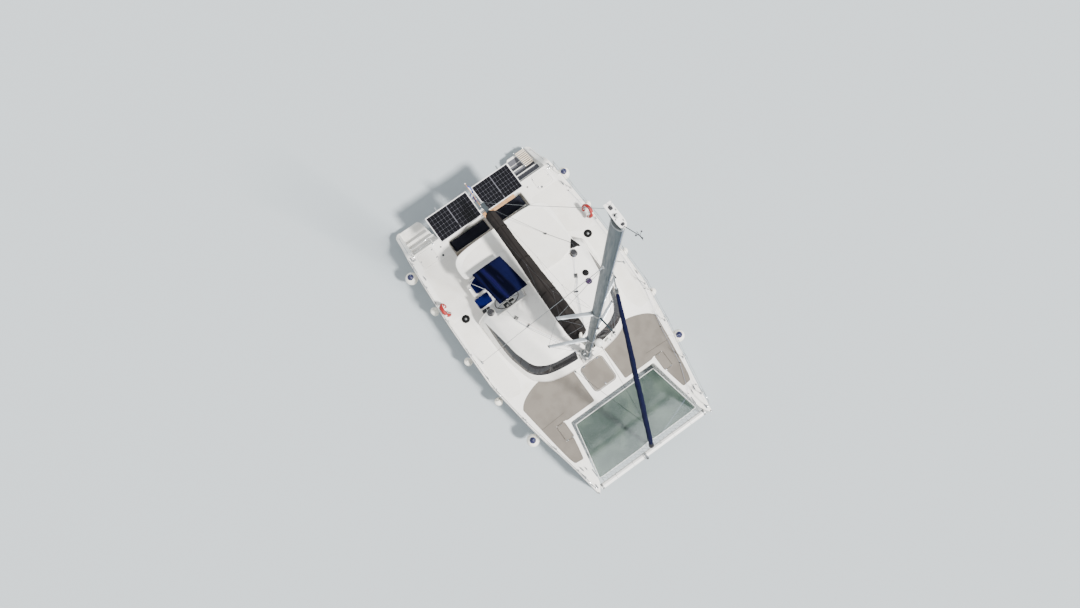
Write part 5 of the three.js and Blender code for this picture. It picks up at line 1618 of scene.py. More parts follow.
# foot casting, halyard exits, winches and cleats on the mast's sides, a light under the spreaders
Mt.add(slab(np.stack([MX + (MA + 0.018) * np.cos(a), (MB + 0.018) * np.sin(a)], 1), 2.50, 2.352, 0.012, 3), CAST)
for z, sx in ((4.9, 1), (5.3, -1), (5.7, 1), (15.2, 1)):
    Mt.add(rbox((MX + 0.02, sx * (MB - 0.001), z), (0.03, 0.012, 0.20), 0.005), BLACK)
for sg, z in ((1, 3.15), (-1, 3.15)):
    Mt.add(move(lathe([(0.055, 0), (0.055, 0.014), (0.036, 0.022), (0.034, 0.06), (0.045, 0.072), (0.045, 0.085), (0.02, 0.09), (0.001, 0.09)], 22),
                facing((0, sg, 0), (0, 0, 1), (MX, sg * (MB - 0.004), z))), STEEL)
    Mt.add(rbox((MX + 0.03, sg * (MB + 0.012), 3.50), (0.02, 0.022, 0.14), 0.008), STEEL)
for x, y in ((1.80, 0.045), (1.92, -0.045), (1.985, 0.042)):  # pins and shackles on the cap
    Mt.add(rbox((x, y, 18.672), (0.035, 0.020, 0.012), 0.004), CAST)
Mt.add(rbox((MX + MA + 0.03, 0, 9.2), (0.08, 0.07, 0.10), 0.015), BLACK)
Mt.add(rbox((MX + MA + 0.055, 0, 9.2), (0.05, 0.05, 0.06), 0.015), IVORY)
Mt.make("mast_section", "hull", "anodised_alloy", ["mast"])
# wind vane, aerial and lamp on the masthead
P = Part()
P.add(tube([(2.07, 0, 18.67), (2.20, 0, 18.85), (2.37, 0, 19.07)], 0.007, 8), BLACK)
P.add(rbox((2.40, 0, 19.075), (0.10, 0.004, 0.03), 0.0015), BLACK)
P.add(tube([(2.30, 0, 19.08), (2.44, 0, 19.08)], 0.004, 6), BLACK)
for k in range(3):
    aa = k * 2 * PI / 3
    P.add(tube([(2.37, 0, 19.11), (2.37 + 0.05 * math.cos(aa), 0.05 * math.sin(aa), 19.11)], 0.003, 5), BLACK)
    P.add(ball((2.37 + 0.055 * math.cos(aa), 0.055 * math.sin(aa), 19.11), 0.014, 10, 6), BLACK)
P.add(tube([(1.72, 0.02, 18.67), (1.72, 0.02, 19.20)], np.array([0.006, 0.0025]), 6), IVORY)
P.add(lathe([(0.03, 0), (0.03, 0.03), (0.028, 0.07), (0.02, 0.085), (0.001, 0.088)], 16, (1.90, 0, 18.676)), IVORY)
P.make("masthead_gear", "hull", "black_grip")

SPR = (("lower_spreaders", 6.3, (1.435, 1.14, 6.39)), ("upper_spreaders", 10.7, (1.50, 0.865, 10.80)))
for nodename, z0, tip in SPR:
    P = Part()
    for sg in (1, -1):
        rings = []
        p0, p1 = np.array((MX, 0.0, z0)), np.array((tip[0], sg * tip[1], tip[2]))
        for t in np.r_[np.linspace(0.03, 0.97, 12), 0.99, 1.0]:
            c = 0.146 + (0.094 - 0.146) * t
            th = 0.030 + (0.018 - 0.030) * t
            if t > 0.975:
                c, th = c * 0.9, th * 0.8
            q = p0 + (p1 - p0) * t
            ring = [(c / 2 * math.cos(k), 0, th / 2 * math.sin(k) * (1.0 - 0.35 * math.cos(k) * -1 * 0)) for k in np.linspace(0, 2 * PI, 18, endpoint=False)]
            rings.append(np.array(ring) + q)
        P.add(loft(np.array(rings)), SPRM)
        P.add(rbox(tuple(p1), (0.098, 0.03, 0.04), 0.012), BLACK)
        P.add(rbox((p0[0] + (p1[0] - p0[0]) * 0.085, p0[1] + (p1[1] - p0[1]) * 0.085, p0[2] + 0.01), (0.16, 0.05, 0.07), 0.012), CAST)
    P.add(slab(np.stack([MX + (MA + 0.014) * np.cos(a), (MB + 0.014) * np.sin(a)], 1), z0 + 0.045, z0 - 0.045, 0.008, 2), CAST)
    if nodename == "upper_spreaders":
        P.add(tube([(MX + 0.12, 0, z0), (MX + 0.65, 0, z0 + 0.43)], np.array([0.026, 0.018]), 14), ANOD)
        P.add(rbox((MX + 0.65, 0, z0 + 0.43), (0.05, 0.07, 0.03), 0.01), BLACK)
    P.make(nodename + "_blades", "hull", "anodised_alloy", [nodename])

# ------------------------------------------------------------------ standing rigging
W = Part()
LT, UT, JT = (1.435, 1.14, 6.39), (1.50, 0.865, 10.80), (2.59, 0.0, 11.13)
for sg in (1, -1):
    dia = [(1.90, sg * 0.085, 2.95), (LT[0], sg * LT[1], LT[2]), (UT[0], sg * UT[1], UT[2]), (1.90, sg * 0.075, 15.55)]
    for p, q in zip(dia[:-1], dia[1:]):
        W.add(rod(p, q, 0.0045, 6), WIRE)
    W.add(rod((LT[0], sg * LT[1], LT[2]), (2.0, sg * 0.07, 10.4), 0.0035, 6), WIRE)
    W.add(rod((UT[0], sg * UT[1], UT[2]), (JT[0], sg * 0.03, JT[2]), 0.0035, 6), WIRE)
    W.add(rod((JT[0], sg * 0.03, JT[2]), (2.03, sg * 0.05, 15.30), 0.0035, 6), WIRE)
    W.add(rod((JT[0], sg * 0.03, JT[2]), (2.04, sg * 0.055, 6.75), 0.0035, 6), WIRE)
    d = np.subtract(dia[1], dia[0]) / np.linalg.norm(np.subtract(dia[1], dia[0]))
    for t0, t1, r in ((0.0, 0.10, 0.007), (0.10, 0.34, 0.012), (0.34, 0.46, 0.007)):
        W.add(rod(np.array(dia[0]) + d * t0, np.array(dia[0]) + d * t1, r, 10), STEEL)
W.make("diamond_stays", "hull", "stainless")
for nm, sg in sides():
    P = Part()
    p0, p1 = np.array((0.0, sg * 3.06, 1.652)), np.array((1.92, sg * 0.092, 15.76))
    d = (p1 - p0) / np.linalg.norm(p1 - p0)
    P.add(rod(p0 + d * 0.45, p1, 0.0065, 8), WIRE)
    for t0, t1, r in ((0.0, 0.10, 0.010), (0.10, 0.34, 0.017), (0.34, 0.50, 0.010)):
        P.add(rod(p0 + d * t0, p0 + d * t1, r, 12), STEEL)
    P.add(ball(tuple(p0 + d * 0.03), 0.02, 12, 7), STEEL)
    # clevis fork and chainplate through the deck
    for o_ in (-0.012, 0.012):
        P.add(rbox((o_, sg * 3.063, 1.675), (0.006, 0.03, 0.06), 0.002), STEEL)
    P.add(slab(rrect(0.12, 0.06, 0.02, 4) + (0.0, sg * 3.06), 1.658, 1.651, 0.002, 2), STEEL)
    P.add(rod(p1 - d * 0.20, p1, 0.011, 10), STEEL)
    P.add(rbox((1.925, sg * 0.083, 15.80), (0.05, 0.02, 0.12), 0.006), STEEL)
    P.make(f"{nm}_shroud_wire", "hull", "stainless", [f"{nm}_shroud"])

# genoa rolled on the stay, the foil above it, swivel and drum
TK = np.array((5.70, 0.0, 1.69))
ST1 = np.array((MX + 0.135, 0.0, 15.77))
sd = (ST1 - TK)
tilt_s = math.atan2(TK[0] - MX - 0.135, ST1[2] - TK[2])
rfun = pchip([0.0225, 0.03, 0.06, 0.45, 0.80, 0.90, 0.925, 0.930], [0.020, 0.045, 0.082, 0.074, 0.050, 0.040, 0.034, 0.018])


def stay_ring(t, r, n, wrap=0.0, ph=0.0):
    c = TK + sd * t
    k = np.arange(n) / n
    th = 2 * PI * k
    rr = r * (1 + wrap * (((k - ph) % 1.0) - 0.5))
    x, y = rr * np.cos(th), rr * np.sin(th)
    return np.stack([c[0] + x * math.cos(tilt_s), c[1] + y, c[2] + x * math.sin(tilt_s)], 1)


P = Part()
ts = np.linspace(0.0225, 0.930, 170)
rg = []
for t in ts:
    r = float(rfun(t))
    r *= 1 + 0.025 * math.sin(90 * t) + 0.015 * math.sin(211 * t + 1)
    rg.append(stay_ring(t, r, 36, 0.16, (t * 3.4) % 1.0))
P.add(loft(np.array(rg)), GENOAC)
gen = P.make("genoa_roll", "hull", "navy_canvas", ["furled_genoa"], sharp=42, weighted=False)
P = Part()
P.add(tube([TK + sd * 0.93, TK + sd * 0.9965], 0.013, 12), CAST)
P.add(tube([TK + sd * t for t in (0.932, 0.9335, 0.944, 0.9455)], np.array([0.022, 0.035, 0.035, 0.022]), 18), BLACK)
P.add(tube([TK + sd * 0.9455, TK + sd * 0.955], 0.02, 12), STEEL)
P.add(rod(TK + sd * 0.9965, (MX + MA, 0, 15.80), 0.011, 8), STEEL)
# halyard from the swivel
P.add(rod(TK + sd * 0.9455 + np.array((-0.03, 0, 0)), (MX + MA - 0.01, 0.0, 15.95), 0.004, 6), CORDW)
P.make("forestay_foil", "hull", "cast_metal")
P = Part()
for t0, t1, r, mt in ((0.0020, 0.0075, 0.030, STEEL), (0.0080, 0.0092, 0.094, BLACK), (0.0092, 0.0206, 0.046, BLACK), (0.0206, 0.0218, 0.094, BLACK), (0.0218, 0.0235, 0.028, STEEL)):
    P.add(tube([TK + sd * t0, TK + sd * t1], r, 28), mt)
for k in range(8):  # turns of the furling line on the drum
    t = 0.0098 + 0.00135 * k
    P.add(tube(stay_ring(t, 0.052, 24), 0.0055, 6, closed=True), CORDD)
for sg in (1, -1):
    P.add(rbox((5.70, sg * 0.024, 1.69), (0.05, 0.008, 0.11), 0.003), STEEL)
P.make("furler_drum_set", "hull", "black_grip", ["furler_drum"])

# ------------------------------------------------------------------ front crossbeam and the net
P = Part()
P.add(tube([(5.815, y, 1.575) for y in np.linspace(-2.19, 2.19, 18)], 0.094, 28), ALLOY_W)
P.add(tube([(5.815, y, 1.672) for y in np.linspace(-2.05, 2.05, 12)], 0.012, 8, flat=0.7), ALLOY_W)
P.add(tube([(5.815, 0, 1.575), (5.73, 0, 1.635), (5.70, 0, 1.66)], 0.032, 14), ALLOY_W)
for sg in (1, -1):
    P.add(tube([(5.815, sg * 2.10, 1.575), (5.815, sg * 2.17, 1.575)], np.array([0.102, 0.102]), 28), CAST)
# the strut under the beam and its wires
P.add(tube([(5.815, 0, 1.49), (5.815, 0, 1.16)], np.array([0.03, 0.024]), 14), ALLOY_W)
P.add(rbox((5.815, 0, 1.15), (0.05, 0.09, 0.03), 0.01), STEEL)
for sg in (1, -1):
    P.add(rod((5.815, 0, 1.145), (5.815, sg * 2.06, 1.545), 0.006, 8), WIRE)
# bow roller plate and bridle eye at the middle
P.add(rbox((5.86, -0.34, 1.655), (0.20, 0.09, 0.05), 0.015), STEEL)
P.add(rod((5.95, -0.375, 1.66), (5.95, -0.305, 1.66), 0.035, 14), RUBBER)
P.make("front_crossbeam_tube", "hull", "white_alloy", ["front_crossbeam"])

NX0, NX1 = 3.61, 5.575


def net_half(x):
    return 1.655 + (x - NX0) * 0.205


def net_front(y):
    """Front edge: nearly straight, with a shallow dip under the furler and softened corners."""
    x = NX1 - 0.015 - 0.035 * math.exp(-((y - 0.05) / 0.24) ** 2) - 0.006 * math.cos(2 * PI * y / 0.17)
    if y > 1.70:
        x -= 0.03 * smooth((y - 1.70) / 0.33)
    if y < -1.86:
        x -= 0.02 * smooth((-y - 1.86) / 0.17)
    return x


def net_z(x, y):
    u, v = (x - NX0) / (NX1 - NX0), y / net_half(x)
    return 1.507 - 0.05 * math.sin(PI * max(0, min(1, u))) * (1 - v * v) + 0.004 * math.sin(6 * x + 2 * y) * (1 - v * v)


N = Part()
pitch, half_w, nseg = 0.0240, 0.0063, 14
for y in np.arange(-2.052, 2.052, pitch):
    x0 = max(NX0, NX0 + (abs(y) - 1.655) / 0.205)
    x1 = net_front(y)
    if x1 - x0 < 0.03:
        continue
    xs = np.linspace(x0, x1, nseg)
    up = [(x, y, net_z(x, y) + 0.0022) for x in xs]
    ring = [[(x, y - half_w, z), (x, y, z + 0.003), (x, y + half_w, z), (x, y, z - 0.003)] for (x, _, z) in up]
    N.add(loft(np.array(ring)), NETM)
for x in np.arange(NX0, NX1 + 0.001, pitch):
    spans = []
    ys = np.linspace(-net_half(x), net_half(x), 240)
    ok = np.array([net_front(y) >= x for y in ys])
    start = None
    for i, k in enumerate(ok):
        if k and start is None:
            start = i
        if (not k or i == len(ok) - 1) and start is not None:
            spans.append((ys[start], ys[i if k else i - 1]))
            start = None
    for s0, s1 in spans:
        if s1 - s0 < 0.03:
            continue
        yy = np.linspace(s0, s1, max(4, int(nseg * 2 * (s1 - s0) / 4)))
        ring = [[(x - half_w, y, net_z(x, y)), (x, y, net_z(x, y) + 0.003), (x + half_w, y, net_z(x, y)), (x, y, net_z(x, y) - 0.003)] for y in yy]
        N.add(loft(np.array(ring)), NETM)
N.make("trampoline_mesh", "hull", "netting", ["trampoline"], sharp=80, recalc=True, weighted=False)
# bolt rope round it and the lacing to deck, hulls and beam
edge_pts = [(NX0, y) for y in np.linspace(-1.655, 1.655, 28)]
edge_pts += [(x, net_half(x)) for x in np.linspace(NX0, net_front(2.03), 18)[1:]]
edge_pts += [(net_front(y), y) for y in np.linspace(2.02, -2.02, 72)]
edge_pts += [(x, -net_half(x)) for x in np.linspace(net_front(-2.03), NX0, 18)[:-1]]
eb = np.array([(x, y, net_z(x, y) + 0.002) for x, y in edge_pts])
L = Part()
L.add(tube(eb, 0.0115, 7, closed=True), CORDW)


def to_frame(q):
    """The nearest point that the lacing reaches from an edge point."""
    x, y, z = q
    if x < NX0 + 0.01:
        return np.array((3.452, y, 1.555))
    if abs(y) > net_half(x) - 0.02 and x < NX1 - 0.12:
        return np.array((x, math.copysign(float(YT(x)) - 0.004, y), 1.56))
    return np.array((5.815 - 0.088, y, 1.555))


pe = along(np.vstack([eb, eb[:1]]), 0.085)[:-1]
prev = None
for i, q in enumerate(pe):
    f = to_frame(q)
    if np.linalg.norm(f - q) > 0.55:
        prev = None
        continue
    if i % 2 == 0:
        L.add(rod(q, f, 0.0046, 5), CORDD)
        if prev is not None:
            L.add(rod(prev, q, 0.0046, 5), CORDD)
        prev = f
        L.add(rbox(tuple(f), (0.022, 0.022, 0.018), 0.005), BLACK)
L.make("trampoline_lacing", "hull", "netting", weighted=False)

# ------------------------------------------------------------------ helm station
H0, H1, HY0, HY1, HF = -2.44, -0.85, -1.98, -0.45, 1.76
P = Part()
P.add(cad("helm_console", 0.018, 3), GEL, lambda c, n: CONSOLE_F if n[2] > 0.9 and abs(c[2] - HF) < 0.02 else None)
# instrument pod's face: two displays in black bezels
face = facing((-0.95, 0, 0.32), (0, 0, 1), (-1.115, -1.12, 2.235))
dk = np.array(facing((-0.52, 0, 0.85), (0, 0, 1), (-1.075, -1.12, 2.36)))
for dy, w, h in ((-0.11, 0.19, 0.13), (0.11, 0.19, 0.13)):
    V, F = slab(rrect(w, h, 0.012, 4), 0.014, 0.0, 0.003, 2)
    P.add(move((V + (dy, 0.0, 0.0), F), dk), BLACK)
    V, F = slab(rrect(w - 0.03, h - 0.035, 0.006, 3), 0.0155, 0.010, 0.001, 1)
    P.add(move((V + (dy, 0.004, 0.0), F), dk), SCREEN)
P.make("helm_console_moulding", "hull", "gelcoat", ["helm_console"])
P = Part()
# compass dome, throttle box with two levers, a row of switches
P.add(dome(0.055, 0.05, (-0.965, -1.12, 2.44), 24, 7), SCREEN)
P.add(lathe([(0.065, 0), (0.068, 0.008), (0.056, 0.014)], 24, (-0.965, -1.12, 2.438)), BLACK)
P.add(rbox((-1.02, -1.29, 2.45), (0.13, 0.07, 0.05), 0.015), BLACK)
for dy in (-0.018, 0.018):
    P.add(tube([(-1.005, -1.29 + dy, 2.47), (-0.985, -1.29 + dy, 2.532)], 0.006, 8), STEEL)
    P.add(ball((-0.983, -1.29 + dy, 2.540), 0.014, 12, 7), BLACK)
for k in range(6):
    P.add(rbox((-1.145, -1.21 + 0.035 * k, 2.12), (0.012, 0.018, 0.03), 0.004), BLACK)
P.make("helm_controls", "hull", "black_grip")
# steering wheel: leather-wrapped rim, five spokes, hub
tl = math.radians(45)
WC = np.array((-1.20, -1.12, 2.40))
MW = facing((-math.cos(tl), 0, math.sin(tl)), (0, 0, 1), WC)
P = Part()
aa = np.linspace(0, 2 * PI, 72, endpoint=False)
P.add(move(tube(np.stack([0.45 * np.cos(aa), 0.45 * np.sin(aa), 0 * aa], 1), 0.0155 + 0.0012 * np.abs(np.sin(aa * 18)), 12, closed=True), MW), RUBBER)
for k in range(5):
    t = PI / 2 + k * 2 * PI / 5
    c, s_ = math.cos(t), math.sin(t)
    P.add(move(tube([(0.05 * c, 0.05 * s_, 0.0), (0.2 * c, 0.2 * s_, -0.012), (0.34 * c, 0.34 * s_, -0.006), (0.44 * c, 0.44 * s_, 0)], np.array([0.014, 0.0105, 0.010, 0.011]), 10), MW), STEEL)
P.add(move(lathe([(0.03, -0.05), (0.055, -0.045), (0.058, 0.0), (0.05, 0.022), (0.02, 0.03), (0.001, 0.031)], 28), MW), STEEL)
P.make("helm_wheel", "steering_wheel", "black_grip", ["steering_wheel"])


# ------------------------------------------------------------------ cushions
def cushion(name, cx, cy, z0, w, h, t, mat, body="hull", repl=(), M=None, slotn="blue_cushion", channels=0):
    """A crowned pad w by h and t thick, its sides pulled in between the corners, puffed by a cloth solve with air inside."""
    n = 18
    V, F = slab(along(np.vstack([rrect(w, h, 0.05, 5), rrect(w, h, 0.05, 5)[:1]]), 0.05)[:-1], t * 0.80, t * 0.10, t * 0.22, 3, rb=t * 0.22)
    me = bpy.data.meshes.new(name)
    me.from_pydata(V.tolist(), [], F)
    bm = bmesh.new()
    bm.from_mesh(me)
    bmesh.ops.recalc_face_normals(bm, faces=bm.faces)
    bm.to_mesh(me)
    bm.free()
    o = bpy.data.objects.new(name, me)
    bpy.context.scene.collection.objects.link(o)
    rm = o.modifiers.new("remesh", "REMESH")
    rm.mode = "VOXEL"
    rm.voxel_size = max(0.011, min(w, h) / 42)
    dg = bpy.context.evaluated_depsgraph_get()
    me2 = bpy.data.meshes.new_from_object(o.evaluated_get(dg))
    o.modifiers.clear()
    o.data = me2
    rest = np.array([v.co for v in me2.vertices])
    vg = o.vertex_groups.new(name="pin")
    pins = [i for i, q in enumerate(rest) if q[2] < t * 0.13]
    if channels:
        for i, q in enumerate(rest):
            for k in range(1, channels + 1):
                if abs(q[0] - (-w / 2 + w * k / (channels + 1))) < 0.007:
                    pins.append(i)
                    break
    vg.add(pins, 1.0, "REPLACE")
    cl = o.modifiers.new("cloth", "CLOTH")
    cl.settings.use_pressure = True
    cl.settings.uniform_pressure_force = 4.0
    cl.settings.effector_weights.gravity = 0.0
    cl.settings.quality = 5
    cl.settings.mass = 0.3
    cl.settings.tension_stiffness = 12
    cl.settings.compression_stiffness = 12
    cl.settings.vertex_group_mass = "pin"
    cl.point_cache.frame_start, cl.point_cache.frame_end = 1, 20
    for fr in range(1, 21):
        bpy.context.scene.frame_set(fr)
    dg = bpy.context.evaluated_depsgraph_get()
    ev = o.evaluated_get(dg)
    got = np.array([v.co for v in ev.data.vertices])
    o.modifiers.clear()
    bpy.context.scene.frame_set(1)
    d = got - rest
    ln = np.linalg.norm(d, axis=1)[:, None]
    cap_ = 0.022
    d = d * np.minimum(1.0, cap_ / (ln + 1e-9))
    new = rest + d
    me2.vertices.foreach_set("co", new.astype(np.float32).ravel())
    me2.update()
    sb = o.modifiers.new("sub", "SUBSURF")
    sb.levels = sb.render_levels = 1
    if o.vertex_groups:
        o.vertex_groups.clear()
    M4 = Matrix.Translation((cx, cy, z0))
    if M is not None:
        M4 = M4 @ M
    o.data.transform(M4)
    o.data.materials.clear()
    o.data.materials.append(mat)
    o.data.polygons.foreach_set("material_index", [0] * len(o.data.polygons))
    o.data.polygons.foreach_set("use_smooth", [True] * len(o.data.polygons))
    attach(o, body)
    if repl:
        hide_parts(*repl)
    # piping round the top edge
    pr = rrect(w - 0.004, h - 0.004, 0.05, 6)
    path = np.c_[along(np.vstack([pr, pr[:1]]), 0.04)[:-1], np.zeros(1)[0] * np.ones(len(along(np.vstack([pr, pr[:1]]), 0.04)[:-1])) + t * 0.62]
    V, F = tube(path, 0.0045, 6, closed=True)
    Mm = np.array(M4)
    V = V @ Mm[:3, :3].T + Mm[:3, 3]
    Q = Part()
    Q.add((V, F), mat)
    Q.make(name + "_piping", body, slotn, weighted=False)
    return o


cushion("helm_seat_cushion", -2.20, -1.215, 2.182, 0.455, 1.29, 0.105, BLUEC, repl=("helm_seat",))
# back rest of the helm seat, standing at its aft edge
cushion("helm_backrest_cushion", -2.405, -1.215, 2.30, 0.34, 1.20, 0.09, BLUEC, M=Matrix.Rotation(math.radians(-76), 4, "Y") @ Matrix.Translation((0.17, 0, -0.03)))
cushion("helm_side_cushion", -1.655, -1.785, 2.225, 0.40, 0.54, 0.085, BLUEC)
P = Part()
# low bench under the side cushion and the rail that holds the back rest
P.add(rbox((-1.655, -1.785, 2.185), (0.44, 0.57, 0.075), 0.03), GEL)
P.add(rbox((-1.655, -1.80, 1.95), (0.30, 0.34, 0.42), 0.03), GEL)
P.add(tube(crom([(-1.425, -1.545, 2.17), (-1.415, -1.54, 2.30), (-1.41, -1.58, 2.355), (-1.41, -1.70, 2.362), (-1.415, -1.86, 2.355), (-1.42, -1.92, 2.30), (-1.43, -1.92, 2.17)], 5), 0.014, 12), ALLOY_W)
hp = crom([(-2.415, -1.83, 2.19), (-2.425, -1.83, 2.50), (-2.43, -1.80, 2.66), (-2.435, -1.70, 2.70), (-2.435, -1.2, 2.70), (-2.435, -0.75, 2.70), (-2.43, -0.62, 2.66), (-2.425, -0.60, 2.50), (-2.415, -0.60, 2.19)], 5)
P.add(tube(hp, 0.013, 12), STEEL)
P.make("helm_bench_frame", "hull", "gelcoat")

# ------------------------------------------------------------------ bimini: one stretched sheet over two hoops
CA, CF = (-2.37, -1.625, -0.515), (-1.03, -1.440, -0.325)
prof = pchip([0, .04, .33, .66, .96, 1], [3.350, 3.395, 3.440, 3.440, 3.395, 3.350])


def dip(s, t, c, w):
    """A dip of the cloth along the boat, centred at c and w wide, that wanders a little."""
    return math.exp(-((s - c - 0.016 * math.sin(5.0 * t + 9 * c)) / (w * (0.85 + 0.3 * t))) ** 2)


def can(t, s):
    x = CA[0] + t * (CF[0] - CA[0])
    y0, y1 = CA[1] + t * (CF[1] - CA[1]), CA[2] + t * (CF[2] - CA[2])
    y = y0 + s * (y1 - y0)
    z = float(prof(t)) + 0.034 * math.sin(PI * s) ** 0.8 - 0.030
    # the cloth dips between the seams that run fore and aft, and pulls tight over the hoops
    z -= (0.036 * dip(s, t, 0.165, 0.055) + 0.052 * dip(s, t, 0.515, 0.095) + 0.014 * dip(s, t, 0.80, 0.06)) * math.sin(PI * t) ** 1.3
    z -= 0.030 * math.sin(PI * t) ** 2 * math.sin(PI * s) ** 0.6 * 0.5
    return (x, y, z)


nt_, ns_ = 48, 97
topg = np.array([[can(t, s) for s in np.linspace(0, 1, ns_)] for t in np.linspace(0, 1, nt_)])
hem = 0.055
ringsC = []
for i in range(nt_):
    row = topg[i]
    lft = row[0] + (0, -0.004, -hem)
    rgt = row[-1] + (0, 0.004, -hem)
    ringsC.append(np.vstack([lft, row, rgt]))
A_ = ringsC[0] + (-0.006, 0, -hem)
Z_ = ringsC[-1] + (0.006, 0, -hem)
A_[0], A_[-1] = ringsC[0][0], ringsC[0][-1]
Z_[0], Z_[-1] = ringsC[-1][0], ringsC[-1][-1]
sheetg = np.array([A_] + ringsC + [Z_])
V, F = loft(sheetg, closed_v=False)
C = Part()


def painted_fold_shade(c, n):
    """Painted shade: faces down in the cloth's folds and on its hanging hem get darker copies of the navy, and one
    strip on a ridge gets a lighter copy as a painted highlight.
    """
    t = min(1.0, max(0.0, (c[0] - CA[0]) / (CF[0] - CA[0])))
    y0, y1 = CA[1] + t * (CF[1] - CA[1]), CA[2] + t * (CF[2] - CA[2])
    s = (c[1] - y0) / (y1 - y0)
    if c[2] < float(prof(t)) - 0.055 or s < 0.028 or s > 0.975:
        return NAVY_SHADE_MID
    v = max(dip(s, t, 0.165, 0.075), 1.15 * dip(s, t, 0.515, 0.125)) + 0.05 * math.sin(11 * t + 17 * s)
    if v > 0.66:
        return NAVY_SHADE_DEEP
    if v > 0.46:
        return NAVY_SHADE_MID
    if v > 0.27:
        return NAVY_SHADE_LIGHT
    return NAVY_HIGHLIGHT if 0.29 < s < 0.40 else None


# each face of the canopy takes painted shade or a painted highlight from where it lies in the folds
C.add((V, F), NAVYC, painted_fold_shade)
bim = C.make("bimini_canvas", "hull", "navy_canvas", ["helm_bimini"], sharp=75, recalc=False, weighted=False)
# seams: four along the canopy and four across it, at its ends and just inside them
T = Part()
for s in (0.0, 0.335, 0.70, 1.0):
    pth = [np.array(can(t, s)) + (0, 0, 0.001) for t in np.linspace(0.0, 1.0, 30)]
    T.add(tube(pth, 0.004, 6, flat=0.5), NAVYC)
for t in (0.0, 0.052, 0.948, 1.0):
    pth = [np.array(can(t, s)) + (0, 0, 0.002) for s in np.linspace(0.0, 1.0, 50)]
    T.add(tube(pth, 0.004, 6, flat=0.5), NAVYC)
T.make("bimini_seams", "hull", "navy_canvas", weighted=False)


def bowy(x):
    t = (x - CA[0]) / (CF[0] - CA[0])
    return CA[1] + t * (CF[1] - CA[1]) + 0.03, CA[2] + t * (CF[2] - CA[2]) - 0.03


P = Part()
for x, feet in ((-2.30, True), (-1.10, False)):
    y0, y1 = bowy(x)
    t = (x - CA[0]) / (CF[0] - CA[0])
    zt = 3.338
    arc = [(x, y0, zt - 0.13), (x, y0 + 0.02, zt - 0.03), (x, y0 + 0.10, zt + 0.012), (x, (y0 + y1) / 2, zt + 0.035), (x, y1 - 0.10, zt + 0.012), (x, y1 - 0.02, zt - 0.03), (x, y1, zt - 0.13)]
    if feet:
        arc = [(x, -1.945, 2.19), (x, -1.80, 2.75)] + arc + [(x, -0.537, 2.75), (x, -0.535, 2.19)]
    P.add(tube(crom(arc, 7), 0.0135, 12), STEEL)
for i in (0, 1):
    f1, m1 = bowy(-1.10)[i], bowy(-1.72)[i]
    P.add(tube(crom([(-1.10, f1, 3.225), (-1.36, (f1 + m1) / 2, 3.09), (-1.72, m1, 2.90), (-2.30, (-0.5335 if i else -1.79), 2.60)], 5), 0.0125, 12), STEEL)
    P.add(ball((-1.72, m1, 2.90), 0.02, 12, 7), CAST)
    P.add(lathe([(0.035, 0), (0.035, 0.006), (0.018, 0.014), (0.015, 0.03)], 16, (-2.30, (-0.535 if i else -1.945), 2.182)), STEEL)
P.make("bimini_frame_tubes", "hull", "stainless", ["bimini_frame"])

# ------------------------------------------------------------------ cockpit, bulkhead, door, table
P = Part()


def cockpit_finish(c, n):
    if n[2] > 0.9 and c[2] < 0.95:
        return TEAKF
    return None


TEAKF = material("laid_teak_sole", (168, 122, 80), 0.6, vary=0.10, vscale=3, grain=((1.5, 26, 26), (112, 76, 46), 3.0), bump=0.35)
P.add(cad("bridge_deck", 0.022, 3), GEL_IN, cockpit_finish)
P.make("bridge_deck_moulding", "hull", "gelcoat", ["bridge_deck"])
P = Part()
# laid planks on the cockpit sole, with dark caulking between them
for k in range(32):
    y = -1.52 + k * 0.0985
    if abs(y) > 1.52:
        continue
    y1_ = y + 0.093
    P.add(rbox((-2.62, (y + y1_) / 2, FLOOR_Z + 0.004), (2.20 if y < 0.9 else 0.0001 + 2.20, 0.093, 0.008), 0.002), TEAK) if y1_ < 1.0 else None
P.add(rbox((-2.62, -0.26, FLOOR_Z + 0.001), (2.24, 2.54, 0.006), 0.002), RUBBER)
P.make("cockpit_sole_planks", "hull", "teak")
P = Part()
P.add(cad("saloon_bulkhead", 0.008, 2), GEL)
# window in the bulkhead and black seals round both openings
P.add(rbox((-1.476, 1.10, 2.075), (0.014, 0.79, 0.64), 0.004), GLASS)
for y in (0.71, 1.49):
    P.add(rbox((-1.491, y, 2.075), (0.016, 0.03, 0.66), 0.006), RUBBER)
for z in (1.76, 2.39):
    P.add(rbox((-1.491, 1.10, z), (0.016, 0.81, 0.03), 0.006), RUBBER)
for z in (2.417, 0.923):
    P.add(rbox((-1.530, 0.41, z), (0.055, 2.02, 0.022), 0.005), CAST)
P.make("bulkhead_panel", "hull", "gelcoat", ["saloon_bulkhead"])
P = Part()
P.add(slab(rrect(0.86, 1.46, 0.05, 5), 0.018, -0.018, 0.006, 2, holes=(rrect(0.72, 1.30, 0.05, 5),), rb=0.006), ALLOY_W)
P.add(slab(rrect(0.73, 1.31, 0.05, 5), 0.006, -0.006, 0.0), GLASS)
P.add(tube([(-0.385, -0.18, -0.016), (-0.385, -0.165, -0.042), (-0.385, 0.165, -0.042), (-0.385, 0.18, -0.016)], 0.010, 8), STEEL)
Md = np.array(((0, 0, 1, -1.528), (1, 0, 0, 0.05), (0, 1, 0, 1.67), (0, 0, 0, 1)), float)
for i in range(len(P.V)):
    P.V[i] = P.V[i] @ Md[:3, :3].T + Md[:3, 3]
P.make("sliding_door_leaf", "sliding_door", "tinted_glass", ["sliding_door"])
P = Part()
P.add(slab(rrect(0.80, 0.76, 0.07, 6) + (-2.90, 0.18), 1.60, 1.562, 0.010, 3, rb=0.010), GEL)
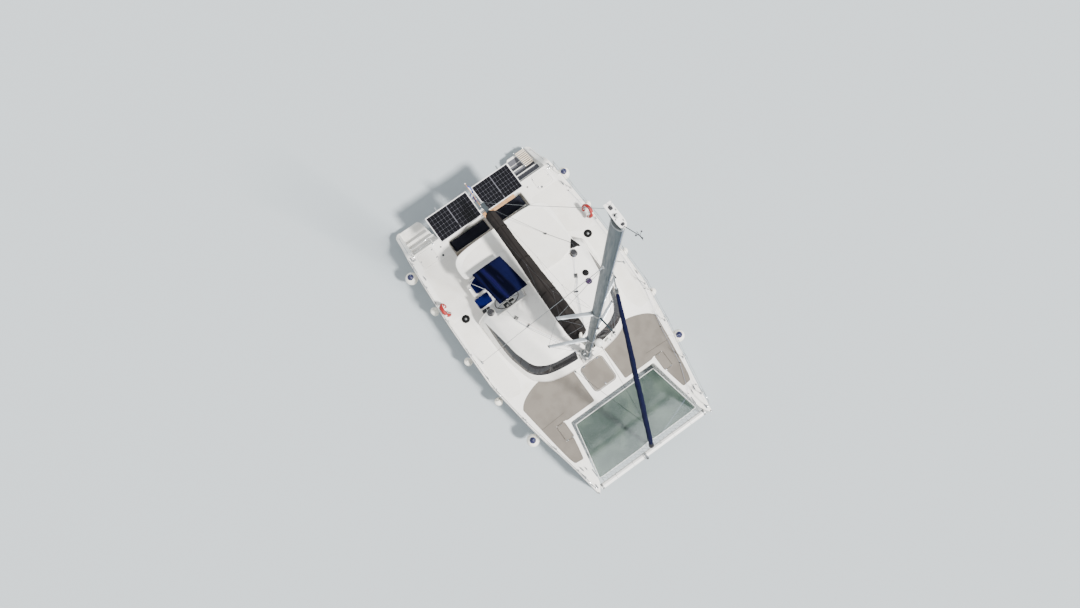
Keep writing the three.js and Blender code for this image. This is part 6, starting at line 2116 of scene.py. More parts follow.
for k in range(6):
    P.add(rbox((-2.90, 0.18 - 0.30 + 0.12 * k, 1.604), (0.70, 0.112, 0.008), 0.003), TEAK)
P.add(lathe([(0.16, 0), (0.16, 0.015), (0.06, 0.03), (0.045, 0.05), (0.042, 0.60), (0.075, 0.64), (0.09, 0.66)], 28, (-2.90, 0.18, FLOOR_Z + 0.009)), STEEL)
P.make("table_top_and_post", "hull", "teak", ["cockpit_table"])
# seat cushions of the cockpit benches, grey-blue, coloured nearly black as painted shade under the hardtop
cushion("aft_bench_cushion_stbd", -4.10, -0.80, 1.322, 0.46, 1.50, 0.09, GREYCU_SHADED, slotn="grey_canvas")
cushion("aft_bench_cushion_port", -4.10, 0.80, 1.322, 0.46, 1.50, 0.09, GREYCU_SHADED, slotn="grey_canvas")
cushion("side_bench_cushion", -3.02, 1.32, 1.322, 1.60, 0.50, 0.09, GREYCU_SHADED, slotn="grey_canvas")

# ------------------------------------------------------------------ stern steps: treads, nosings, ladder, hoops
for nm, sg in sides():
    P = Part()
    for x0, x1, z in STEPS:
        a0, a1 = max(x0, -5.90) + 0.045, x1 - 0.03
        if a1 - a0 < 0.10:
            a0 = max(x0, -5.9) + 0.035
        n_st = max(1, int(round((a1 - a0) / 0.30)))
        for k in range(n_st):
            b0, b1 = a0 + (a1 - a0) * k / n_st, a0 + (a1 - a0) * (k + 1) / n_st - (0.014 if n_st > 1 else 0)
            yi = float(inner_y((b0 + b1) / 2, z - 0.03)) + 0.06
            yo_ = STEP_Y - 0.05
            # port treads take the dark grey as painted shade under the ladder; starboard treads are white non-skid
            P.add(slab(rrect(b1 - b0, yo_ - yi, 0.02, 3) + ((b0 + b1) / 2, sg * (yi + yo_) / 2), z + 0.004, z - 0.002, 0.002, 1), NONSKID_SHADED_STEP if sg > 0 else WHITE_NS)
    # the riser that closes the head of the steps under the deck's edge
    yi = float(inner_y(-4.6, 1.44))
    P.add(rbox((-4.606, sg * (yi + STEP_Y) / 2, 1.44), (0.016, STEP_Y - yi, 0.135), 0.005), GEL)
    P.make(f"{nm}_step_treads", "hull", "gelcoat")
    P = Part()
    # steel hoop at the head of the steps, a grab rail down the bulwark
    hp = crom([(-4.545, sg * 2.06, 1.655), (-4.545, sg * 2.06, 2.25), (-4.550, sg * 2.10, 2.42), (-4.555, sg * 2.22, 2.48), (-4.555, sg * 2.45, 2.49), (-4.555, sg * 2.72, 2.48), (-4.550, sg * 2.85, 2.42), (-4.545, sg * 2.90, 2.25), (-4.545, sg * 2.90, 1.655)], 6)
    if sg < 0:
        P.add(tube(hp, 0.0145, 12), STEEL)
        P.add(tube([(-4.545, sg * 2.06, 2.05), (-4.545, sg * 2.90, 2.05)], 0.010, 10), STEEL)
        for y in (2.06, 2.90):
            P.add(lathe([(0.036, 0), (0.036, 0.006), (0.02, 0.014), (0.016, 0.03)], 16, (-4.545, sg * y, 1.651)), STEEL)
    gr = crom([(-4.78, sg * 2.99, 1.44), (-4.82, sg * 2.99, 1.55), (-4.95, sg * 2.985, 1.50), (-5.30, sg * 2.975, 1.18), (-5.60, sg * 2.965, 0.96), (-5.68, sg * 2.96, 0.86), (-5.66, sg * 2.96, 0.74)], 6)
    P.add(tube(gr, 0.0125, 10), STEEL)
    P.make(f"{nm}_stern_handrails", "hull", "stainless")

P = Part()
lx, lz, ltilt = -5.99, 0.56, math.radians(27)
Ml = np.array(Matrix.Translation((lx, 0, lz)) @ Matrix.Rotation(-ltilt, 4, "Y"))
for y in (2.415, 2.815):
    P.add(move(tube([(0, y, 0), (0.45, y, 0), (0.90, y, 0)], 0.0145, 14), Ml), STEEL)
    P.add(move(ball((0.90, y, 0), 0.0155, 12, 6), Ml), STEEL)
    P.add(move(rod((0, y - 0.02, 0), (0, y + 0.02, 0), 0.02, 14), Ml), STEEL)
P.add(move(tube([(0.895, 2.415, 0), (0.895, 2.815, 0)], 0.0145, 12), Ml), STEEL)
for k in range(9):
    P.add(move(rbox((0.085 + k * 0.1, 2.615, 0.0), (0.050, 0.385, 0.022), 0.006), Ml), SLAT)
    for y in (2.435, 2.795):
        P.add(move(lathe([(0.008, 0), (0.008, 0.003), (0.0005, 0.004)], 8, (0.085 + k * 0.1, y, 0.011)), Ml), STEEL)
P.make("ladder_rungs", "boarding_ladder", "teak", ["boarding_ladder"])
P = Part()
for y in (2.40, 2.83):
    P.add(rbox((-5.965, y, 0.535), (0.05, 0.012, 0.06), 0.004), STEEL)
P.add(rbox((-5.945, 2.615, 0.508), (0.02, 0.50, 0.02), 0.004), STEEL)
P.make("ladder_brackets", "hull", "stainless")
# ------------------------------------------------------------------ rails, stanchions, lifelines, bow hoops
STX = (-4.35, -3.35, -1.90, -0.45, 1.05, 2.50, 3.90, 5.25)
for nm, sg in sides():
    P = Part()
    posts = [np.array((x, sg * (edge_y(x) - 0.06), deck_z(x))) for x in STX]
    for i, p in enumerate(posts):
        tall = 0.628
        lean = np.array((0, sg * 0.012, tall))
        P.add(tube([p + (0, 0, 0.004), p + lean * 0.5, p + lean], 0.0125, 12), STEEL)
        P.add(ball(tuple(p + lean), 0.0135, 12, 6), STEEL)
        P.add(lathe([(0.034, 0.0), (0.034, 0.006), (0.021, 0.014), (0.0175, 0.05), (0.0135, 0.056)], 16, tuple(p + (0, 0, 0.002))), STEEL)
        P.add(slab(rrect(0.09, 0.07, 0.015, 3) + (p[0], p[1]), p[2] + 0.006, p[2] - 0.002, 0.002, 1), STEEL)
        if i:
            q = posts[i - 1]
            for h in (0.32, 0.62):
                gate = i == 4  # boarding gate amidships: its lines hang a little and end in pelican hooks
                s_ = 0.028 if gate else 0.010
                P.add(tube(sag(q + (0, sg * 0.012 * h / tall, h), p + (0, sg * 0.012 * h / tall, h), s_, 8), 0.0042, 6), WIRE)
                for e, dd in ((q, 1), (p, -1)):
                    c = e + (dd * 0.075, 0, h)
                    P.add(tube([c - (0.05, 0, 0), c + (0.05, 0, 0)], 0.0075, 8), STEEL)
    # brace of the first and last posts
    for i, dx in ((0, 0.34), (len(posts) - 1, -0.34), (3, -0.24), (4, 0.24)):
        p = posts[i]
        b = p + (dx, 0, 0.004)
        b[1] = sg * (edge_y(b[0]) - 0.06)
        P.add(tube(crom([p + (0, sg * 0.008, 0.42), (p + b) / 2 + (dx * 0.18, 0, 0.22), b], 6), 0.0095, 10), STEEL)
        P.add(lathe([(0.026, 0.0), (0.026, 0.005), (0.012, 0.012)], 14, tuple(b - (0, 0, 0.002))), STEEL)
    # bow hoop: a low seat rail that ends the lifelines
    pb = posts[-1]
    hoop = crom([pb + (0, 0, 0.62), (5.42, sg * (edge_y(5.42) - 0.055), deck_z(5.42) + 0.60), (5.60, sg * (edge_y(5.60) - 0.06), deck_z(5.6) + 0.50), (5.70, sg * (edge_y(5.7) - 0.07), deck_z(5.7) + 0.28), (5.715, sg * (edge_y(5.71) - 0.075), deck_z(5.7) + 0.003)], 7)
    P.add(tube(hoop, 0.0125, 12), STEEL)
    P.add(lathe([(0.03, 0.0), (0.03, 0.005), (0.014, 0.012)], 14, (5.715, sg * (edge_y(5.71) - 0.075), deck_z(5.71))), STEEL)
    P.make(f"{nm}_rail_set", "hull", "stainless", [f"{nm}_rail"])

# ------------------------------------------------------------------ fenders and lifebuoys
FEN = [(-4.15, .230, .560, .900), (-2.66, .145, .520, .800), (-0.44, .145, .520, .800), (1.36, .145, .520, .800), (3.18, .230, .560, .900)]
for nm, sg in sides():
    for i, (x, r, h, z) in enumerate(FEN):
        P = Part()
        cy = sg * (edge_y(x) + r + 0.03)
        big = r > 0.2
        prof = []
        if big:
            zs_ = np.linspace(-h / 2, h * 0.40, 22)
            for zz in zs_:
                u = (zz + 0.045) / (h / 2 * 0.98)
                u = max(-1, min(1, u if u < 0 else u * 0.90))
                prof.append((max(0.008, r * math.sqrt(max(0, 1 - u * u))), zz))
        else:
            for a_ in np.linspace(-PI / 2 * 0.96, 0, 8):
                prof.append((max(0.01, r * 0.98 * math.cos(a_)), -h * 0.26 + h * 0.24 * math.sin(a_)))
            for zz in np.linspace(-h * 0.20, h * 0.20, 9)[1:-1]:
                prof.append((r * (0.985 + 0.012 * math.cos(zz * 60)), zz))
            for a_ in np.linspace(0, PI / 2 * 0.80, 8):
                prof.append((max(0.03, r * 0.98 * math.cos(a_)), h * 0.22 + h * 0.22 * math.sin(a_)))
        P.add(lathe(prof, 32, (x, cy, z)), FENDER)
        zt = z + prof[-1][1]
        rt = prof[-1][0]
        # the coloured neck with its rope eye
        col = NAVYV if big else FENDER
        rn = r * (0.52 if big else 0.34)
        capz = [(rn * 1.10, zt - z - (0.058 if big else 0.02)), (rn * 1.12, zt - z - 0.035 if big else zt - z - 0.01), (rn * 0.92, zt - z + 0.004), (rn * 0.55, zt - z + 0.028), (0.030, zt - z + 0.05), (0.027, zt - z + 0.082), (0.015, zt - z + 0.09)]
        P.add(lathe(capz, 28, (x, cy, z)), col)
        P.add(lathe([(0.02, -h / 2 - 0.0), (0.03, -h / 2 + 0.012), (0.03, -h / 2 + 0.03)], 14, (x, cy, z)), col)
        # lanyard up over the edge to the lower lifeline
        top = np.array((x, cy, zt + 0.075))
        g = np.array((x + 0.03, sg * (edge_y(x) - 0.055), deck_z(x) + 0.32))
        over = np.array((x + 0.01, sg * (edge_y(x) + 0.03), deck_z(x) + 0.035))
        pth = crom([top - (0, 0, 0.02), top + (0, -sg * 0.02, 0.10), over, (over + g) / 2 + (0, 0, 0.01), g], 6)
        P.add(tube(pth, 0.0052, 7), CORDD if i % 2 else CORDB)
        P.add(ball(tuple(g), 0.015, 10, 6), CORDD if i % 2 else CORDB)
        P.make(f"{nm}_fender_{i + 1}_buoy", "hull", "fender_vinyl", [f"{nm}_fender_{i + 1}"])
    P = Part()
    pts = []
    yb = sg * (edge_y(-2.2) - 0.16)
    for k in range(40):
        a_ = math.radians(-60 + 300 * k / 39)
        zk = 2.02 + 0.205 * math.cos(a_ - PI / 2)
        pts.append((-2.2 - 0.22 * math.sin(a_ - PI / 2), yb + sg * (0.032 - (2.225 - zk) * 0.36), zk))
    pts = np.array(pts)
    rr = 0.072 * np.minimum(1, np.minimum(np.arange(40) + 1.2, 40.2 - np.arange(40)) / 3.0) ** 0.5
    P.add(tube(pts, rr, 18, flat=0.82), REDC)
    for k in (4, 13, 26, 35):  # reflective bands
        seg = pts[k - 1:k + 2]
        P.add(tube(seg, 0.0748, 18, flat=0.82), CORDW)
    P.add(tube(pts[2:-2] + (0, sg * 0.062, 0), 0.0045, 6), CORDW)
    # its holder: a wire frame clipped to the lifelines
    for dx in (-0.12, 0.12):
        P.add(tube(crom([(-2.2 + dx, yb + sg * 0.100, 2.272), (-2.2 + dx, yb + sg * 0.086, 2.12), (-2.2 + dx, yb + sg * 0.018, 1.90), (-2.2 + dx, yb - sg * 0.085, 1.752), (-2.2 + dx, yb - sg * 0.150, 1.765), (-2.2 + dx, yb - sg * 0.172, 1.82)], 5), 0.0045, 8), STEEL)
    P.make(f"{nm}_lifebuoy_horseshoe", "hull", "red_cloth", [f"{nm}_lifebuoy"])

# ------------------------------------------------------------------ cleats, winches, vents, small deck gear
def cleat(P, x, y, z, turn=0.0, k=1.0):
    M = np.array(Matrix.Translation((x, y, z)) @ Matrix.Rotation(math.radians(turn), 4, "Z"))
    P.add(move(rbox((0, 0, 0.005 * k), (0.14 * k, 0.05 * k, 0.010 * k), 0.004), M), STEEL)
    for dx in (-0.035, 0.035):
        P.add(move(tube([(dx * k, 0, 0.008 * k), (dx * k * 0.9, 0, 0.045 * k)], 0.011 * k, 10), M), STEEL)
    P.add(move(tube([(-0.115 * k, 0, 0.058 * k), (-0.07 * k, 0, 0.052 * k), (0, 0, 0.048 * k), (0.07 * k, 0, 0.052 * k), (0.115 * k, 0, 0.058 * k)],
                    np.array([0.005, 0.010, 0.012, 0.010, 0.005]) * k, 10), M), STEEL)


def winch(P, x, y, z, k=1.0, tail=True):
    pr = [(0.078, 0), (0.080, 0.010), (0.066, 0.018), (0.062, 0.030), (0.049, 0.046), (0.047, 0.085), (0.058, 0.105), (0.062, 0.112), (0.062, 0.118), (0.052, 0.122), (0.052, 0.127), (0.062, 0.131), (0.060, 0.140), (0.024, 0.144), (0.020, 0.138), (0.001, 0.138)]
    P.add(lathe([(a_ * k, b_ * k) for a_, b_ in pr], 36, (x, y, z)), WINCHM)
    for j in range(18):
        t = j * 2 * PI / 18
        P.add(rod((x + 0.0485 * k * math.cos(t), y + 0.0485 * k * math.sin(t), z + 0.048 * k), (x + 0.0475 * k * math.cos(t), y + 0.0475 * k * math.sin(t), z + 0.086 * k), 0.0022 * k, 5), CAST)
    P.add(lathe([(0.090 * k, -0.012), (0.090 * k, 0.0), (0.084 * k, 0.004)], 30, (x, y, z)), BLACK)
    P.add(lathe([(0.0625 * k, 0.1305 * k), (0.0670 * k, 0.136 * k), (0.0650 * k, 0.146 * k), (0.050 * k, 0.150 * k), (0.034 * k, 0.1475 * k), (0.032 * k, 0.1425 * k)], 34, (x, y, z)), BLACK)


def block(P, p, d, k=1.0):
    M = facing(d, (0, 0, 1), p)
    for s_ in (-1, 1):
        P.add(move(rbox((s_ * 0.012 * k, 0, 0), (0.004 * k, 0.045 * k, 0.06 * k), 0.002), M), BLACK)
    P.add(move(rod((-0.010 * k, 0, 0), (0.010 * k, 0, 0), 0.021 * k, 14), M), CAST)


G = Part()
for nm, sg in sides():
    cleat(G, -3.65, sg * 3.01, 1.6585, 0)
    cleat(G, 0.55, sg * (edge_y(0.55) - 0.075), 1.652, -1 * sg, 0.9)
    cleat(G, 4.95, sg * (edge_y(4.95) - 0.17), deck_z(4.95) + 0.002, -10 * sg)
    cleat(G, 5.02, sg * (edge_y(5.02) - 0.29), deck_z(5.02) + 0.002, -10 * sg, 0.8)
    cleat(G, -4.42, sg * 2.96, 1.652, 90, 0.9)
    # round vents in the side deck: a black ring and a white cap
    ys = sg * 2.65
    G.add(lathe([(0.146, 0.0), (0.149, 0.012), (0.130, 0.024), (0.054, 0.022), (0.050, 0.010)], 36, (-1.60, ys, 1.655)), JET)
    G.add(lathe([(0.040, 0.0), (0.042, 0.018), (0.032, 0.026), (0.001, 0.028)], 28, (-1.60, ys, 1.660)), CAST)
    # deck fillers and a solar vent on the quarter
    G.add(lathe([(0.042, 0), (0.042, 0.004), (0.030, 0.006), (0.001, 0.006)], 24, (-3.98, sg * 2.33 if sg > 0 else -2.0, 1.656)), CAST if sg > 0 else BLACK)
    G.add(lathe([(0.030, 0), (0.030, 0.004), (0.001, 0.005)], 20, (-4.28, sg * 1.90, 1.656)), BLACK)
    G.add(rbox((-3.25, sg * 1.83, 1.664), (0.26, 0.10, 0.022), 0.01), BLACK if sg > 0 else GEL)
# coachroof: a winch each side on its pad, with a rope bag aft of it, and the clutches inboard
WP = {1: (-1.10, 1.65), -1: (-1.08, -1.83)}
for sg in (1, -1):
    x, y = WP[sg]
    zr = roof_z(x + 0.02, y - sg * 0.10) - 0.02
    G.add(slab(circ(0.150, 32, (x, y)), zr + 0.020, zr - 0.14, 0.012, 3), GEL)
    winch(G, x, y, zr + 0.032, 1.48)
    WP[sg] = (x, y, zr)
    # dark mesh bag that takes the tails: by the hardtop's corner to port, on the wing's aft edge to starboard
    if sg > 0:
        rings = []
        for dd, dz in ((0.0, -0.012), (0.0, 0.010), (0.16, 0.030), (0.45, 0.036), (0.85, 0.022)):
            o = np.array([(-1.555, 1.86), (-1.27, 1.62), (-1.17, 1.985)], float)
            o = along(np.vstack([o, o[:1]]), 0.05)[:-1]
            cc = o.mean(0)
            o = cc + (o - cc) * (1 - dd)
            rings.append(np.stack([o[:, 0], o[:, 1], 2.868 - 0.30 * smooth((o[:, 0] + 1.25) / 0.20) + dz], 1))
        G.add(loft(np.array(rings)), JET)
    else:
        G.add(rbox((-1.262, -1.90, 2.43), (0.125, 0.30, 0.27), 0.035), RUBBER)
        G.add(tube([(-1.325, -2.045, 2.565), (-1.325, -1.755, 2.565), (-1.20, -1.755, 2.575), (-1.20, -2.045, 2.575)], 0.009, 6, closed=True), BLACK)
for x, y, turn in ((-0.42, 1.25, -28), (-0.42, -1.24, 28)):
    z = roof_z(x, y)
    for k in range(3):
        G.add(move(rbox((0, 0.042 * (k - 1), 0.022), (0.15, 0.032, 0.044), 0.008), np.array(Matrix.Translation((x, y, z)) @ Matrix.Rotation(math.radians(turn), 4, "Z"))), BLACK)
        G.add(move(rbox((0.03, 0.042 * (k - 1), 0.050), (0.09, 0.018, 0.012), 0.004), np.array(Matrix.Translation((x, y, z)) @ Matrix.Rotation(math.radians(turn), 4, "Z"))), CAST)
# two dark round vents on the roof's port side
for x, y in ((-0.32, 1.585), (-0.02, 1.505)):
    zz = roof_z(x, y) + 0.002
    tilt = rot("X", -14)
    G.add(move(move(lathe([(0.112, -0.03), (0.116, 0.010), (0.104, 0.024), (0.060, 0.032), (0.001, 0.034)], 36), tilt), np.array(Matrix.Translation((x, y, zz)))), JET if x < -0.2 else PLUM)
G.make("deck_fittings", "hull", "stainless")

M_ = Part()
# mast foot: a ring of turning blocks, organisers, a white dome aerial, a small windlass cover
for k in range(9):
    t = math.radians(40 + 35 * k)
    px_, py_ = 1.90 + 0.235 * math.cos(t) * 1.1, 0.235 * math.sin(t) * 1.05
    block(M_, (px_, py_, 2.40), (math.cos(t), math.sin(t), 0.35), 1.15)
    M_.add(rod((px_ - 0.05 * math.cos(t), py_ - 0.05 * math.sin(t), 2.375), (px_, py_, 2.40), 0.006, 6), STEEL)
M_.add(dome(0.145, 0.15, (1.86, 0.56, 2.36), 30, 9, z0=0.03), IVORY)
M_.add(lathe([(0.10, -0.34), (0.11, -0.02), (0.150, 0.0), (0.150, 0.03)], 30, (1.86, 0.56, 2.36)), GEL)
for x, y, z, w in ((1.98, 0.92, 2.15, 0.16), (1.92, 1.18, 2.02, 0.12), (2.02, -0.05, 2.39, 0.10)):
    M_.add(rbox((x, y, z), (0.13, w, 0.09), 0.02), IVORY)
    M_.add(rbox((x + 0.02, y + w * 0.3, z + 0.05), (0.05, 0.03, 0.03), 0.008), BLACK)
M_.make("mast_foot_gear", "hull", "black_grip")

# ------------------------------------------------------------------ under the water: keels, saildrives, propellers, rudders
def foil_ring(cx, cy, z, chord, th, lead=0.34, n=40):
    """A symmetric foil section; lead is the part of the chord ahead of cx."""
    t = np.linspace(0, 2 * PI, n, endpoint=False)
    u = 0.5 * (1 + np.cos(t))  # 1 at the trailing edge, 0 at the nose
    y = 5 * th * (0.2969 * np.sqrt(u) - 0.126 * u - 0.3516 * u ** 2 + 0.2843 * u ** 3 - 0.1015 * u ** 4)
    y = y * np.where(t <= PI, 1, -1)
    return np.stack([cx + chord * (lead - u), cy + chord * y, np.full(n, z)], 1)


for nm, sg in sides():
    y0 = sg * HULL_Y
    K = Part()
    rings = []
    for z, x0, x1, b in ((-0.46, -1.25, 1.35, .125), (-0.60, -1.20, 1.33, .121), (-0.90, -1.05, 1.25, .106), (-1.10, -0.93, 1.18, .094), (-1.155, -0.915, 1.16, .088), (-1.172, -0.90, 1.145, .078), (-1.18, -0.885, 1.13, .066)):
        r = foil_ring(0, y0, z, 1.0, 0.12, 0.5)
        u = (0.5 - r[:, 0])
        x = x1 - (x1 - x0) * u
        hw = np.abs(r[:, 1] - y0)
        yy = b * hw / hw.max() * np.sign(r[:, 1] - y0)
        rings.append(np.stack([x, y0 + yy, np.full(len(x), z)], 1))
    K.add(loft(np.array(rings)), BOTTOM)
    K.make(f"{nm}_keel_fin", "hull", "bottom_paint", [f"{nm}_keel"], weighted=False)
    D_ = Part()
    rings = []
    for z, fwd, aft_, b in ((-0.27, .17, .19, .045), (-0.45, .155, .18, .042), (-0.70, .135, .165, .038), (-0.86, .125, .155, .040), (-0.91, .12, .15, .045)):
        t = np.linspace(0, 2 * PI, 32, endpoint=False)
        x = np.where(np.cos(t) > 0, fwd * np.cos(t), aft_ * np.cos(t))
        rings.append(np.stack([-4.08 + x, y0 + b * np.sin(t) * (1 - 0.25 * np.clip(-np.cos(t), 0, 1)), np.full(32, z)], 1))
    D_.add(loft(np.array(rings)), BOTTOM)
    D_.add(lathe([(0.001, -3.905), (0.02, -3.908), (0.045, -3.93), (0.060, -3.97), (0.065, -4.03), (0.065, -4.26), (0.060, -4.30), (0.058, -4.33)][::-1], 30, (0, y0, -0.93), "x"), CAST)
    D_.add(rbox((-4.05, y0, -1.02), (0.16, 0.018, 0.11), 0.008), CAST)
    # the anode ring, the water intakes and the rubber fairing against the hull
    D_.add(tube([(-4.285, y0, -0.93), (-4.305, y0, -0.93)], np.array([0.0665, 0.0665]), 28), ENGINE)
    for k in range(4):
        for s_ in (-1, 1):
            D_.add(rbox((-4.0, y0 + s_ * 0.0385, -0.66 - 0.028 * k), (0.05, 0.004, 0.010), 0.0015), BLACK)
    D_.add(slab(np.stack([-4.09 + 0.235 * np.cos(t), y0 + 0.085 * np.sin(t)], 1), -0.385, -0.425, 0.006, 2), RUBBER)
    D_.make(f"{nm}_saildrive_leg", "hull", "cast_metal", [f"{nm}_saildrive"])
    Pr = Part()
    Pr.add(lathe([(0.001, -4.470), (0.012, -4.469), (0.034, -4.455), (0.050, -4.43), (0.059, -4.39), (0.060, -4.345), (0.054, -4.337)], 28, (0, y0, -0.93), "x"), BRONZE)
    for k in range(3):
        blade = []
        for r_, ch, pit, sk_ in ((0.045, 0.050, 62, 0.0), (0.09, 0.092, 52, 0.004), (0.135, 0.118, 42, 0.010), (0.175, 0.110, 34, 0.012), (0.205, 0.072, 29, 0.008), (0.219, 0.024, 27, 0.0)):
            a_ = np.linspace(0, 2 * PI, 20, endpoint=False)
            u_, v_ = ch / 2 * np.cos(a_), (0.0085 - 0.03 * max(0, r_ - 0.05)) * np.sin(a_)
            v_ = v_ * (0.0085 / 0.0085)
            p_ = math.radians(pit)
            ax = u_ * math.sin(p_) + v_ * math.cos(p_)
            ta = u_ * math.cos(p_) - v_ * math.sin(p_) + sk_
            blade.append(np.stack([-4.395 + ax, ta, np.full(20, r_)], 1))
        Mb = np.array(Matrix.Translation((0, y0, -0.93)) @ Matrix.Rotation(2 * PI * k / 3, 4, "X"))
        Pr.add(move(loft(np.array(blade)), Mb), BRONZE)
    Pr.make(f"{nm}_propeller_blades", f"{nm}_propeller", "bronze", [f"{nm}_propeller"])
    Ru = Part()
    rings = []
    for z, c, th in ((-0.337, .430, .118), (-0.345, .440, .130), (-0.60, .405, .135), (-0.85, .366, .135), (-1.03, .337, .135), (-1.062, .326, .118), (-1.074, .300, .09), (-1.080, .262, .055)):
        rings.append(foil_ring(-5.15, y0, z, c, th, 0.32))
    Ru.add(loft(np.array(rings)), BOTTOM)
    Ru.add(rod((-5.15, y0, -0.40), (-5.15, y0, 0.118), 0.0275, 24), STEEL)
    Ru.add(lathe([(0.040, 0), (0.040, 0.018), (0.028, 0.02)], 24, (-5.15, y0, -0.335)), BRONZE)
    Ru.make(f"{nm}_rudder_blade", f"{nm}_rudder", "bottom_paint", [f"{nm}_rudder"])
    # engine in its room
    E = Part()
    E.add(rbox((-4.20, y0, 0.27), (0.44, 0.24, 0.30), 0.03), ENGINE)
    E.add(rbox((-4.18, y0, 0.455), (0.40, 0.20, 0.10), 0.025), ENGINE)
    E.add(rbox((-4.18, y0, 0.535), (0.34, 0.13, 0.09), 0.03), ENGINE)
    for k in range(3):
        E.add(rbox((-4.29 + 0.11 * k, y0 + 0.115, 0.50), (0.035, 0.05, 0.05), 0.01), CAST)
        E.add(tube(crom([(-4.29 + 0.11 * k, y0 + 0.135, 0.50), (-4.29 + 0.11 * k, y0 + 0.165, 0.44), (-4.25 + 0.08 * k, y0 + 0.168, 0.36)], 4), 0.004, 6), STEEL)
    E.add(rbox((-4.17, y0 - 0.155, 0.40), (0.30, 0.09, 0.13), 0.03), CAST)   # exhaust manifold and elbow
    E.add(tube(crom([(-4.32, y0 - 0.155, 0.42), (-4.40, y0 - 0.155, 0.46), (-4.43, y0 - 0.15, 0.38), (-4.43, y0 - 0.14, 0.22)], 5), 0.034, 14), RUBBER)
    E.add(lathe([(0.001, -3.972), (0.085, -3.972), (0.088, -3.985), (0.070, -3.992), (0.070, -4.000)], 28, (0, y0, 0.22), "x"), BLACK)  # pulleys
    E.add(lathe([(0.001, -3.974), (0.045, -3.974), (0.047, -3.985), (0.04, -4.0)], 22, (0, y0 + 0.13, 0.36), "x"), BLACK)
    E.add(tube([(-3.98, y0 + 0.09, 0.24), (-3.98, y0 + 0.175, 0.355), (-3.98, y0 + 0.13, 0.407), (-3.98, y0 - 0.03, 0.305), (-3.98, y0 - 0.08, 0.22), (-3.98, y0, 0.135)], 0.006, 6, closed=True), RUBBER)
    E.add(lathe([(0.001, 0.0), (0.045, 0.0), (0.048, 0.008), (0.048, 0.10), (0.03, 0.11)], 20, (-4.12, y0 + 0.16, 0.17)), BLACK)  # oil filter
    E.add(dome(0.10, 0.05, (-4.36, y0, 0.58), 24, 6), BLACK)  # air filter
    E.add(lathe([(0.10, 0), (0.10, 0.035)], 24, (-4.36, y0, 0.545)), BLACK)
    E.add(rbox((-4.42, y0, 0.20), (0.10, 0.30, 0.26), 0.04), CAST)  # drive housing
    for dx in (-0.17, 0.17):
        for s_ in (-1, 1):
            E.add(rbox((-4.20 + dx, y0 + s_ * 0.165, 0.145), (0.06, 0.08, 0.012), 0.004), STEEL)
            E.add(lathe([(0.03, 0), (0.034, 0.02), (0.022, 0.06)], 16, (-4.20 + dx, y0 + s_ * 0.18, 0.075)), RUBBER)
    for s_ in (-1, 1):
        E.add(rbox((-4.20, y0 + s_ * 0.18, 0.068), (0.46, 0.05, 0.016), 0.005), CAST)
    E.make(f"{nm}_engine_block", "hull", "cast_metal", [f"{nm}_engine"])

# ------------------------------------------------------------------ running rigging that stays taut
R1 = Part()


def ceye(P, p, nrm=(0, 0, 1)):
    """A pad eye: a small plate with a bail."""
    M = facing(nrm, (1, 0, 0), p)
    P.add(move(slab(rrect(0.075, 0.035, 0.014, 4), 0.004, -0.002, 0.001, 1), M), STEEL)
    P.add(move(tube(crom([(-0.022, 0, 0), (-0.018, 0, 0.022), (0, 0, 0.032), (0.018, 0, 0.022), (0.022, 0, 0)], 4), 0.004, 7), M), STEEL)


def turning_block(P, p, d, k=1.0):
    """A round block on its eye, its cheeks facing d."""
    M = facing(d, (0, 0, 1), p)
    P.add(move(lathe([(0.001, -0.017 * k), (0.030 * k, -0.017 * k), (0.034 * k, -0.012 * k), (0.034 * k, -0.008 * k), (0.024 * k, -0.005 * k), (0.024 * k, 0.005 * k), (0.034 * k, 0.008 * k), (0.034 * k, 0.012 * k),
                      (0.030 * k, 0.017 * k), (0.001, 0.017 * k)], 24), M), BLACK)
    P.add(move(rod((0, 0, -0.020 * k), (0, 0, 0.020 * k), 0.008 * k, 10), M), STEEL)


def led(P, pts, r, mat, lift=0.028):
    """A line pulled straight along the roof from point to point, just over its surface."""
    path = []
    for a_, b_ in zip(pts[:-1], pts[1:]):
        n_ = max(2, int(math.dist(a_[:2], b_[:2]) / 0.12))
        for i in range(n_):
            t = i / n_
            q = np.array(a_) + (np.array(b_) - np.array(a_)) * t
            path.append(q)
    path.append(np.array(pts[-1], float))
    path = np.array(path)
    for i in range(1, len(path) - 1):
        path[i, 2] = max(path[i, 2], roof_z(path[i, 0], path[i, 1]) + lift)
    P.add(tube(path, r, 7), mat)


